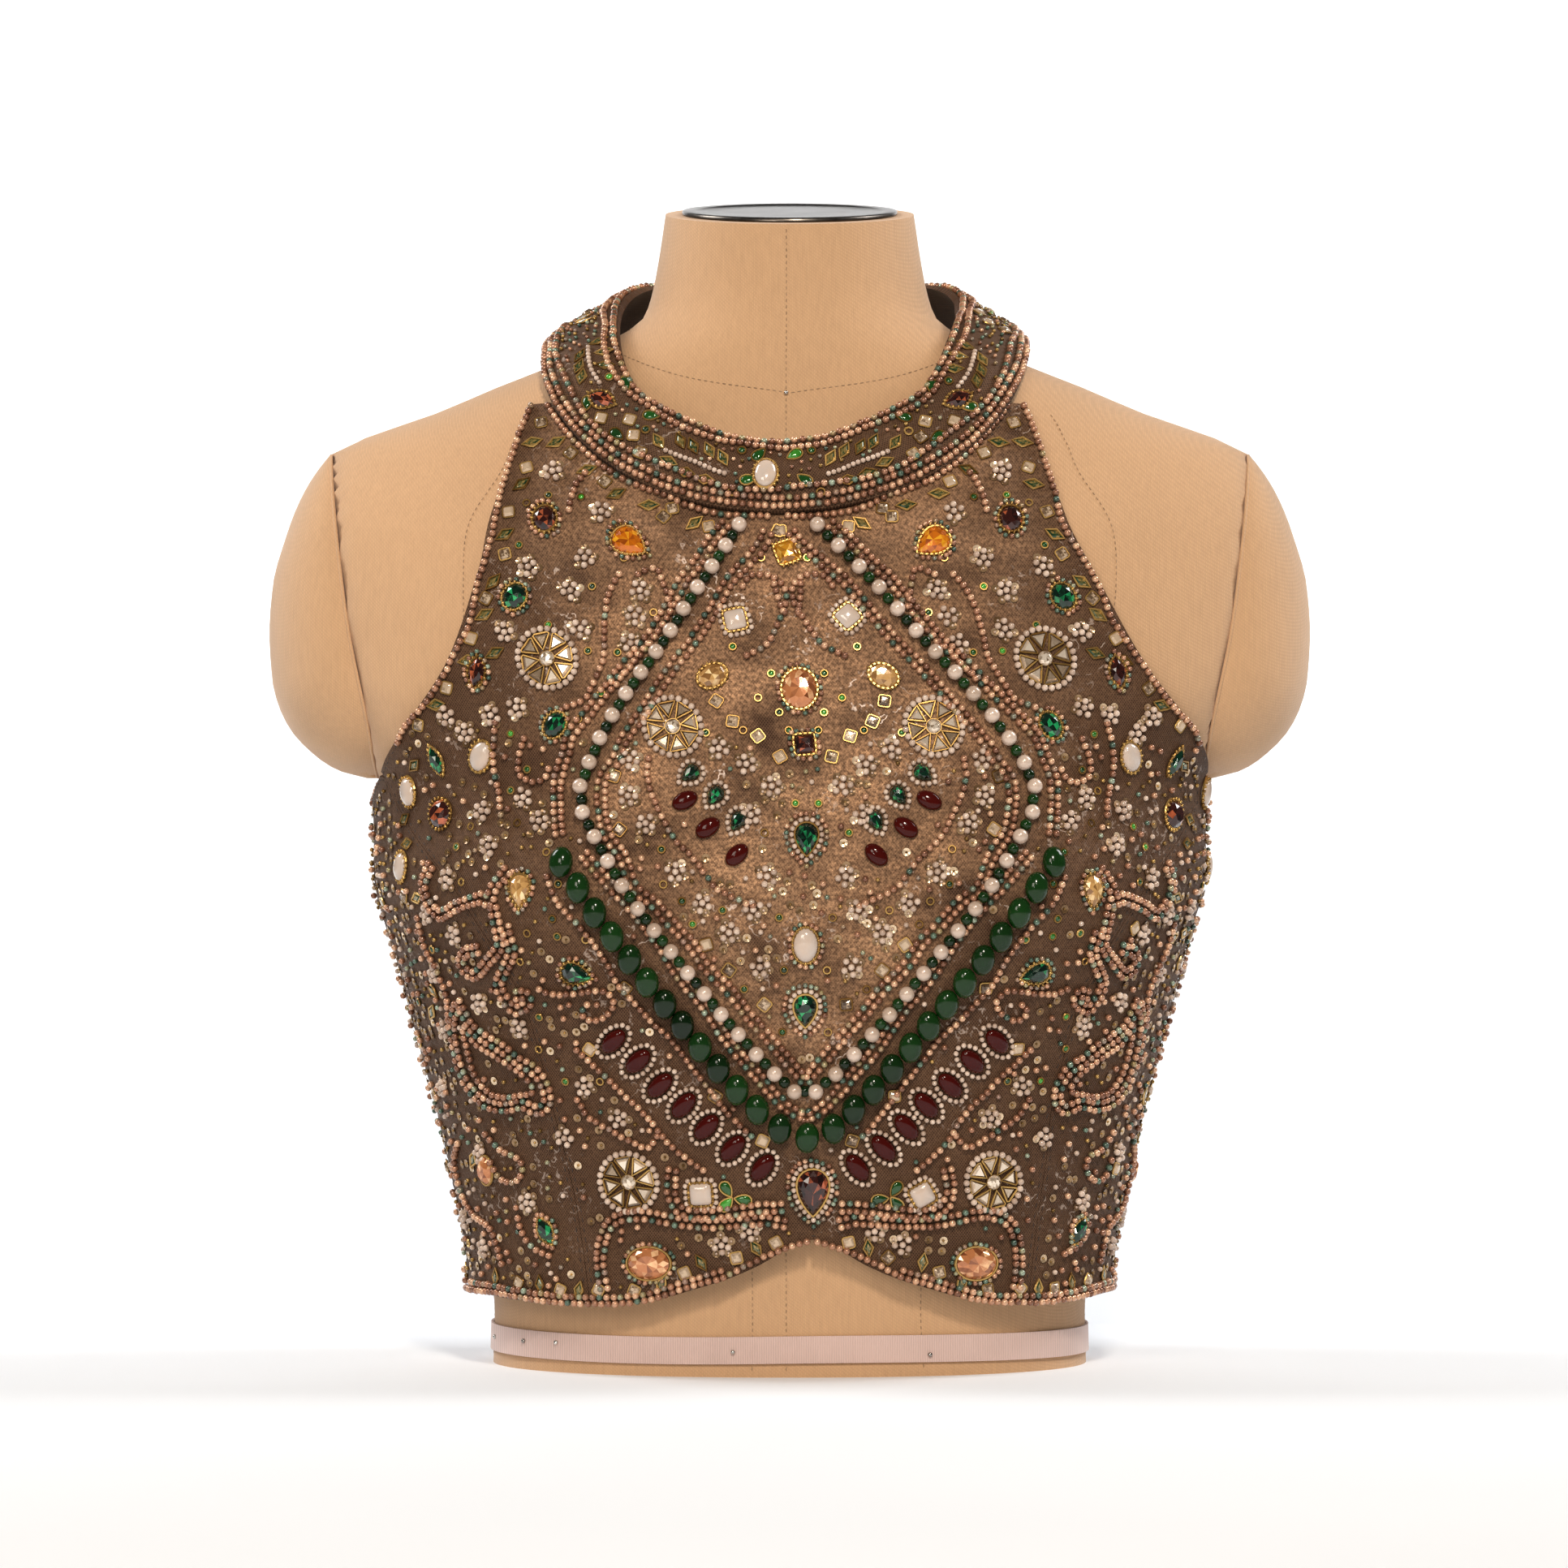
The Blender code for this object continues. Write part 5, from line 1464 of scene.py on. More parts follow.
def toned(stops, roughness, metallic, grain=900.0, **sockets):
    """Beads, metal and stones: each copy or facet takes its own tone along the stops; on cut facets
    that tone paints reflected light.
    """
    material, tree, shader = start_material("finish", roughness, metallic, **sockets)
    tone = node(tree, "ShaderNodeAttribute", attribute_name="tone").outputs["Fac"]
    fine = noise(tree, local_place(tree), grain, 2.0)
    mixed = plus(tree, tone, times(tree, fine, 0.3))
    mixed = arithmetic(tree, "SUBTRACT", mixed, 0.15)
    tree.links.new(ramp(tree, mixed, *stops), shader.inputs["Base Color"])
    bump(tree, shader, fine, 0.08, 0.0001)
    return material


def gem(facet_shade, body, facet_highlight, metallic=0.3):
    """A foil-backed cut stone. Its facets' tones run from painted shade through its body colour to a
    painted highlight.
    """
    stops = ((0.05, facet_shade), (0.5, body), (0.8, body), (0.98, facet_highlight))
    return toned(stops, 0.08, metallic, 500.0, Coat_Weight=0.5, Coat_Roughness=0.03, IOR=1.6)


CLOTH_GROUND = (0.031, 0.0130, 0.0058)
CLOTH_THREAD = (0.118, 0.061, 0.033)
NET_SCALE = 34.0
NET_TURN = 38.0
WEAVE_SCALE = 40.0
# Near-white colour of the net's painted glints, a painted highlight
GLINT = (0.95, 0.76, 0.64)
FOIL = (0.58, 0.325, 0.175)
LINEN = (0.585, 0.350, 0.185)
TAPE_COLOUR = (0.60, 0.43, 0.38)
LINING = (0.055, 0.032, 0.016)

FINISHES = {
    "bronze_beads": toned(
        ((0.05, (0.20, 0.084, 0.046)), (0.5, (0.46, 0.225, 0.130)), (0.95, (0.74, 0.44, 0.27))),
        0.26, 0.42, Coat_Weight=0.35,
    ),
    "teal_beads": toned(
        ((0.05, (0.05, 0.09, 0.065)), (0.35, (0.15, 0.23, 0.165)), (0.6, (0.34, 0.20, 0.15)),
         (0.8, (0.36, 0.27, 0.12)), (0.95, (0.32, 0.39, 0.29))),
        0.2, 0.35, Coat_Weight=0.5,
    ),
    "white_beads": toned(
        ((0.05, (0.44, 0.31, 0.23)), (0.9, (0.68, 0.52, 0.41))),
        0.28, 0.0, Coat_Weight=0.5,
    ),
    "gold_beads": toned(((0.05, (0.14, 0.075, 0.018)), (0.9, (0.46, 0.28, 0.09))), 0.25, 0.6),
    "pearls": toned(
        ((0.05, (0.50, 0.37, 0.28)), (0.9, (0.66, 0.51, 0.41))),
        0.24, 0.1, Coat_Weight=0.7, Coat_Roughness=0.08,
    ),
    "green_beads": toned(
        ((0.05, (0.0016, 0.010, 0.0014)), (0.95, (0.006, 0.034, 0.005))),
        0.13, 0.0, 120.0, Specular_IOR_Level=0.35,
    ),
    "gold_metal": toned(((0.05, (0.20, 0.10, 0.022)), (0.95, (0.62, 0.385, 0.12))), 0.3, 0.75),
    "gold_sequins": toned(
        ((0.05, (0.17, 0.095, 0.042)), (0.75, (0.38, 0.245, 0.13)), (0.99, (0.90, 0.70, 0.48))),
        0.2, 0.5,
    ),
    # Clear crystal: its dark to near-white tones are painted reflections and painted highlights
    "crystal": toned(
        ((0.05, (0.05, 0.032, 0.018)), (0.45, (0.34, 0.24, 0.15)), (0.95, (0.94, 0.80, 0.64))),
        0.08, 0.5, Coat_Weight=0.8, Coat_Roughness=0.02,
    ),
    # Glass squares and leaf glass are cut stones: their own colour, spread over facets from painted
    # shade to painted reflection
    "glass_squares": toned(
        ((0.05, (0.05, 0.028, 0.014)), (0.6, (0.19, 0.120, 0.068)), (0.95, (0.58, 0.43, 0.29))),
        0.12, 0.25, Coat_Weight=0.4,
    ),
    "leaf_glass": toned(
        ((0.05, (0.010, 0.020, 0.008)), (0.5, (0.014, 0.060, 0.022)), (0.95, (0.30, 0.20, 0.06))),
        0.1, 0.3, Coat_Weight=0.6,
    ),
    "green_glass": toned(
        ((0.05, (0.006, 0.030, 0.006)), (0.6, (0.012, 0.095, 0.010)), (0.95, (0.06, 0.34, 0.03))),
        0.1, 0.2, Coat_Weight=0.6,
    ),
    # Cut gems: the spread of each from dark facets to bright ones is painted reflection and painted
    # highlight in the stone
    "emerald_gem": gem((0.001, 0.006, 0.003), (0.0015, 0.026, 0.011), (0.02, 0.40, 0.13)),
    "garnet_gem": gem((0.010, 0.002, 0.001), (0.040, 0.007, 0.004), (0.55, 0.13, 0.05)),
    "amber_gem": gem((0.30, 0.055, 0.001), (0.68, 0.165, 0.002), (1.0, 0.46, 0.02)),
    "yellow_gem": gem((0.26, 0.095, 0.003), (0.64, 0.27, 0.012), (1.0, 0.64, 0.14)),
    "peach_gem": gem((0.24, 0.070, 0.022), (0.58, 0.215, 0.078), (1.0, 0.60, 0.31)),
    "champagne_gem": gem((0.24, 0.110, 0.030), (0.58, 0.325, 0.110), (1.0, 0.76, 0.40), 0.1),
    "opal": toned(
        ((0.05, (0.46, 0.35, 0.27)), (0.45, (0.60, 0.465, 0.37)), (0.6, (0.53, 0.46, 0.41)),
         (0.8, (0.68, 0.51, 0.38))),
        0.18, 0.0, 160.0, Coat_Weight=0.7,
    ),
    "ruby": toned(
        ((0.05, (0.022, 0.001, 0.0008)), (0.95, (0.078, 0.005, 0.003))),
        0.1, 0.0, 140.0, Specular_IOR_Level=0.22,
    ),
    "thread": toned(
        ((0.05, (0.012, 0.007, 0.005)), (0.95, (0.040, 0.024, 0.016))), 0.7, 0.0, 1500.0,
    ),
    "form_thread": toned(
        ((0.05, (0.24, 0.15, 0.08)), (0.95, (0.36, 0.23, 0.13))), 0.8, 0.0, 1500.0,
    ),
    "steel_pins": toned(((0.05, (0.30, 0.28, 0.26)), (0.95, (0.72, 0.70, 0.66))), 0.2, 1.0),
}
for name, material in FINISHES.items():
    material.name = name
FLAT_FINISHES = ["crystal", "glass_squares", "leaf_glass"]
FLAT_FINISHES += [name for name in FINISHES if name.endswith("_gem")]


FINE_STEPS = (4.0, 7.0)
COLLAR_FINE_STEPS = (3.0, 5.0)
FORM_PIECE = "form_cover"
LOZENGE_REACH = 92
LOZENGE_MIDDLE = 238
LOZENGE_RISE = 140


def gold_share(points):
    """How much foil shows at chart points: most inside the pearl lozenge, least at the sides."""
    distance, height = np.abs(points[:, 0]), points[:, 1]
    lozenge = distance / LOZENGE_REACH + np.abs(height - LOZENGE_MIDDLE) / LOZENGE_RISE
    inner = 1 / (1 + np.exp((lozenge - 1.0) * 14))
    upper = 0.75 / (1 + np.exp((distance - 95) / 10)) / (1 + np.exp((200 - height) / 14))
    return np.clip(np.maximum(inner, upper) + 0.12, 0, 1)


def shell_faces(outline, steps):
    """Chart points and triangles of a wall's outer and inner faces, and of its edge."""
    outer, outer_faces = triangulated(outline, steps[0])
    inner, inner_faces = triangulated(outline, steps[1])
    count, start = len(outline), len(outer)
    faces = clean_faces(outer, outer_faces)
    lining = [(start + a, start + c, start + b) for a, b, c in clean_faces(inner, inner_faces)]
    for i in range(count):
        j = (i + 1) % count
        faces += [(i, start + i, start + j), (i, start + j, j)]
    return np.array(outer), np.array(inner), faces, lining


def cloth_shell(name, node_name, surface, outline, thickness, steps, materials):
    """A fine shell that stands for one cut piece, in place of its CAD node."""
    outer, inner, faces, lining = shell_faces(outline, steps)
    points = [surface.seat(*outer.T, np.full(len(outer), thickness))[0]]
    points.append(surface.seat(*inner.T, np.zeros(len(inner)))[0])
    chart = np.vstack([outer, inner])
    obj = mesh_object(
        name, np.vstack(points), faces + lining, materials,
        tones=gold_share(chart), chart=chart, second=range(len(faces), len(faces) + len(lining)),
    )
    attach(obj, "root")
    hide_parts(node_name)
    return obj


class PlacketSurface:
    """The underlap's place inside the backs, with across measured from the centre back."""

    def seat(self, across, height, off):
        gap = PLACKET_GAP_OF(height) + PLACKET_CLOTH
        half = np.interp(height, CLOTH_INSIDE.heights, CLOTH_INSIDE.girths) / 2
        frames = CLOTH_INSIDE.frames(half + across, height)
        flat = CLOTH_INSIDE.flat(half + across, height)
        return flat + (off - gap)[:, None] * frames[:, 2], frames


def build_cloth():
    net = net_cloth("bronze_net")
    lining = plain_cloth("bodice_back_side", LINING)
    outlines = {
        "front_panel": front_outline(),
        "side_front_left": side_front_outline(1),
        "side_front_right": side_front_outline(-1),
        "back_left": back_outline(1),
        "back_right": back_outline(-1),
    }
    for name, outline in outlines.items():
        cloth_shell(
            f"{name}_cloth", name, CLOTH_INSIDE, outline, CLOTH, FINE_STEPS, (net, lining),
        )
    ends = [COLLAR.distance(turn) + side * COLLAR_OPENING for turn, side in ((-180, 1), (180, -1))]
    band = box_outline(float(ends[0]), float(ends[1]), 0, COLLAR_WIDTH)
    cloth_shell(
        "collar_cloth", "collar", COLLAR, band, COLLAR_CLOTH, COLLAR_FINE_STEPS, (net, lining),
    )
    strip = box_outline(-PLACKET_HALF_WIDTH, PLACKET_HALF_WIDTH, HEM[-1].height, PLACKET_TOP)
    cloth_shell(
        "back_placket_cloth", "back_placket", PlacketSurface(), strip, PLACKET_CLOTH,
        COLLAR_FINE_STEPS, (net, lining),
    )
    return outlines


def loft_mesh(name, rings, materials):
    """A closed solid through rings, with fanned ends."""
    count = len(rings[0])
    last = (len(rings) - 1) * count
    ends = [tuple(range(count))[::-1], tuple(range(last, last + count))]
    return mesh_object(name, np.vstack(rings), lattice(len(rings), count) + ends, materials)


def fine_heights():
    """Heights of the form's fine rings: the table's rows and even steps between them."""
    heights = []
    for low, high in zip(SECTIONS, SECTIONS[1:]):
        steps = max(1, round((high.height - low.height) / FORM_ROW))
        heights += list(np.linspace(low.height, high.height, steps, endpoint=False))
    return heights + [SECTIONS[-1].height]


def build_form():
    cover = linen("form_linen", LINEN)
    body = loft_mesh(FORM_PIECE, [form_ring(height) for height in fine_heights()], cover)
    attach(body, "root")
    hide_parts("form_body")
    for name, side in (("form_arm_cap_left", 1), ("form_arm_cap_right", -1)):
        cap = build_arm_cap(name + "_cover", side, cover)
        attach(cap, "root")
        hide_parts(name)
    build_cap_seams(cover)


def build_arm_cap(name, side, material):
    """A padded cap outside the armhole plate, as level D-shaped slices."""
    reach_of = columns(CAPS, "height", ("reach",))["reach"]
    low, high = CAPS[0].height, CAPS[-1].height
    share = (1 - np.cos(np.linspace(0, math.pi, CAP_ROWS))) / 2
    rings = []
    for height in low + (high - low) * share:
        plate = PLATE_OF(height) + SEAM_GAP
        front, back = plate_half_depths(height)
        middle, half = (back - front) / 2, (back + front) / 2
        ring = []
        for angle in np.linspace(0, math.pi, CAP_POINTS):
            out = max(0.0, math.sin(angle)) ** (2 / CAP_POWER)
            along = math.copysign(abs(math.cos(angle)) ** (2 / CAP_POWER), math.cos(angle))
            across = plate + (float(reach_of(height)) - plate) * out
            ring.append((side * across, middle - half * along, height))
        rings.append(ring if side > 0 else ring[::-1])
    return loft_mesh(name, rings, material)


# The neck plate's profile, from its lower rim to its middle: change of radius, and lift
NECK_PLATE_PROFILE = (
    (-0.4, 0.0), (0.0, 0.3), (0.0, 1.2), (-0.4, 1.6), (-6.0, 1.6), (-6.8, 1.2), (-20.0, 1.1),
    (-38.0, 1.3),
)


def build_neck_plate():
    """The dark disc that closes the neck, with a rounded rim and a turned dish."""
    middle = (SECTIONS[-1].back - SECTIONS[-1].front) / 2
    rings = []
    for radius, lift in NECK_PLATE_PROFILE:
        ring = []
        for i in range(NECK_PLATE_POINTS):
            angle = 2 * math.pi * i / NECK_PLATE_POINTS
            depth = middle + (NECK_PLATE_RADIUS + radius) * math.sin(angle)
            height = NECK_TOP + NECK_TILT * depth + SEAM_GAP + lift
            ring.append(((NECK_PLATE_RADIUS + radius) * math.cos(angle), depth, height))
        rings.append(ring)
    metal, tree, shader = start_material("neck_plate_metal", 0.3, 1.0)
    where = local_place(tree)
    scratches = noise(tree, where, 60.0, 5.0, 0.7)
    stops = ((0.35, (0.05, 0.042, 0.036)), (0.7, (0.17, 0.15, 0.13)))
    tree.links.new(ramp(tree, scratches, *stops), shader.inputs["Base Color"])
    bump(tree, shader, scratches, 0.15, 0.0002)
    plate = loft_mesh("neck_plate_disc", rings, metal)
    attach(plate, "root")
    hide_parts("form_neck_plate")


def build_waist_tape():
    """The tape pinned round the waist."""
    inner, outer = TAPE_GAP, TAPE_GAP + TAPE_CLOTH
    rings = []
    for off, height in (
        (inner, TAPE_BOTTOM), (outer, TAPE_BOTTOM), (outer, (TAPE_BOTTOM + TAPE_TOP) / 2),
        (outer, TAPE_TOP), (inner, TAPE_TOP),
    ):
        ring = np.array(form_ring(height, off))
        turn = np.arange(FORM_POINTS) * 2 * math.pi / FORM_POINTS
        ring[:, 2] += TAPE_WAVE * np.sin(3 * turn + 0.6)
        rings.append(ring)
    faces = lattice(len(rings), FORM_POINTS, True)
    band = mesh_object("waist_tape_band", np.vstack(rings), faces, tape("cotton_tape", TAPE_COLOUR))
    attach(band, "root")
    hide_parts("form_waist_tape")


BRONZE_BEAD = 3.15
BEAD_STEP = 3.12
ROW_ASIDE = 1.6
WHITE_BEAD = 2.3
PETAL_BEAD = 2.9
HUB = 6.2
TEAL_BEAD = 2.2
SMALL_GREEN_BEAD = 4.8
CLAW_STEP = 2.0
BEAD_SINK = 0.42
STITCH = 2.4
SEAM_INSET = 1.6
STITCH_STEP = 4.2
ROW_ROOM = 1.3
ROW_WOBBLE = 0.12
TEAL_IN_BRONZE = 0.08
RING_WOBBLE = 0.18
BRONZE_IN_RING = 0.4
PETAL_REACH = 3.0
PETAL_WOBBLE = 0.15
GAP_REACH = 4.2
ROSETTE_ROOM = 4.6
SET_ROOM = 3.4
LEAF_ROOM = 3.2
DOT_ROOM = 2.2
SEQUIN_ROOM = 1.6
STONE_SHARE = 0.92
TRIM_REACH = 0.9
WEDGES = 8
# Painted light on each wheel wedge: fixed tones of its top and three sides, lighter and darker facets
WEDGE_FACET_SHADES = (0.4, 0.1, 0.6, 0.2)
PEARL_ROOM = 4.5
BETWEEN_ROOM = 3.0
BIG_BEAD_ROOM = 6.0
PEARL_SINK = 0.46
BIG_BEAD_LIFT = 3.7
CHEST_NEARNESS = 1.035

BALL = ball(8, 4)
PEARL = ball(16, 10)
SEQUIN = disc_with_hole(1.75, 0.45, 0.35, 0.12)


def square_stone():
    """A small gold-framed glass square."""
    frame_line = outline_of("square", 4.9, 4.9, 12, 0.5)
    return rim(frame_line, 0.8, 0.7), cut_stone("square", 4.7, 4.7, 1.9, CHANCE)


CHANCE = np.random.default_rng(SEED)
FRAME_SQUARE, GLASS_SQUARE = square_stone()
LEAF_RIM = rim(outline_of("leaf", 8.8, 4.6, 12), 0.8, 1.0)
LEAF_GLASS = cut_stone("leaf", 8.0, 3.8, 1.2, CHANCE)
DOT_RIM = rim(outline_of("oval", 2.9, 2.9, 10), 0.8, 0.75)
DOT_GLASS = dome("oval", 2.5, 2.5, 1.3, 10)
DROP_RIM = rim(outline_of("pear", 7.2, 5.2, 14), 0.8, 0.8)
DROP_GLASS = dome("pear", 6.6, 4.6, 1.5, 14)
LEAF_TURN = 1.2
LEAF_SWAY = 0.3
HALF_TURN = 3.1
SQUARE_TURN = 1.5
GLAZED_DOTS = 0.7
SEWN = Sewn()


def turned(frames, turns):
    """Frames turned anticlockwise on their surface, in radians."""
    cosine, sine = np.cos(turns)[:, None], np.sin(turns)[:, None]
    along = frames[:, 0] * cosine + frames[:, 1] * sine
    up = frames[:, 1] * cosine - frames[:, 0] * sine
    return np.stack([along, up, frames[:, 2]], axis=1)


class Bench:
    """One surface to sew on, and what is on it so far."""

    def __init__(self, surface, top, place_of):
        self.surface, self.top, self.place_of = surface, top, place_of
        self.taken = []

    def claim(self, points, radius):
        self.taken += [(x, y, radius) for x, y in points]

    def free(self, point, radius):
        if not self.taken:
            return True
        taken = np.array(self.taken)
        gaps = np.hypot(taken[:, 0] - point[0], taken[:, 1] - point[1])
        return bool((gaps > taken[:, 2] + radius).all())

    def sew(self, finish, part, points, lift=0.0, turns=0.0, sizes=1.0, tones=None):
        """Copies of a shape at chart points, each in the heap of its place."""
        points = np.atleast_2d(np.asarray(points, float))
        count = len(points)
        turns = np.broadcast_to(np.asarray(turns, float), (count,))
        sizes = np.broadcast_to(np.asarray(sizes, float), (count,))
        tones = CHANCE.random(count) if tones is None else np.broadcast_to(tones, (count,))
        centres, frames = self.surface.seat(*points.T, np.full(count, self.top + lift))
        frames = turned(frames, turns)
        places = np.array([self.place_of(point) for point in points])
        for place in sorted(set(places)):
            chosen = places == place
            copies = (values[chosen] for values in (centres, frames, sizes, tones))
            SEWN.add(finish, place, part, *copies)

    def bead(self, finish, points, size):
        self.sew(finish, BALL, points, size * BEAD_SINK, 0.0, size)

    def evenly(self, path, step):
        """Chart points along a path at even steps over the surface itself."""
        fine = resampled(path, 1.0)
        seats, _ = self.surface.seat(*fine.T, np.full(len(fine), self.top))
        lengths = lengths_along(seats)
        places = np.linspace(0, lengths[-1], max(1, round(lengths[-1] / step)) + 1)
        return np.column_stack([np.interp(places, lengths, fine[:, k]) for k in (0, 1)])

    def row(self, colour, path, aside=0.0):
        """A row of round beads along a smooth path, or set off to one side of it."""
        smooth = smooth_path([Cut(*p) for p in path], ("distance", "height"), 6)
        if aside:
            ahead = unit(np.gradient(smooth, axis=0))
            smooth = smooth + aside * np.column_stack([-ahead[:, 1], ahead[:, 0]])
        points = self.evenly(smooth, BEAD_STEP)
        self.claim(points, ROW_ROOM)
        points = points + CHANCE.normal(0, ROW_WOBBLE, points.shape)
        if colour == "bronze":
            other = CHANCE.random(len(points)) < TEAL_IN_BRONZE
        else:
            other = np.arange(len(points)) % 3 == 2
        self.bead("bronze_beads", points[~other], BRONZE_BEAD)
        if other.any():
            self.bead("teal_beads", points[other], BRONZE_BEAD * 0.92)

    def ring(self, colour, centre, outline, size):
        """Beads round a stone, white or of mixed colours."""
        closed = np.vstack([outline, outline[:1]])
        points = resampled(closed, size * 1.08)[:-1] + centre
        if colour == "white":
            self.bead("white_beads", points, size)
            return
        points = points + CHANCE.normal(0, RING_WOBBLE, points.shape)
        other = CHANCE.random(len(points)) < BRONZE_IN_RING
        self.bead("teal_beads", points[~other], size)
        self.bead("bronze_beads", points[other], size * 1.1)

    def rosette(self, point):
        """A flower of six pearly beads, with sequins peeping out between its petals."""
        middles = CHANCE.random() * math.pi + np.arange(5) * 2 * math.pi / 5
        petals = point + PETAL_REACH * circle(middles)
        petals = petals + CHANCE.normal(0, PETAL_WOBBLE, petals.shape)
        self.bead("white_beads", np.vstack([petals, [point]]), PETAL_BEAD)
        gaps = middles[CHANCE.random(5) < 0.7] + math.pi / 5
        aside = point + GAP_REACH * circle(gaps)
        if len(aside):
            self.sew("gold_sequins", SEQUIN, aside, 0.1)
            self.bead("white_beads", aside, 1.2)
        self.claim([point], ROSETTE_ROOM)

    def square(self, point, turn=0.0):
        self.sew("gold_metal", FRAME_SQUARE, point, 0.0, turn)
        self.sew("glass_squares", GLASS_SQUARE, point, 0.1, turn)
        self.claim([point], SET_ROOM)

    def leaf(self, point, turn, size=1.0):
        self.sew("gold_metal", LEAF_RIM, point, 0.0, turn, size)
        self.sew("leaf_glass", LEAF_GLASS, point, 0.1, turn, size, CHANCE.random() * 0.3)
        self.claim([point], LEAF_ROOM)

    def drop(self, point, turn):
        """A small green drop in a gold frame."""
        self.sew("gold_metal", DROP_RIM, point, 0.0, turn)
        self.sew("green_glass", DROP_GLASS, point, 0.1, turn)
        self.claim([point], SET_ROOM)

    def dot(self, point, size=1.0):
        self.sew("gold_metal", DOT_RIM, point, 0.0, 0.0, size)
        if CHANCE.random() < GLAZED_DOTS:
            self.sew("green_glass", DOT_GLASS, point, 0.1, 0.0, size)
        self.claim([point], DOT_ROOM)

    def sequin(self, point):
        self.sew("gold_sequins", SEQUIN, point, 0.1 + 0.3 * CHANCE.random())
        self.bead("gold_beads", point, 1.1)
        self.claim([point], SEQUIN_ROOM)

    def stone(self, stone, centre, turn):
        """One large stone with its setting and trim."""
        centre = np.array(centre, float)
        self.claim([centre], max(stone.long, stone.wide) / 2 + 1.5)
        if stone.kind == "wheel":
            self.wheel(centre, stone.long)
            return
        angle = math.radians(turn)
        rise = RISES[stone.kind]
        if stone.kind == "dome" or stone.finish == "opal":
            kind = "square" if stone.kind == "square" else "dome"
            part = dome(kind, stone.long * STONE_SHARE, stone.wide * STONE_SHARE, rise)
        else:
            size = (stone.long * STONE_SHARE, stone.wide * STONE_SHARE)
            part = cut_stone(stone.kind, *size, rise, CHANCE)
        shape_kind = "oval" if stone.kind in ("dome", "round") else stone.kind
        self.sew(stone.finish, part, centre, 0.0, angle, 1.0, 0.0 if part.tones.any() else 0.5)
        edge = outline_of(shape_kind, stone.long, stone.wide, 24)
        if stone.trim not in ("white", "bare"):
            self.sew("gold_metal", rim(edge * 0.99, 0.8, 1.2), centre, 0.0, angle)
        cosine, sine = math.cos(angle), math.sin(angle)
        spun = edge @ np.array([[cosine, sine], [-sine, cosine]])
        if "claws" in stone.trim:
            self.claws(centre, spun, rise)
        away = np.linalg.norm(spun, axis=1)[:, None]
        reach = TRIM_REACH
        for name, size in (("white", WHITE_BEAD), ("teal", TEAL_BEAD)):
            if name in stone.trim:
                self.ring(name, centre, spun * (1 + (reach + 0.3) / away), size)
                reach += size * 0.98
        self.claim([centre], max(stone.long, stone.wide) / 2 + reach + 0.6)

    def claws(self, centre, edge, rise):
        """Prongs bent over a stone's edge."""
        points = centre + resampled(np.vstack([edge, edge[:1]]) * 0.99, CLAW_STEP)[:-1]
        prong = scaled(BALL, 1.15, 2.1, 1.7)
        inward = np.arctan2(*(centre - points).T[::-1]) - math.pi / 2
        self.sew("gold_metal", prong, points, rise * 0.36, inward)

    def wheel(self, centre, across):
        """A wheel: pearly beads round gold-framed glass wedges and a crystal hub."""
        radius = (across - PETAL_BEAD) / 2
        count = round(2 * math.pi * radius / (PETAL_BEAD * 1.02))
        angles = np.arange(count) / count * 2 * math.pi
        self.bead("white_beads", centre + radius * circle(angles), PETAL_BEAD)
        turns = np.arange(WEDGES) / WEDGES * 2 * math.pi + 0.2
        length = radius - PETAL_BEAD / 2 - HUB / 2 - 0.3
        wide = 1.86 * (radius - PETAL_BEAD / 2) * math.sin(math.pi / WEDGES)
        corners = np.array([(-length / 2, 0), (length / 2, -wide / 2), (length / 2, wide / 2)])
        reach = HUB / 2 + length / 2 + 0.2
        middles = centre + reach * circle(turns)
        tones = CHANCE.random(WEDGES) * 0.6
        self.sew("crystal", wedge_stone(corners * 0.86), middles, 0.1, turns, tones=tones)
        frame = resampled(np.vstack([corners, corners[:1]]), 1.8)[:-1]
        self.sew("gold_metal", rim(frame, 0.9, 0.85), middles, 0.0, turns)
        self.sew("crystal", cut_stone("round", HUB, HUB, 2.6, CHANCE), centre, 0.2, 0.0, 1.0, 0.35)
        self.sew("gold_metal", rim(outline_of("oval", HUB, HUB, 16), 0.8, 0.7), centre, 0.0)


def wedge_stone(corners):
    """A flat-backed glass triangle, its facets' fixed tones painting light and shade."""
    foot, top = level(corners, 0.0), level(corners * 0.6, 1.5)
    nexts = ((0, 1), (1, 2), (2, 0))
    sides = [(foot[i], foot[j], top[j], top[i]) for i, j in nexts]
    return faceted([tuple(top)] + sides, WEDGE_FACET_SHADES)


def both_sides(points):
    """Chart points of the left half with their mirror images."""
    points = np.atleast_2d(points)
    return (points, 1), (points * [-1, 1], -1)


def cloth_place(point):
    """Which heap a chart point of the bodice belongs to."""
    side = "left" if point[0] > 0 else "right"
    behind = abs(point[0]) > SIDE_SHARE * CLOTH_INSIDE.girth(point[1]) / 2
    return f"{'back' if behind else 'front'}_{side}"


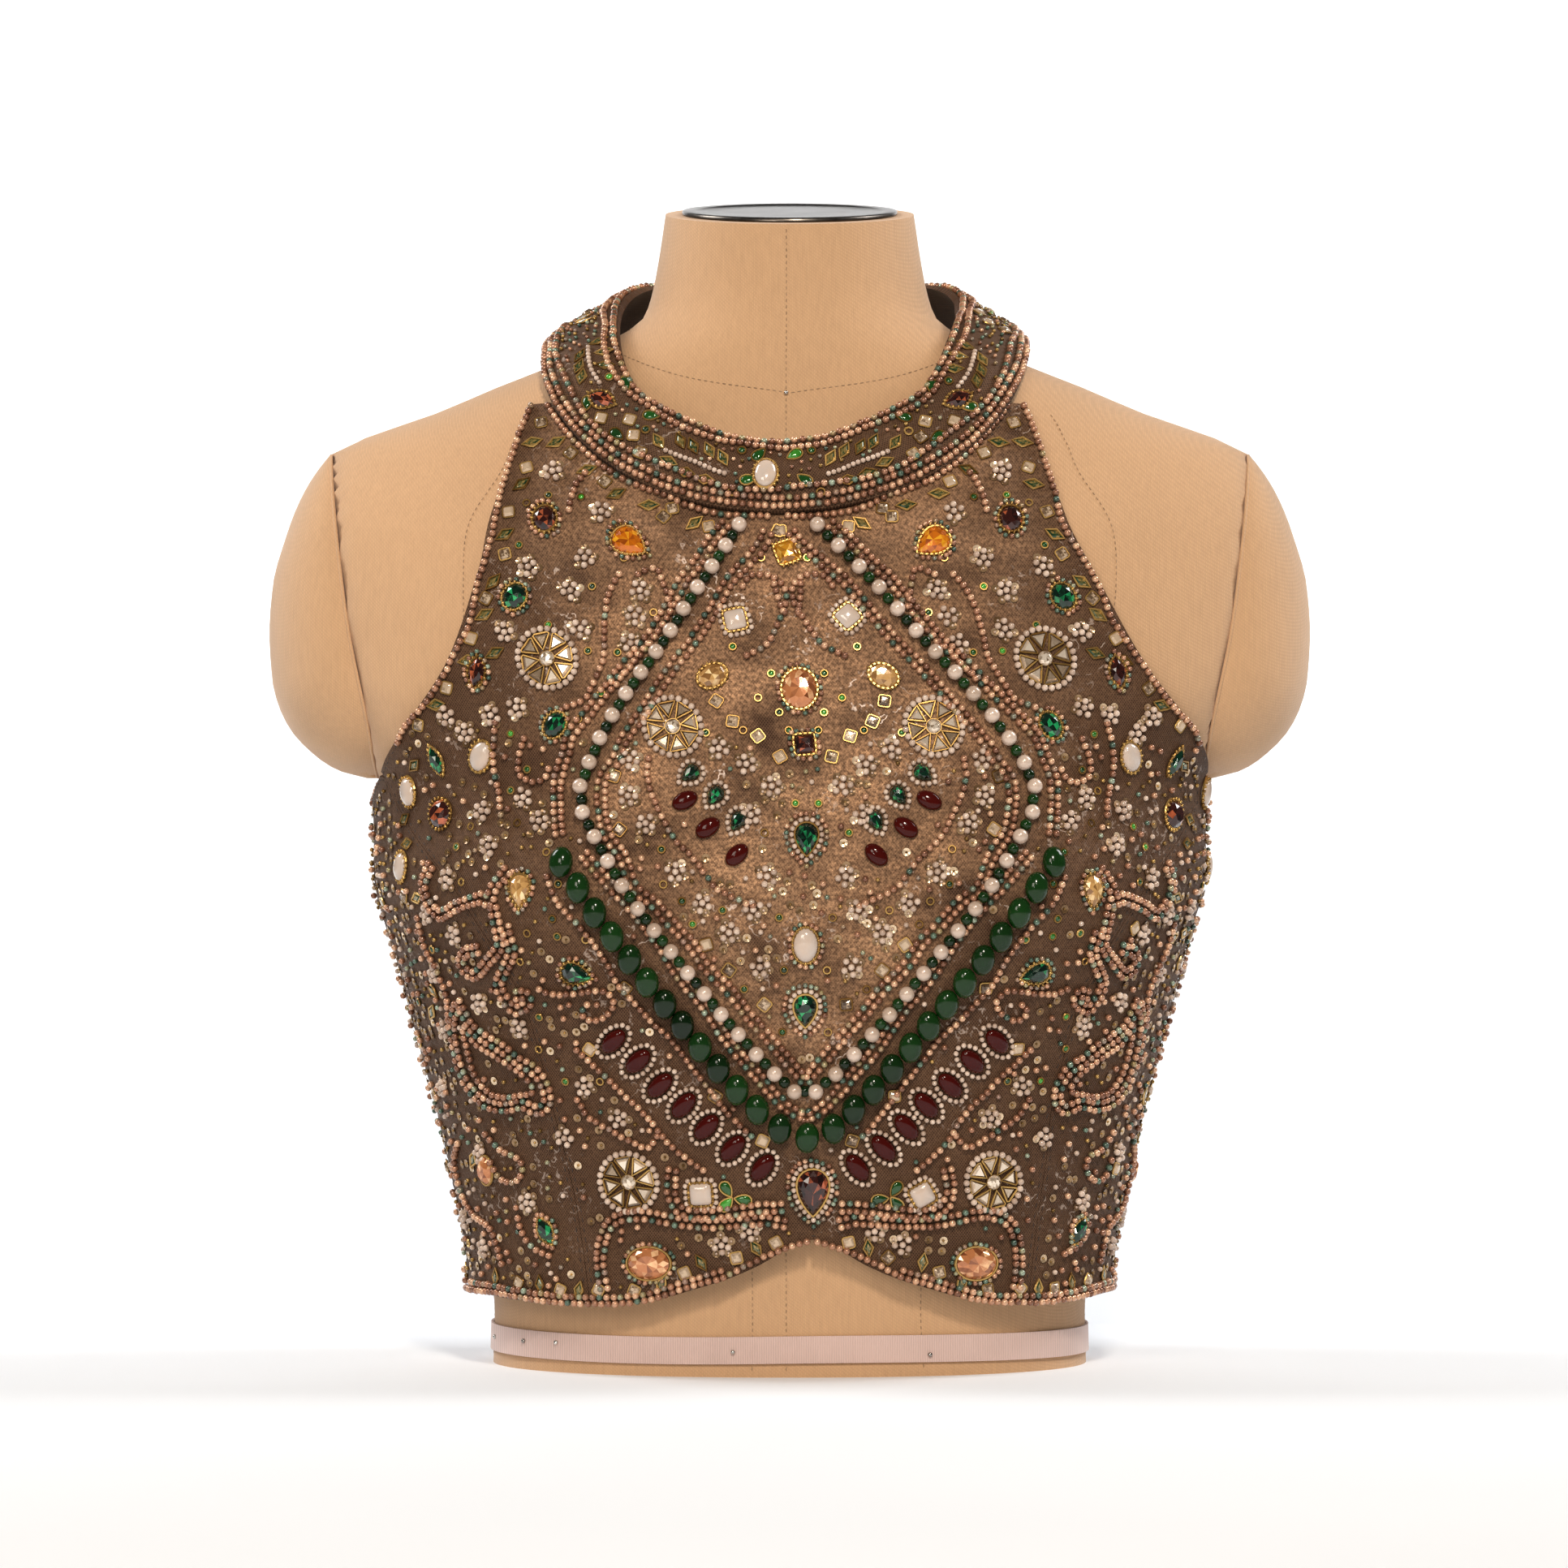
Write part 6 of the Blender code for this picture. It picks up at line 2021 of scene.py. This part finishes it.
def sew_lozenge(bench):
    """The pearl lozenge and the pointed row of big green beads."""
    for row, spacing in ((PEARL_ROW, PEARL_SPACING), (BEAD_ROW, BEAD_SPACING)):
        half = smooth_path(row, ("across", "down"))
        whole = np.vstack([half * [-1, 1], half[::-1][1:]])
        even = resampled(whole, spacing / MM_PER_PIXEL * CHEST_NEARNESS)
        points = np.array([placed_from_view(abs(a), d, 1 if a > 0 else -1) for a, d in even])
        if row is PEARL_ROW:
            between = (points[1:] + points[:-1]) / 2
            for finish, places, size, room in (
                ("pearls", points, PEARL_SIZE, PEARL_ROOM),
                ("green_beads", between, SMALL_GREEN_BEAD, BETWEEN_ROOM),
            ):
                bench.claim(places, room)
                bench.sew(finish, PEARL, places, size * PEARL_SINK, 0.0, size)
        else:
            bench.claim(points, BIG_BEAD_ROOM)
            leans = CHANCE.normal(0, 0.07, len(points))
            bead = scaled(PEARL, BEAD_WIDTH * 1.07, BEAD_LENGTH * 1.05, BEAD_WIDTH * 0.86)
            bench.sew("green_beads", bead, points, BIG_BEAD_LIFT, leans)


def sew_front(bench, outlines):
    for stone in SINGLE_STONES:
        bench.stone(stone, placed_from_view(stone.across, stone.down, 1), stone.turn)
    for stone in PAIRED_STONES:
        for side in (-1, 1):
            centre = placed_from_view(stone.across, stone.down, side)
            bench.stone(stone, centre, stone.turn * side)
    sew_lozenge(bench)
    for name, line in BEAD_LINES.items():
        colour = "mixed" if name in MIXED_LINES else "bronze"
        for path, _ in both_sides(charted(line)):
            if name in DOUBLE_LINES:
                bench.row(colour, path, ROW_ASIDE)
                bench.row("mixed", path, -ROW_ASIDE)
            else:
                bench.row(colour, path)
    for points, side in both_sides(charted(HEM_LEAVES)):
        for point in points:
            bench.leaf(point, side * CHANCE.normal(0, LEAF_SWAY), 0.9)
    for points, _ in both_sides(charted(DROPS_BY_SQUARE)):
        middle = points.mean(axis=0)
        for point in points:
            aim = point - middle
            bench.drop(point, math.atan2(aim[1], aim[0]) + math.pi / 2)
    motifs = {"rosette": ROSETTES, "square": SQUARES, "leaf": LEAVES, "dot": DOTS}
    for kind, pixels in motifs.items():
        for points, side in both_sides(charted(pixels)):
            for point in points:
                if kind == "leaf":
                    bench.leaf(point, side * (CHANCE.normal(0, LEAF_SWAY) - LEAF_TURN))
                elif kind == "square":
                    bench.square(point, CHANCE.random() * SQUARE_TURN)
                else:
                    getattr(bench, kind)(point)
    panels = list(outlines.values())[:3]
    sew_loose(bench, panels, FRONT_LOOSE)
    sew_dense_sides(bench, panels[1:])


# Where loose pieces are tried: step, nearest and farthest distance, lowest and highest height,
# and the most that are made
Field = namedtuple("Field", "step near far low high most")
FRONT_LOOSE = Field(5.4, 0, 240, 35, 360, 1150)
BACK_LOOSE = Field(11.0, 150, 400, 40, 400, 420)

# What a draw makes: a sequin, or the first bead whose limit it is under
LooseBead = namedtuple("LooseBead", "limit finish size room")
SEQUIN_LIMIT = 0.35
LOOSE_BEADS = table(
    LooseBead,
    0.6, "bronze_beads", 2.8, 1.5,
    0.75, "gold_beads", 1.9, 1.2,
    0.88, "teal_beads", TEAL_BEAD, 1.2,
    1.0, "white_beads", WHITE_BEAD, 1.2,
)
LOOSE_ROOM = 1.5
LOOSE_EDGE = 4


def fits(point, panels, edge):
    """Whether a chart point lies on one of these panels, clear of its edge."""
    return any(inside(point, panel) and clearance(point, panel) > edge for panel in panels)


def sew_loose(bench, panels, field):
    """Small sequins and seed beads wherever there is room."""
    made = 0
    for height in np.arange(field.low, field.high, field.step):
        for distance in np.arange(-field.far, field.far, field.step):
            point = np.array([distance, height]) + CHANCE.uniform(-0.4, 0.4, 2) * field.step
            if abs(point[0]) < field.near or made >= field.most:
                continue
            if not fits(point, panels, LOOSE_EDGE) or not bench.free(point, LOOSE_ROOM):
                continue
            pick = CHANCE.random()
            if pick < SEQUIN_LIMIT:
                bench.sequin(point)
            else:
                bead = next(row for row in LOOSE_BEADS if pick < row.limit)
                bench.bead(bead.finish, point, bead.size)
                bench.claim([point], bead.room)
            made += 1


SIDE_HEIGHTS = (38, 222, 6.4)
SIDE_DISTANCES = (138, 236, 7.2)
SIDE_WOBBLE = 2.2
SIDE_EDGE = 4.5
SIDE_ROOM = 2.2
LEAF_LIMIT = 0.34
SQUARE_LIMIT = 0.5
DOT_LIMIT = 0.72
ROSETTE_LIMIT = 0.86


def sew_dense_sides(bench, panels):
    """The crowded gold-set stones that stand out along the sides."""
    for side in (-1, 1):
        for height in np.arange(*SIDE_HEIGHTS):
            for distance in np.arange(*SIDE_DISTANCES):
                wobble = CHANCE.uniform(-SIDE_WOBBLE, SIDE_WOBBLE, 2)
                point = np.array([side * distance, height]) + wobble
                if not fits(point, panels, SIDE_EDGE) or not bench.free(point, SIDE_ROOM):
                    continue
                pick = CHANCE.random()
                if pick < LEAF_LIMIT:
                    bench.leaf(point, CHANCE.random() * HALF_TURN)
                elif pick < SQUARE_LIMIT:
                    bench.square(point, CHANCE.random() * SQUARE_TURN)
                elif pick < DOT_LIMIT:
                    bench.dot(point, 1.1)
                elif pick < ROSETTE_LIMIT:
                    bench.rosette(point)
                else:
                    bench.sequin(point)


BACK_SCROLLS = (
    "inner_stalk_of_amber", "outer_stalk_of_amber", "outer_flank", "inner_flank",
    "hook_round_square", "beside_rubies", "outer_point", "big_paisley", "inner_paisley",
    "side_loop", "side_curl", "under_rubies", "waist_wave", "arch_over_peach", "lower_side",
)
BACK_EDGE_INSET = 1.8
BACK_EDGE = 5.5
BACK_ROOM = 3.0
BACK_LEAF_TURN = 0.6
HEM_ROW_LIFT = 2.0
HEM_ROW_GAP = 4.6
OPENING_INSET = 5.0


def on_back_edge(point):
    """Whether the edge's bead row passes here: along the armhole, not on a seam or the neckline."""
    across, height = abs(point[0]), point[1]
    low, neck = BACK_ARMHOLE[-1].height, BACK_ARMHOLE[0].height
    if across < side_distance(height) + 60 and height > low + 2:
        return True
    return 235 < height < neck - 6 and across < half_girth(height) - 70


def sew_back(bench, outlines):
    """The back, finished plainly: edge rows, scrolls like the front's and small motifs."""
    scrolls = [charted(BEAD_LINES[name]) for name in BACK_SCROLLS]
    half = half_girth(220.0)
    neck = BACK_ARMHOLE[0].height
    panels = [outlines["back_left"], outlines["back_right"]]
    for side, outline in zip((1, -1), panels):

        def over(points):
            return np.column_stack([side * (half + points[:, 0]), points[:, 1]])

        line = shrunk(outline, BACK_EDGE_INSET)
        bench.row("bronze", [tuple(p) for p in line if on_back_edge(p)])
        hem = hem_line(side_distance(HEM_AT_SIDE) + 3, half - 6)
        hem = [(x * side, z + HEM_ROW_LIFT) for x, z in hem]
        bench.row("bronze", hem)
        bench.row("mixed", [(x, z + HEM_ROW_GAP) for x, z in hem])
        levels = np.linspace(neck - 12, 40, 60)
        bench.row("bronze", [(side * (half_girth(z) - OPENING_INSET), z) for z in levels])
        for points in scrolls:
            path = [tuple(p) for p in over(points) if fits(p, [outline], BACK_EDGE)]
            if len(path) > 3:
                bench.row("bronze", path)
        for pixels, kind in ((ROSETTES, "rosette"), (SQUARES, "square"), (DOTS, "dot")):
            for point in over(charted(pixels)):
                if fits(point, [outline], BACK_EDGE) and bench.free(point, BACK_ROOM):
                    getattr(bench, kind)(point)
        for point in over(charted(LEAVES)):
            if fits(point, [outline], BACK_EDGE) and bench.free(point, LEAF_ROOM):
                bench.leaf(point, side * BACK_LEAF_TURN)
    sew_loose(bench, panels, BACK_LOOSE)


# Rows of the collar by height on the band: straight ones, waving ones with their swing, and
# the rows of motifs and loose beads between them
COLLAR_ROWS = ((1.6, "bronze"), (4.7, "mixed"), (COLLAR_WIDTH - 1.4, "mixed"))
COLLAR_WAVES = ((8.4, "mixed", 0.9), (COLLAR_WIDTH - 5.2, "bronze", -0.7))
COLLAR_MOTIFS = (12.5, 19.5, 26.0)
COLLAR_BEADS = (9.5, 13.5, 17.5, 21.5, 25.0)
COLLAR_LOOSE = ("teal_beads", "bronze_beads", "gold_beads")
COLLAR_LAST_TURN = 178
COLLAR_PLAIN_TURN = 92


def sew_collar(bench):
    for stone in COLLAR_STONES:
        centre = (float(COLLAR.distance(stone.turn)), stone.share * COLLAR_WIDTH)
        bench.stone(stone, centre, stone.lean)
    ends = float(COLLAR.distance(COLLAR_LAST_TURN))
    for up, colour in COLLAR_ROWS:
        bench.row(colour, [(place, up) for place in np.arange(-ends, ends, 6.0)])
    for up, colour, swing in COLLAR_WAVES:
        places = np.arange(-ends + 4, ends - 4, 5.0)
        bench.row(colour, [(p, up + swing * math.sin(p / 9.0)) for p in places])
    for stem in COLLAR_STEMS:
        for path, _ in both_sides(COLLAR.charted(stem)):
            even = resampled(smooth_path([Cut(*p) for p in path], Cut._fields, 4), 2.2)
            bench.claim(even, 1.2)
            bench.bead("white_beads", even, WHITE_BEAD)
    leaves = COLLAR.charted(COLLAR_LEAVES)
    for side in (1, -1):
        flip = [side, 1]
        for leaf, point in zip(COLLAR_LEAVES, leaves):
            bench.leaf(point * flip, side * math.radians(leaf.turn), 0.95)
        for point in COLLAR.charted(COLLAR_DROPS):
            bench.drop(point * flip, side * CHANCE.uniform(0.6, 2.2))
        for point in COLLAR.charted(COLLAR_DOTS):
            bench.dot(point * flip, 1.15)
        for point in COLLAR.charted(COLLAR_SQUARES):
            bench.square(point * flip, CHANCE.random())
    far = float(COLLAR.distance(COLLAR_PLAIN_TURN))
    for side in (-1, 1):
        for place in np.arange(far, ends - 6, 7.5):
            for up in COLLAR_MOTIFS:
                point = np.array([side * place, up]) + CHANCE.uniform(-1.2, 1.2, 2)
                if not bench.free(point, 2.8):
                    continue
                pick = CHANCE.random()
                if pick < 0.4:
                    bench.leaf(point, CHANCE.random() * HALF_TURN, 0.9)
                elif pick < 0.7:
                    bench.dot(point)
                else:
                    bench.square(point, CHANCE.random())
    for place in np.arange(-ends, ends, 4.2):
        for up in COLLAR_BEADS:
            point = np.array([place, up]) + CHANCE.uniform(-1.3, 1.3, 2)
            if bench.free(point, 0.9):
                bench.bead(COLLAR_LOOSE[CHANCE.integers(3)], point, 1.8)
                bench.claim([point], 1.0)


def sew_seams(bench, outlines):
    """Pick stitches each side of the princess, side and centre back seams."""
    stitch = scaled(ball(6, 4), STITCH, 0.42, 0.3)
    for outline in outlines.values():
        line = shrunk(outline, SEAM_INSET)
        places = resampled(np.vstack([line, line[:1]]), STITCH_STEP)
        ahead = np.gradient(places, axis=0)
        turns = np.arctan2(ahead[:, 1], ahead[:, 0])
        keep = [i for i, p in enumerate(places) if bench.free(p, 0.6)]
        bench.sew("thread", stitch, places[keep], 0.05, turns[keep])


# Sewn seams of the form's cover: turns from the front in degrees against height
SeamPoint = namedtuple("SeamPoint", "turn height")
def seam(*values):
    return table(SeamPoint, *values)


def twins(*values):
    """A seam on the left and its mirror image on the right."""
    left = seam(*values)
    return left, tuple(point._replace(turn=-point.turn) for point in left)


CENTRE_FRONT_SEAM = seam(-1.5, 478, -1.5, 452, -1.5, 425, -1.5, 400, -1.0, 300, -1.0, 60, -1.0, 2)
CENTRE_BACK_SEAM = seam(180, 478, 180, 400, 180, 200, 180, 2)
PRINCESS_SEAMS = (
    seam(66, 394, 62, 370, 60, 330, 46, 200, 35, 120, 33, 60, 34, 2),
    seam(-66, 394, -62, 370, -60, 330, -46, 200, -12, 120, -10, 60, -10, 2),
)
FORM_SEAMS = (
    CENTRE_FRONT_SEAM, CENTRE_BACK_SEAM,
    *twins(92, 430, 93, 408, 94, 390),
    *PRINCESS_SEAMS,
    *twins(92, 238, 91, 120, 91, 2),
    *twins(118, 380, 128, 300, 140, 200, 146, 100, 144, 2),
)
NECK_SEAM = seam(0, 402, 35, 408, 60, 419, 90, 433, 130, 442, 180, 446)
TAPE_PINS = spots(610, 1647, 645, 1652, 685, 1654, 903, 1666, 1146, 1669)
PIN_DEPTH = -88.0
PIN_ROUNDS = 5
PIN_OUT = 0.5
NECK_PIN = SeamPoint(-1.5, 402)
NECK_PIN_OUT = 0.6
PIN_HEAD = 2.0
FORM_STITCH = 1.7
FORM_STITCH_STEP = 2.6
CAP_POINTS = 61
CAP_ROWS = 34


def form_seat(turns, heights, off):
    """Points on the bare form and frames there."""
    def at(turn, height):
        found = []
        for angle, level_of in zip(turn, height):
            flat = clipped(section(level_of, np.array([angle]), False), level_of)[0]
            found.append(tilted((flat[0], flat[1], level_of)))
        return np.array(found)

    reach = 0.02
    along = at(turns + reach, heights) - at(turns - reach, heights)
    up = at(turns, np.minimum(heights + 1, NECK_TOP)) - at(turns, np.maximum(heights - 1, 0))
    frames = framed(along, up)
    return at(turns, heights) + off * frames[:, 2], frames


def form_stitches(path):
    """Stitches along a seam of the form, from turns in degrees and heights."""
    smooth = smooth_path(path, ("turn", "height"), 16)
    turns, heights = np.radians(smooth[:, 0]), smooth[:, 1]
    places, _ = form_seat(turns, heights, 0.0)
    arc = lengths_along(places)
    steps = np.arange(FORM_STITCH_STEP / 2, arc[-1], FORM_STITCH_STEP)
    turns = np.interp(steps, arc, turns)
    heights = np.interp(steps, arc, heights)
    centres, frames = form_seat(turns, heights, 0.12)
    ahead = np.gradient(centres, axis=0)
    angle = np.arctan2((ahead * frames[:, 1]).sum(1), (ahead * frames[:, 0]).sum(1))
    stitch = scaled(ball(6, 4), FORM_STITCH, 0.5, 0.34)
    SEWN.add("form_thread", "form", stitch, centres, turned(frames, angle), 1.0,
             CHANCE.random(len(centres)))


CAP_CORD = 1.5
CAP_CORD_SIDES = 8


def build_cap_seams(cover):
    """A fine piping over the seam round each armhole plate."""
    heights = np.linspace(CAPS[0].height + 0.6, CAPS[-1].height - 0.4, 60)
    for name, side in (("left", 1), ("right", -1)):
        front, back = [], []
        for height in heights:
            reach = plate_half_depths(height)
            across = side * (PLATE_OF(height) + SEAM_GAP / 2)
            front.append((across, -reach[0], height))
            back.append((across, reach[1], height))
        path = np.array(front + back[::-1])
        points = tube(path, (1, 0, 0), CAP_CORD, CAP_CORD_SIDES)
        faces = [(a, d, c, b) for a, b, c, d in lattice(CAP_CORD_SIDES, len(path), True)]
        piping = mesh_object(f"cap_seam_{name}", points, faces, cover)
        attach(piping, "root")


def tape_depth(across, height):
    """Depth of the waist tape's outer face at the front."""
    ring = np.array(form_ring(height, TAPE_GAP + TAPE_CLOTH))
    front = ring[ring[:, 1] < 0]
    order = np.argsort(front[:, 0])
    return np.interp(across, front[order, 0], front[order, 1])


def sew_form():
    """Stitched seams of the cover, and the steel heads of the tape's pins and the neck's."""
    for path in FORM_SEAMS:
        form_stitches(path)
    for side in (-1, 1):
        form_stitches([point._replace(turn=side * point.turn) for point in NECK_SEAM])
    heads = []
    for spot in TAPE_PINS:
        across, height, depth = seen_at(
            tape_depth, spot.down, pixel_across(spot), PIN_DEPTH, PIN_ROUNDS
        )
        heads.append((across, depth - PIN_OUT, height))
    turns, heights = np.radians([NECK_PIN.turn]), np.array([float(NECK_PIN.height)])
    heads.append(tuple(form_seat(turns, heights, NECK_PIN_OUT)[0][0]))
    count = len(heads)
    frames = np.broadcast_to(np.eye(3), (count, 3, 3))
    tones = CHANCE.random(count)
    SEWN.add("steel_pins", "form", ball(12, 8), np.array(heads), frames, PIN_HEAD, tones)


COLLAR = CollarSurface()


def paper(name, points, faces, material):
    """One sheet of the studio's paper, in metres."""
    mesh = bpy.data.meshes.new(name)
    mesh.from_pydata(points, [], faces)
    mesh.shade_smooth()
    mesh.materials.append(material)
    obj = bpy.data.objects.new(name, mesh)
    bpy.context.scene.collection.objects.link(obj)


def stage():
    """A pale floor, and a narrow sweep behind the form that the side views look past."""
    material, tree, shader = start_material("studio_paper", 0.9)
    soft = noise(tree, local_place(tree), 2.0, 2.0)
    stops = ((0.3, (0.86, 0.885, 0.92)), (0.7, (0.89, 0.915, 0.95)))
    tree.links.new(ramp(tree, soft, *stops), shader.inputs["Base Color"])
    profile = [(SWEEP_FROM, 0.0)]
    for step in range(1, SWEEP_STEPS + 1):
        angle = math.pi / 2 * step / SWEEP_STEPS
        profile.append(
            (SWEEP_FROM + SWEEP_BEND * math.sin(angle), SWEEP_BEND * (1 - math.cos(angle)))
        )
    profile.append((SWEEP_FROM + SWEEP_BEND, SWEEP_TOP))
    points = [(side * SWEEP_REACH, y, z) for y, z in profile for side in (-1, 1)]
    faces = [(2 * i, 2 * i + 1, 2 * i + 3, 2 * i + 2) for i in range(len(profile) - 1)]
    paper("studio_sweep", points, faces, material)
    far = FLOOR_REACH
    corners = [(-far, -far, 0), (far, -far, 0), (far, SWEEP_FROM, 0), (-far, SWEEP_FROM, 0)]
    paper("studio_floor_front", corners, [(0, 1, 2, 3)], material)
    for name, side in (("studio_floor_left", -1), ("studio_floor_right", 1)):
        low, high = sorted((side * far, side * SWEEP_REACH))
        corners = [(low, SWEEP_FROM, 0), (high, SWEEP_FROM, 0), (high, far, 0), (low, far, 0)]
        paper(name, corners, [(0, 1, 2, 3)], material)


SWEEP_FROM = 0.2
SWEEP_BEND = 0.9
SWEEP_TOP = 1.0
SWEEP_REACH = 0.66
SWEEP_STEPS = 12
FLOOR_REACH = 3.6
Lamp = namedtuple("Lamp", "name place aim width power colour")
LAMPS = table(
    Lamp,
    "key_light", (0.25, -2.3, 1.9), (0, 0, 0.26), 0.34, 43.5, (1.0, 0.90, 0.78),
    "fill_light", (-0.9, -2.5, 1.2), (0, 0, 0.25), 0.8, 17.5, (1.0, 0.91, 0.80),
    "sparkle_left", (-0.5, -2.6, 0.6), (0, 0, 0.25), 0.06, 2.4, (1.0, 0.94, 0.86),
    "sparkle_right", (0.3, -2.7, 1.5), (0, 0, 0.25), 0.06, 2.4, (1.0, 0.94, 0.86),
    "backdrop_left", (-1.25, 0.35, 1.4), (-0.3, 1.1, 0.55), 0.8, 25.0, (1, 1, 1),
    "backdrop_right", (1.25, 0.35, 1.4), (0.3, 1.1, 0.55), 0.8, 25.0, (1, 1, 1),
)
WORLD_COLOUR = (0.96, 0.97, 1.0)
WORLD_STRENGTH = 0.08


def studio():
    scene = bpy.context.scene
    scene.view_settings.view_transform = "Standard"
    scene.view_settings.look = "None"
    world = bpy.data.worlds.new("studio")
    world.use_nodes = True
    background = world.node_tree.nodes["Background"]
    background.inputs["Color"].default_value = (*WORLD_COLOUR, 1)
    background.inputs["Strength"].default_value = WORLD_STRENGTH
    scene.world = world
    for lamp in LAMPS:
        data = bpy.data.lights.new(lamp.name, "AREA")
        data.shape = "SQUARE"
        data.size = lamp.width
        data.energy = lamp.power
        data.color = lamp.colour
        obj = bpy.data.objects.new(lamp.name, data)
        obj.location = lamp.place
        aim = Vector(lamp.aim) - Vector(lamp.place)
        obj.rotation_euler = aim.to_track_quat("-Z", "Y").to_euler()
        scene.collection.objects.link(obj)
    camera = bpy.data.cameras.new("camera")
    frame_width = FRAME_PIXELS * MM_PER_PIXEL
    camera.sensor_width = SENSOR
    camera.lens = SENSOR * VIEW_DISTANCE / frame_width
    camera.clip_end = 50
    holder = bpy.data.objects.new("camera", camera)
    holder.location = (VIEW_ACROSS * MM, -VIEW_DISTANCE * MM, VIEW_HEIGHT * MM)
    holder.rotation_euler = (math.radians(90), 0, 0)
    scene.collection.objects.link(holder)
    scene.camera = holder


def main():
    studio()
    stage()
    build_form()
    build_neck_plate()
    build_waist_tape()
    outlines = build_cloth()
    bodice = Bench(CLOTH_INSIDE, CLOTH, cloth_place)
    sew_front(bodice, outlines)
    sew_back(bodice, outlines)
    sew_seams(bodice, outlines)
    sew_collar(Bench(COLLAR, COLLAR_CLOTH, lambda point: "collar"))
    sew_form()
    SEWN.build()


main()
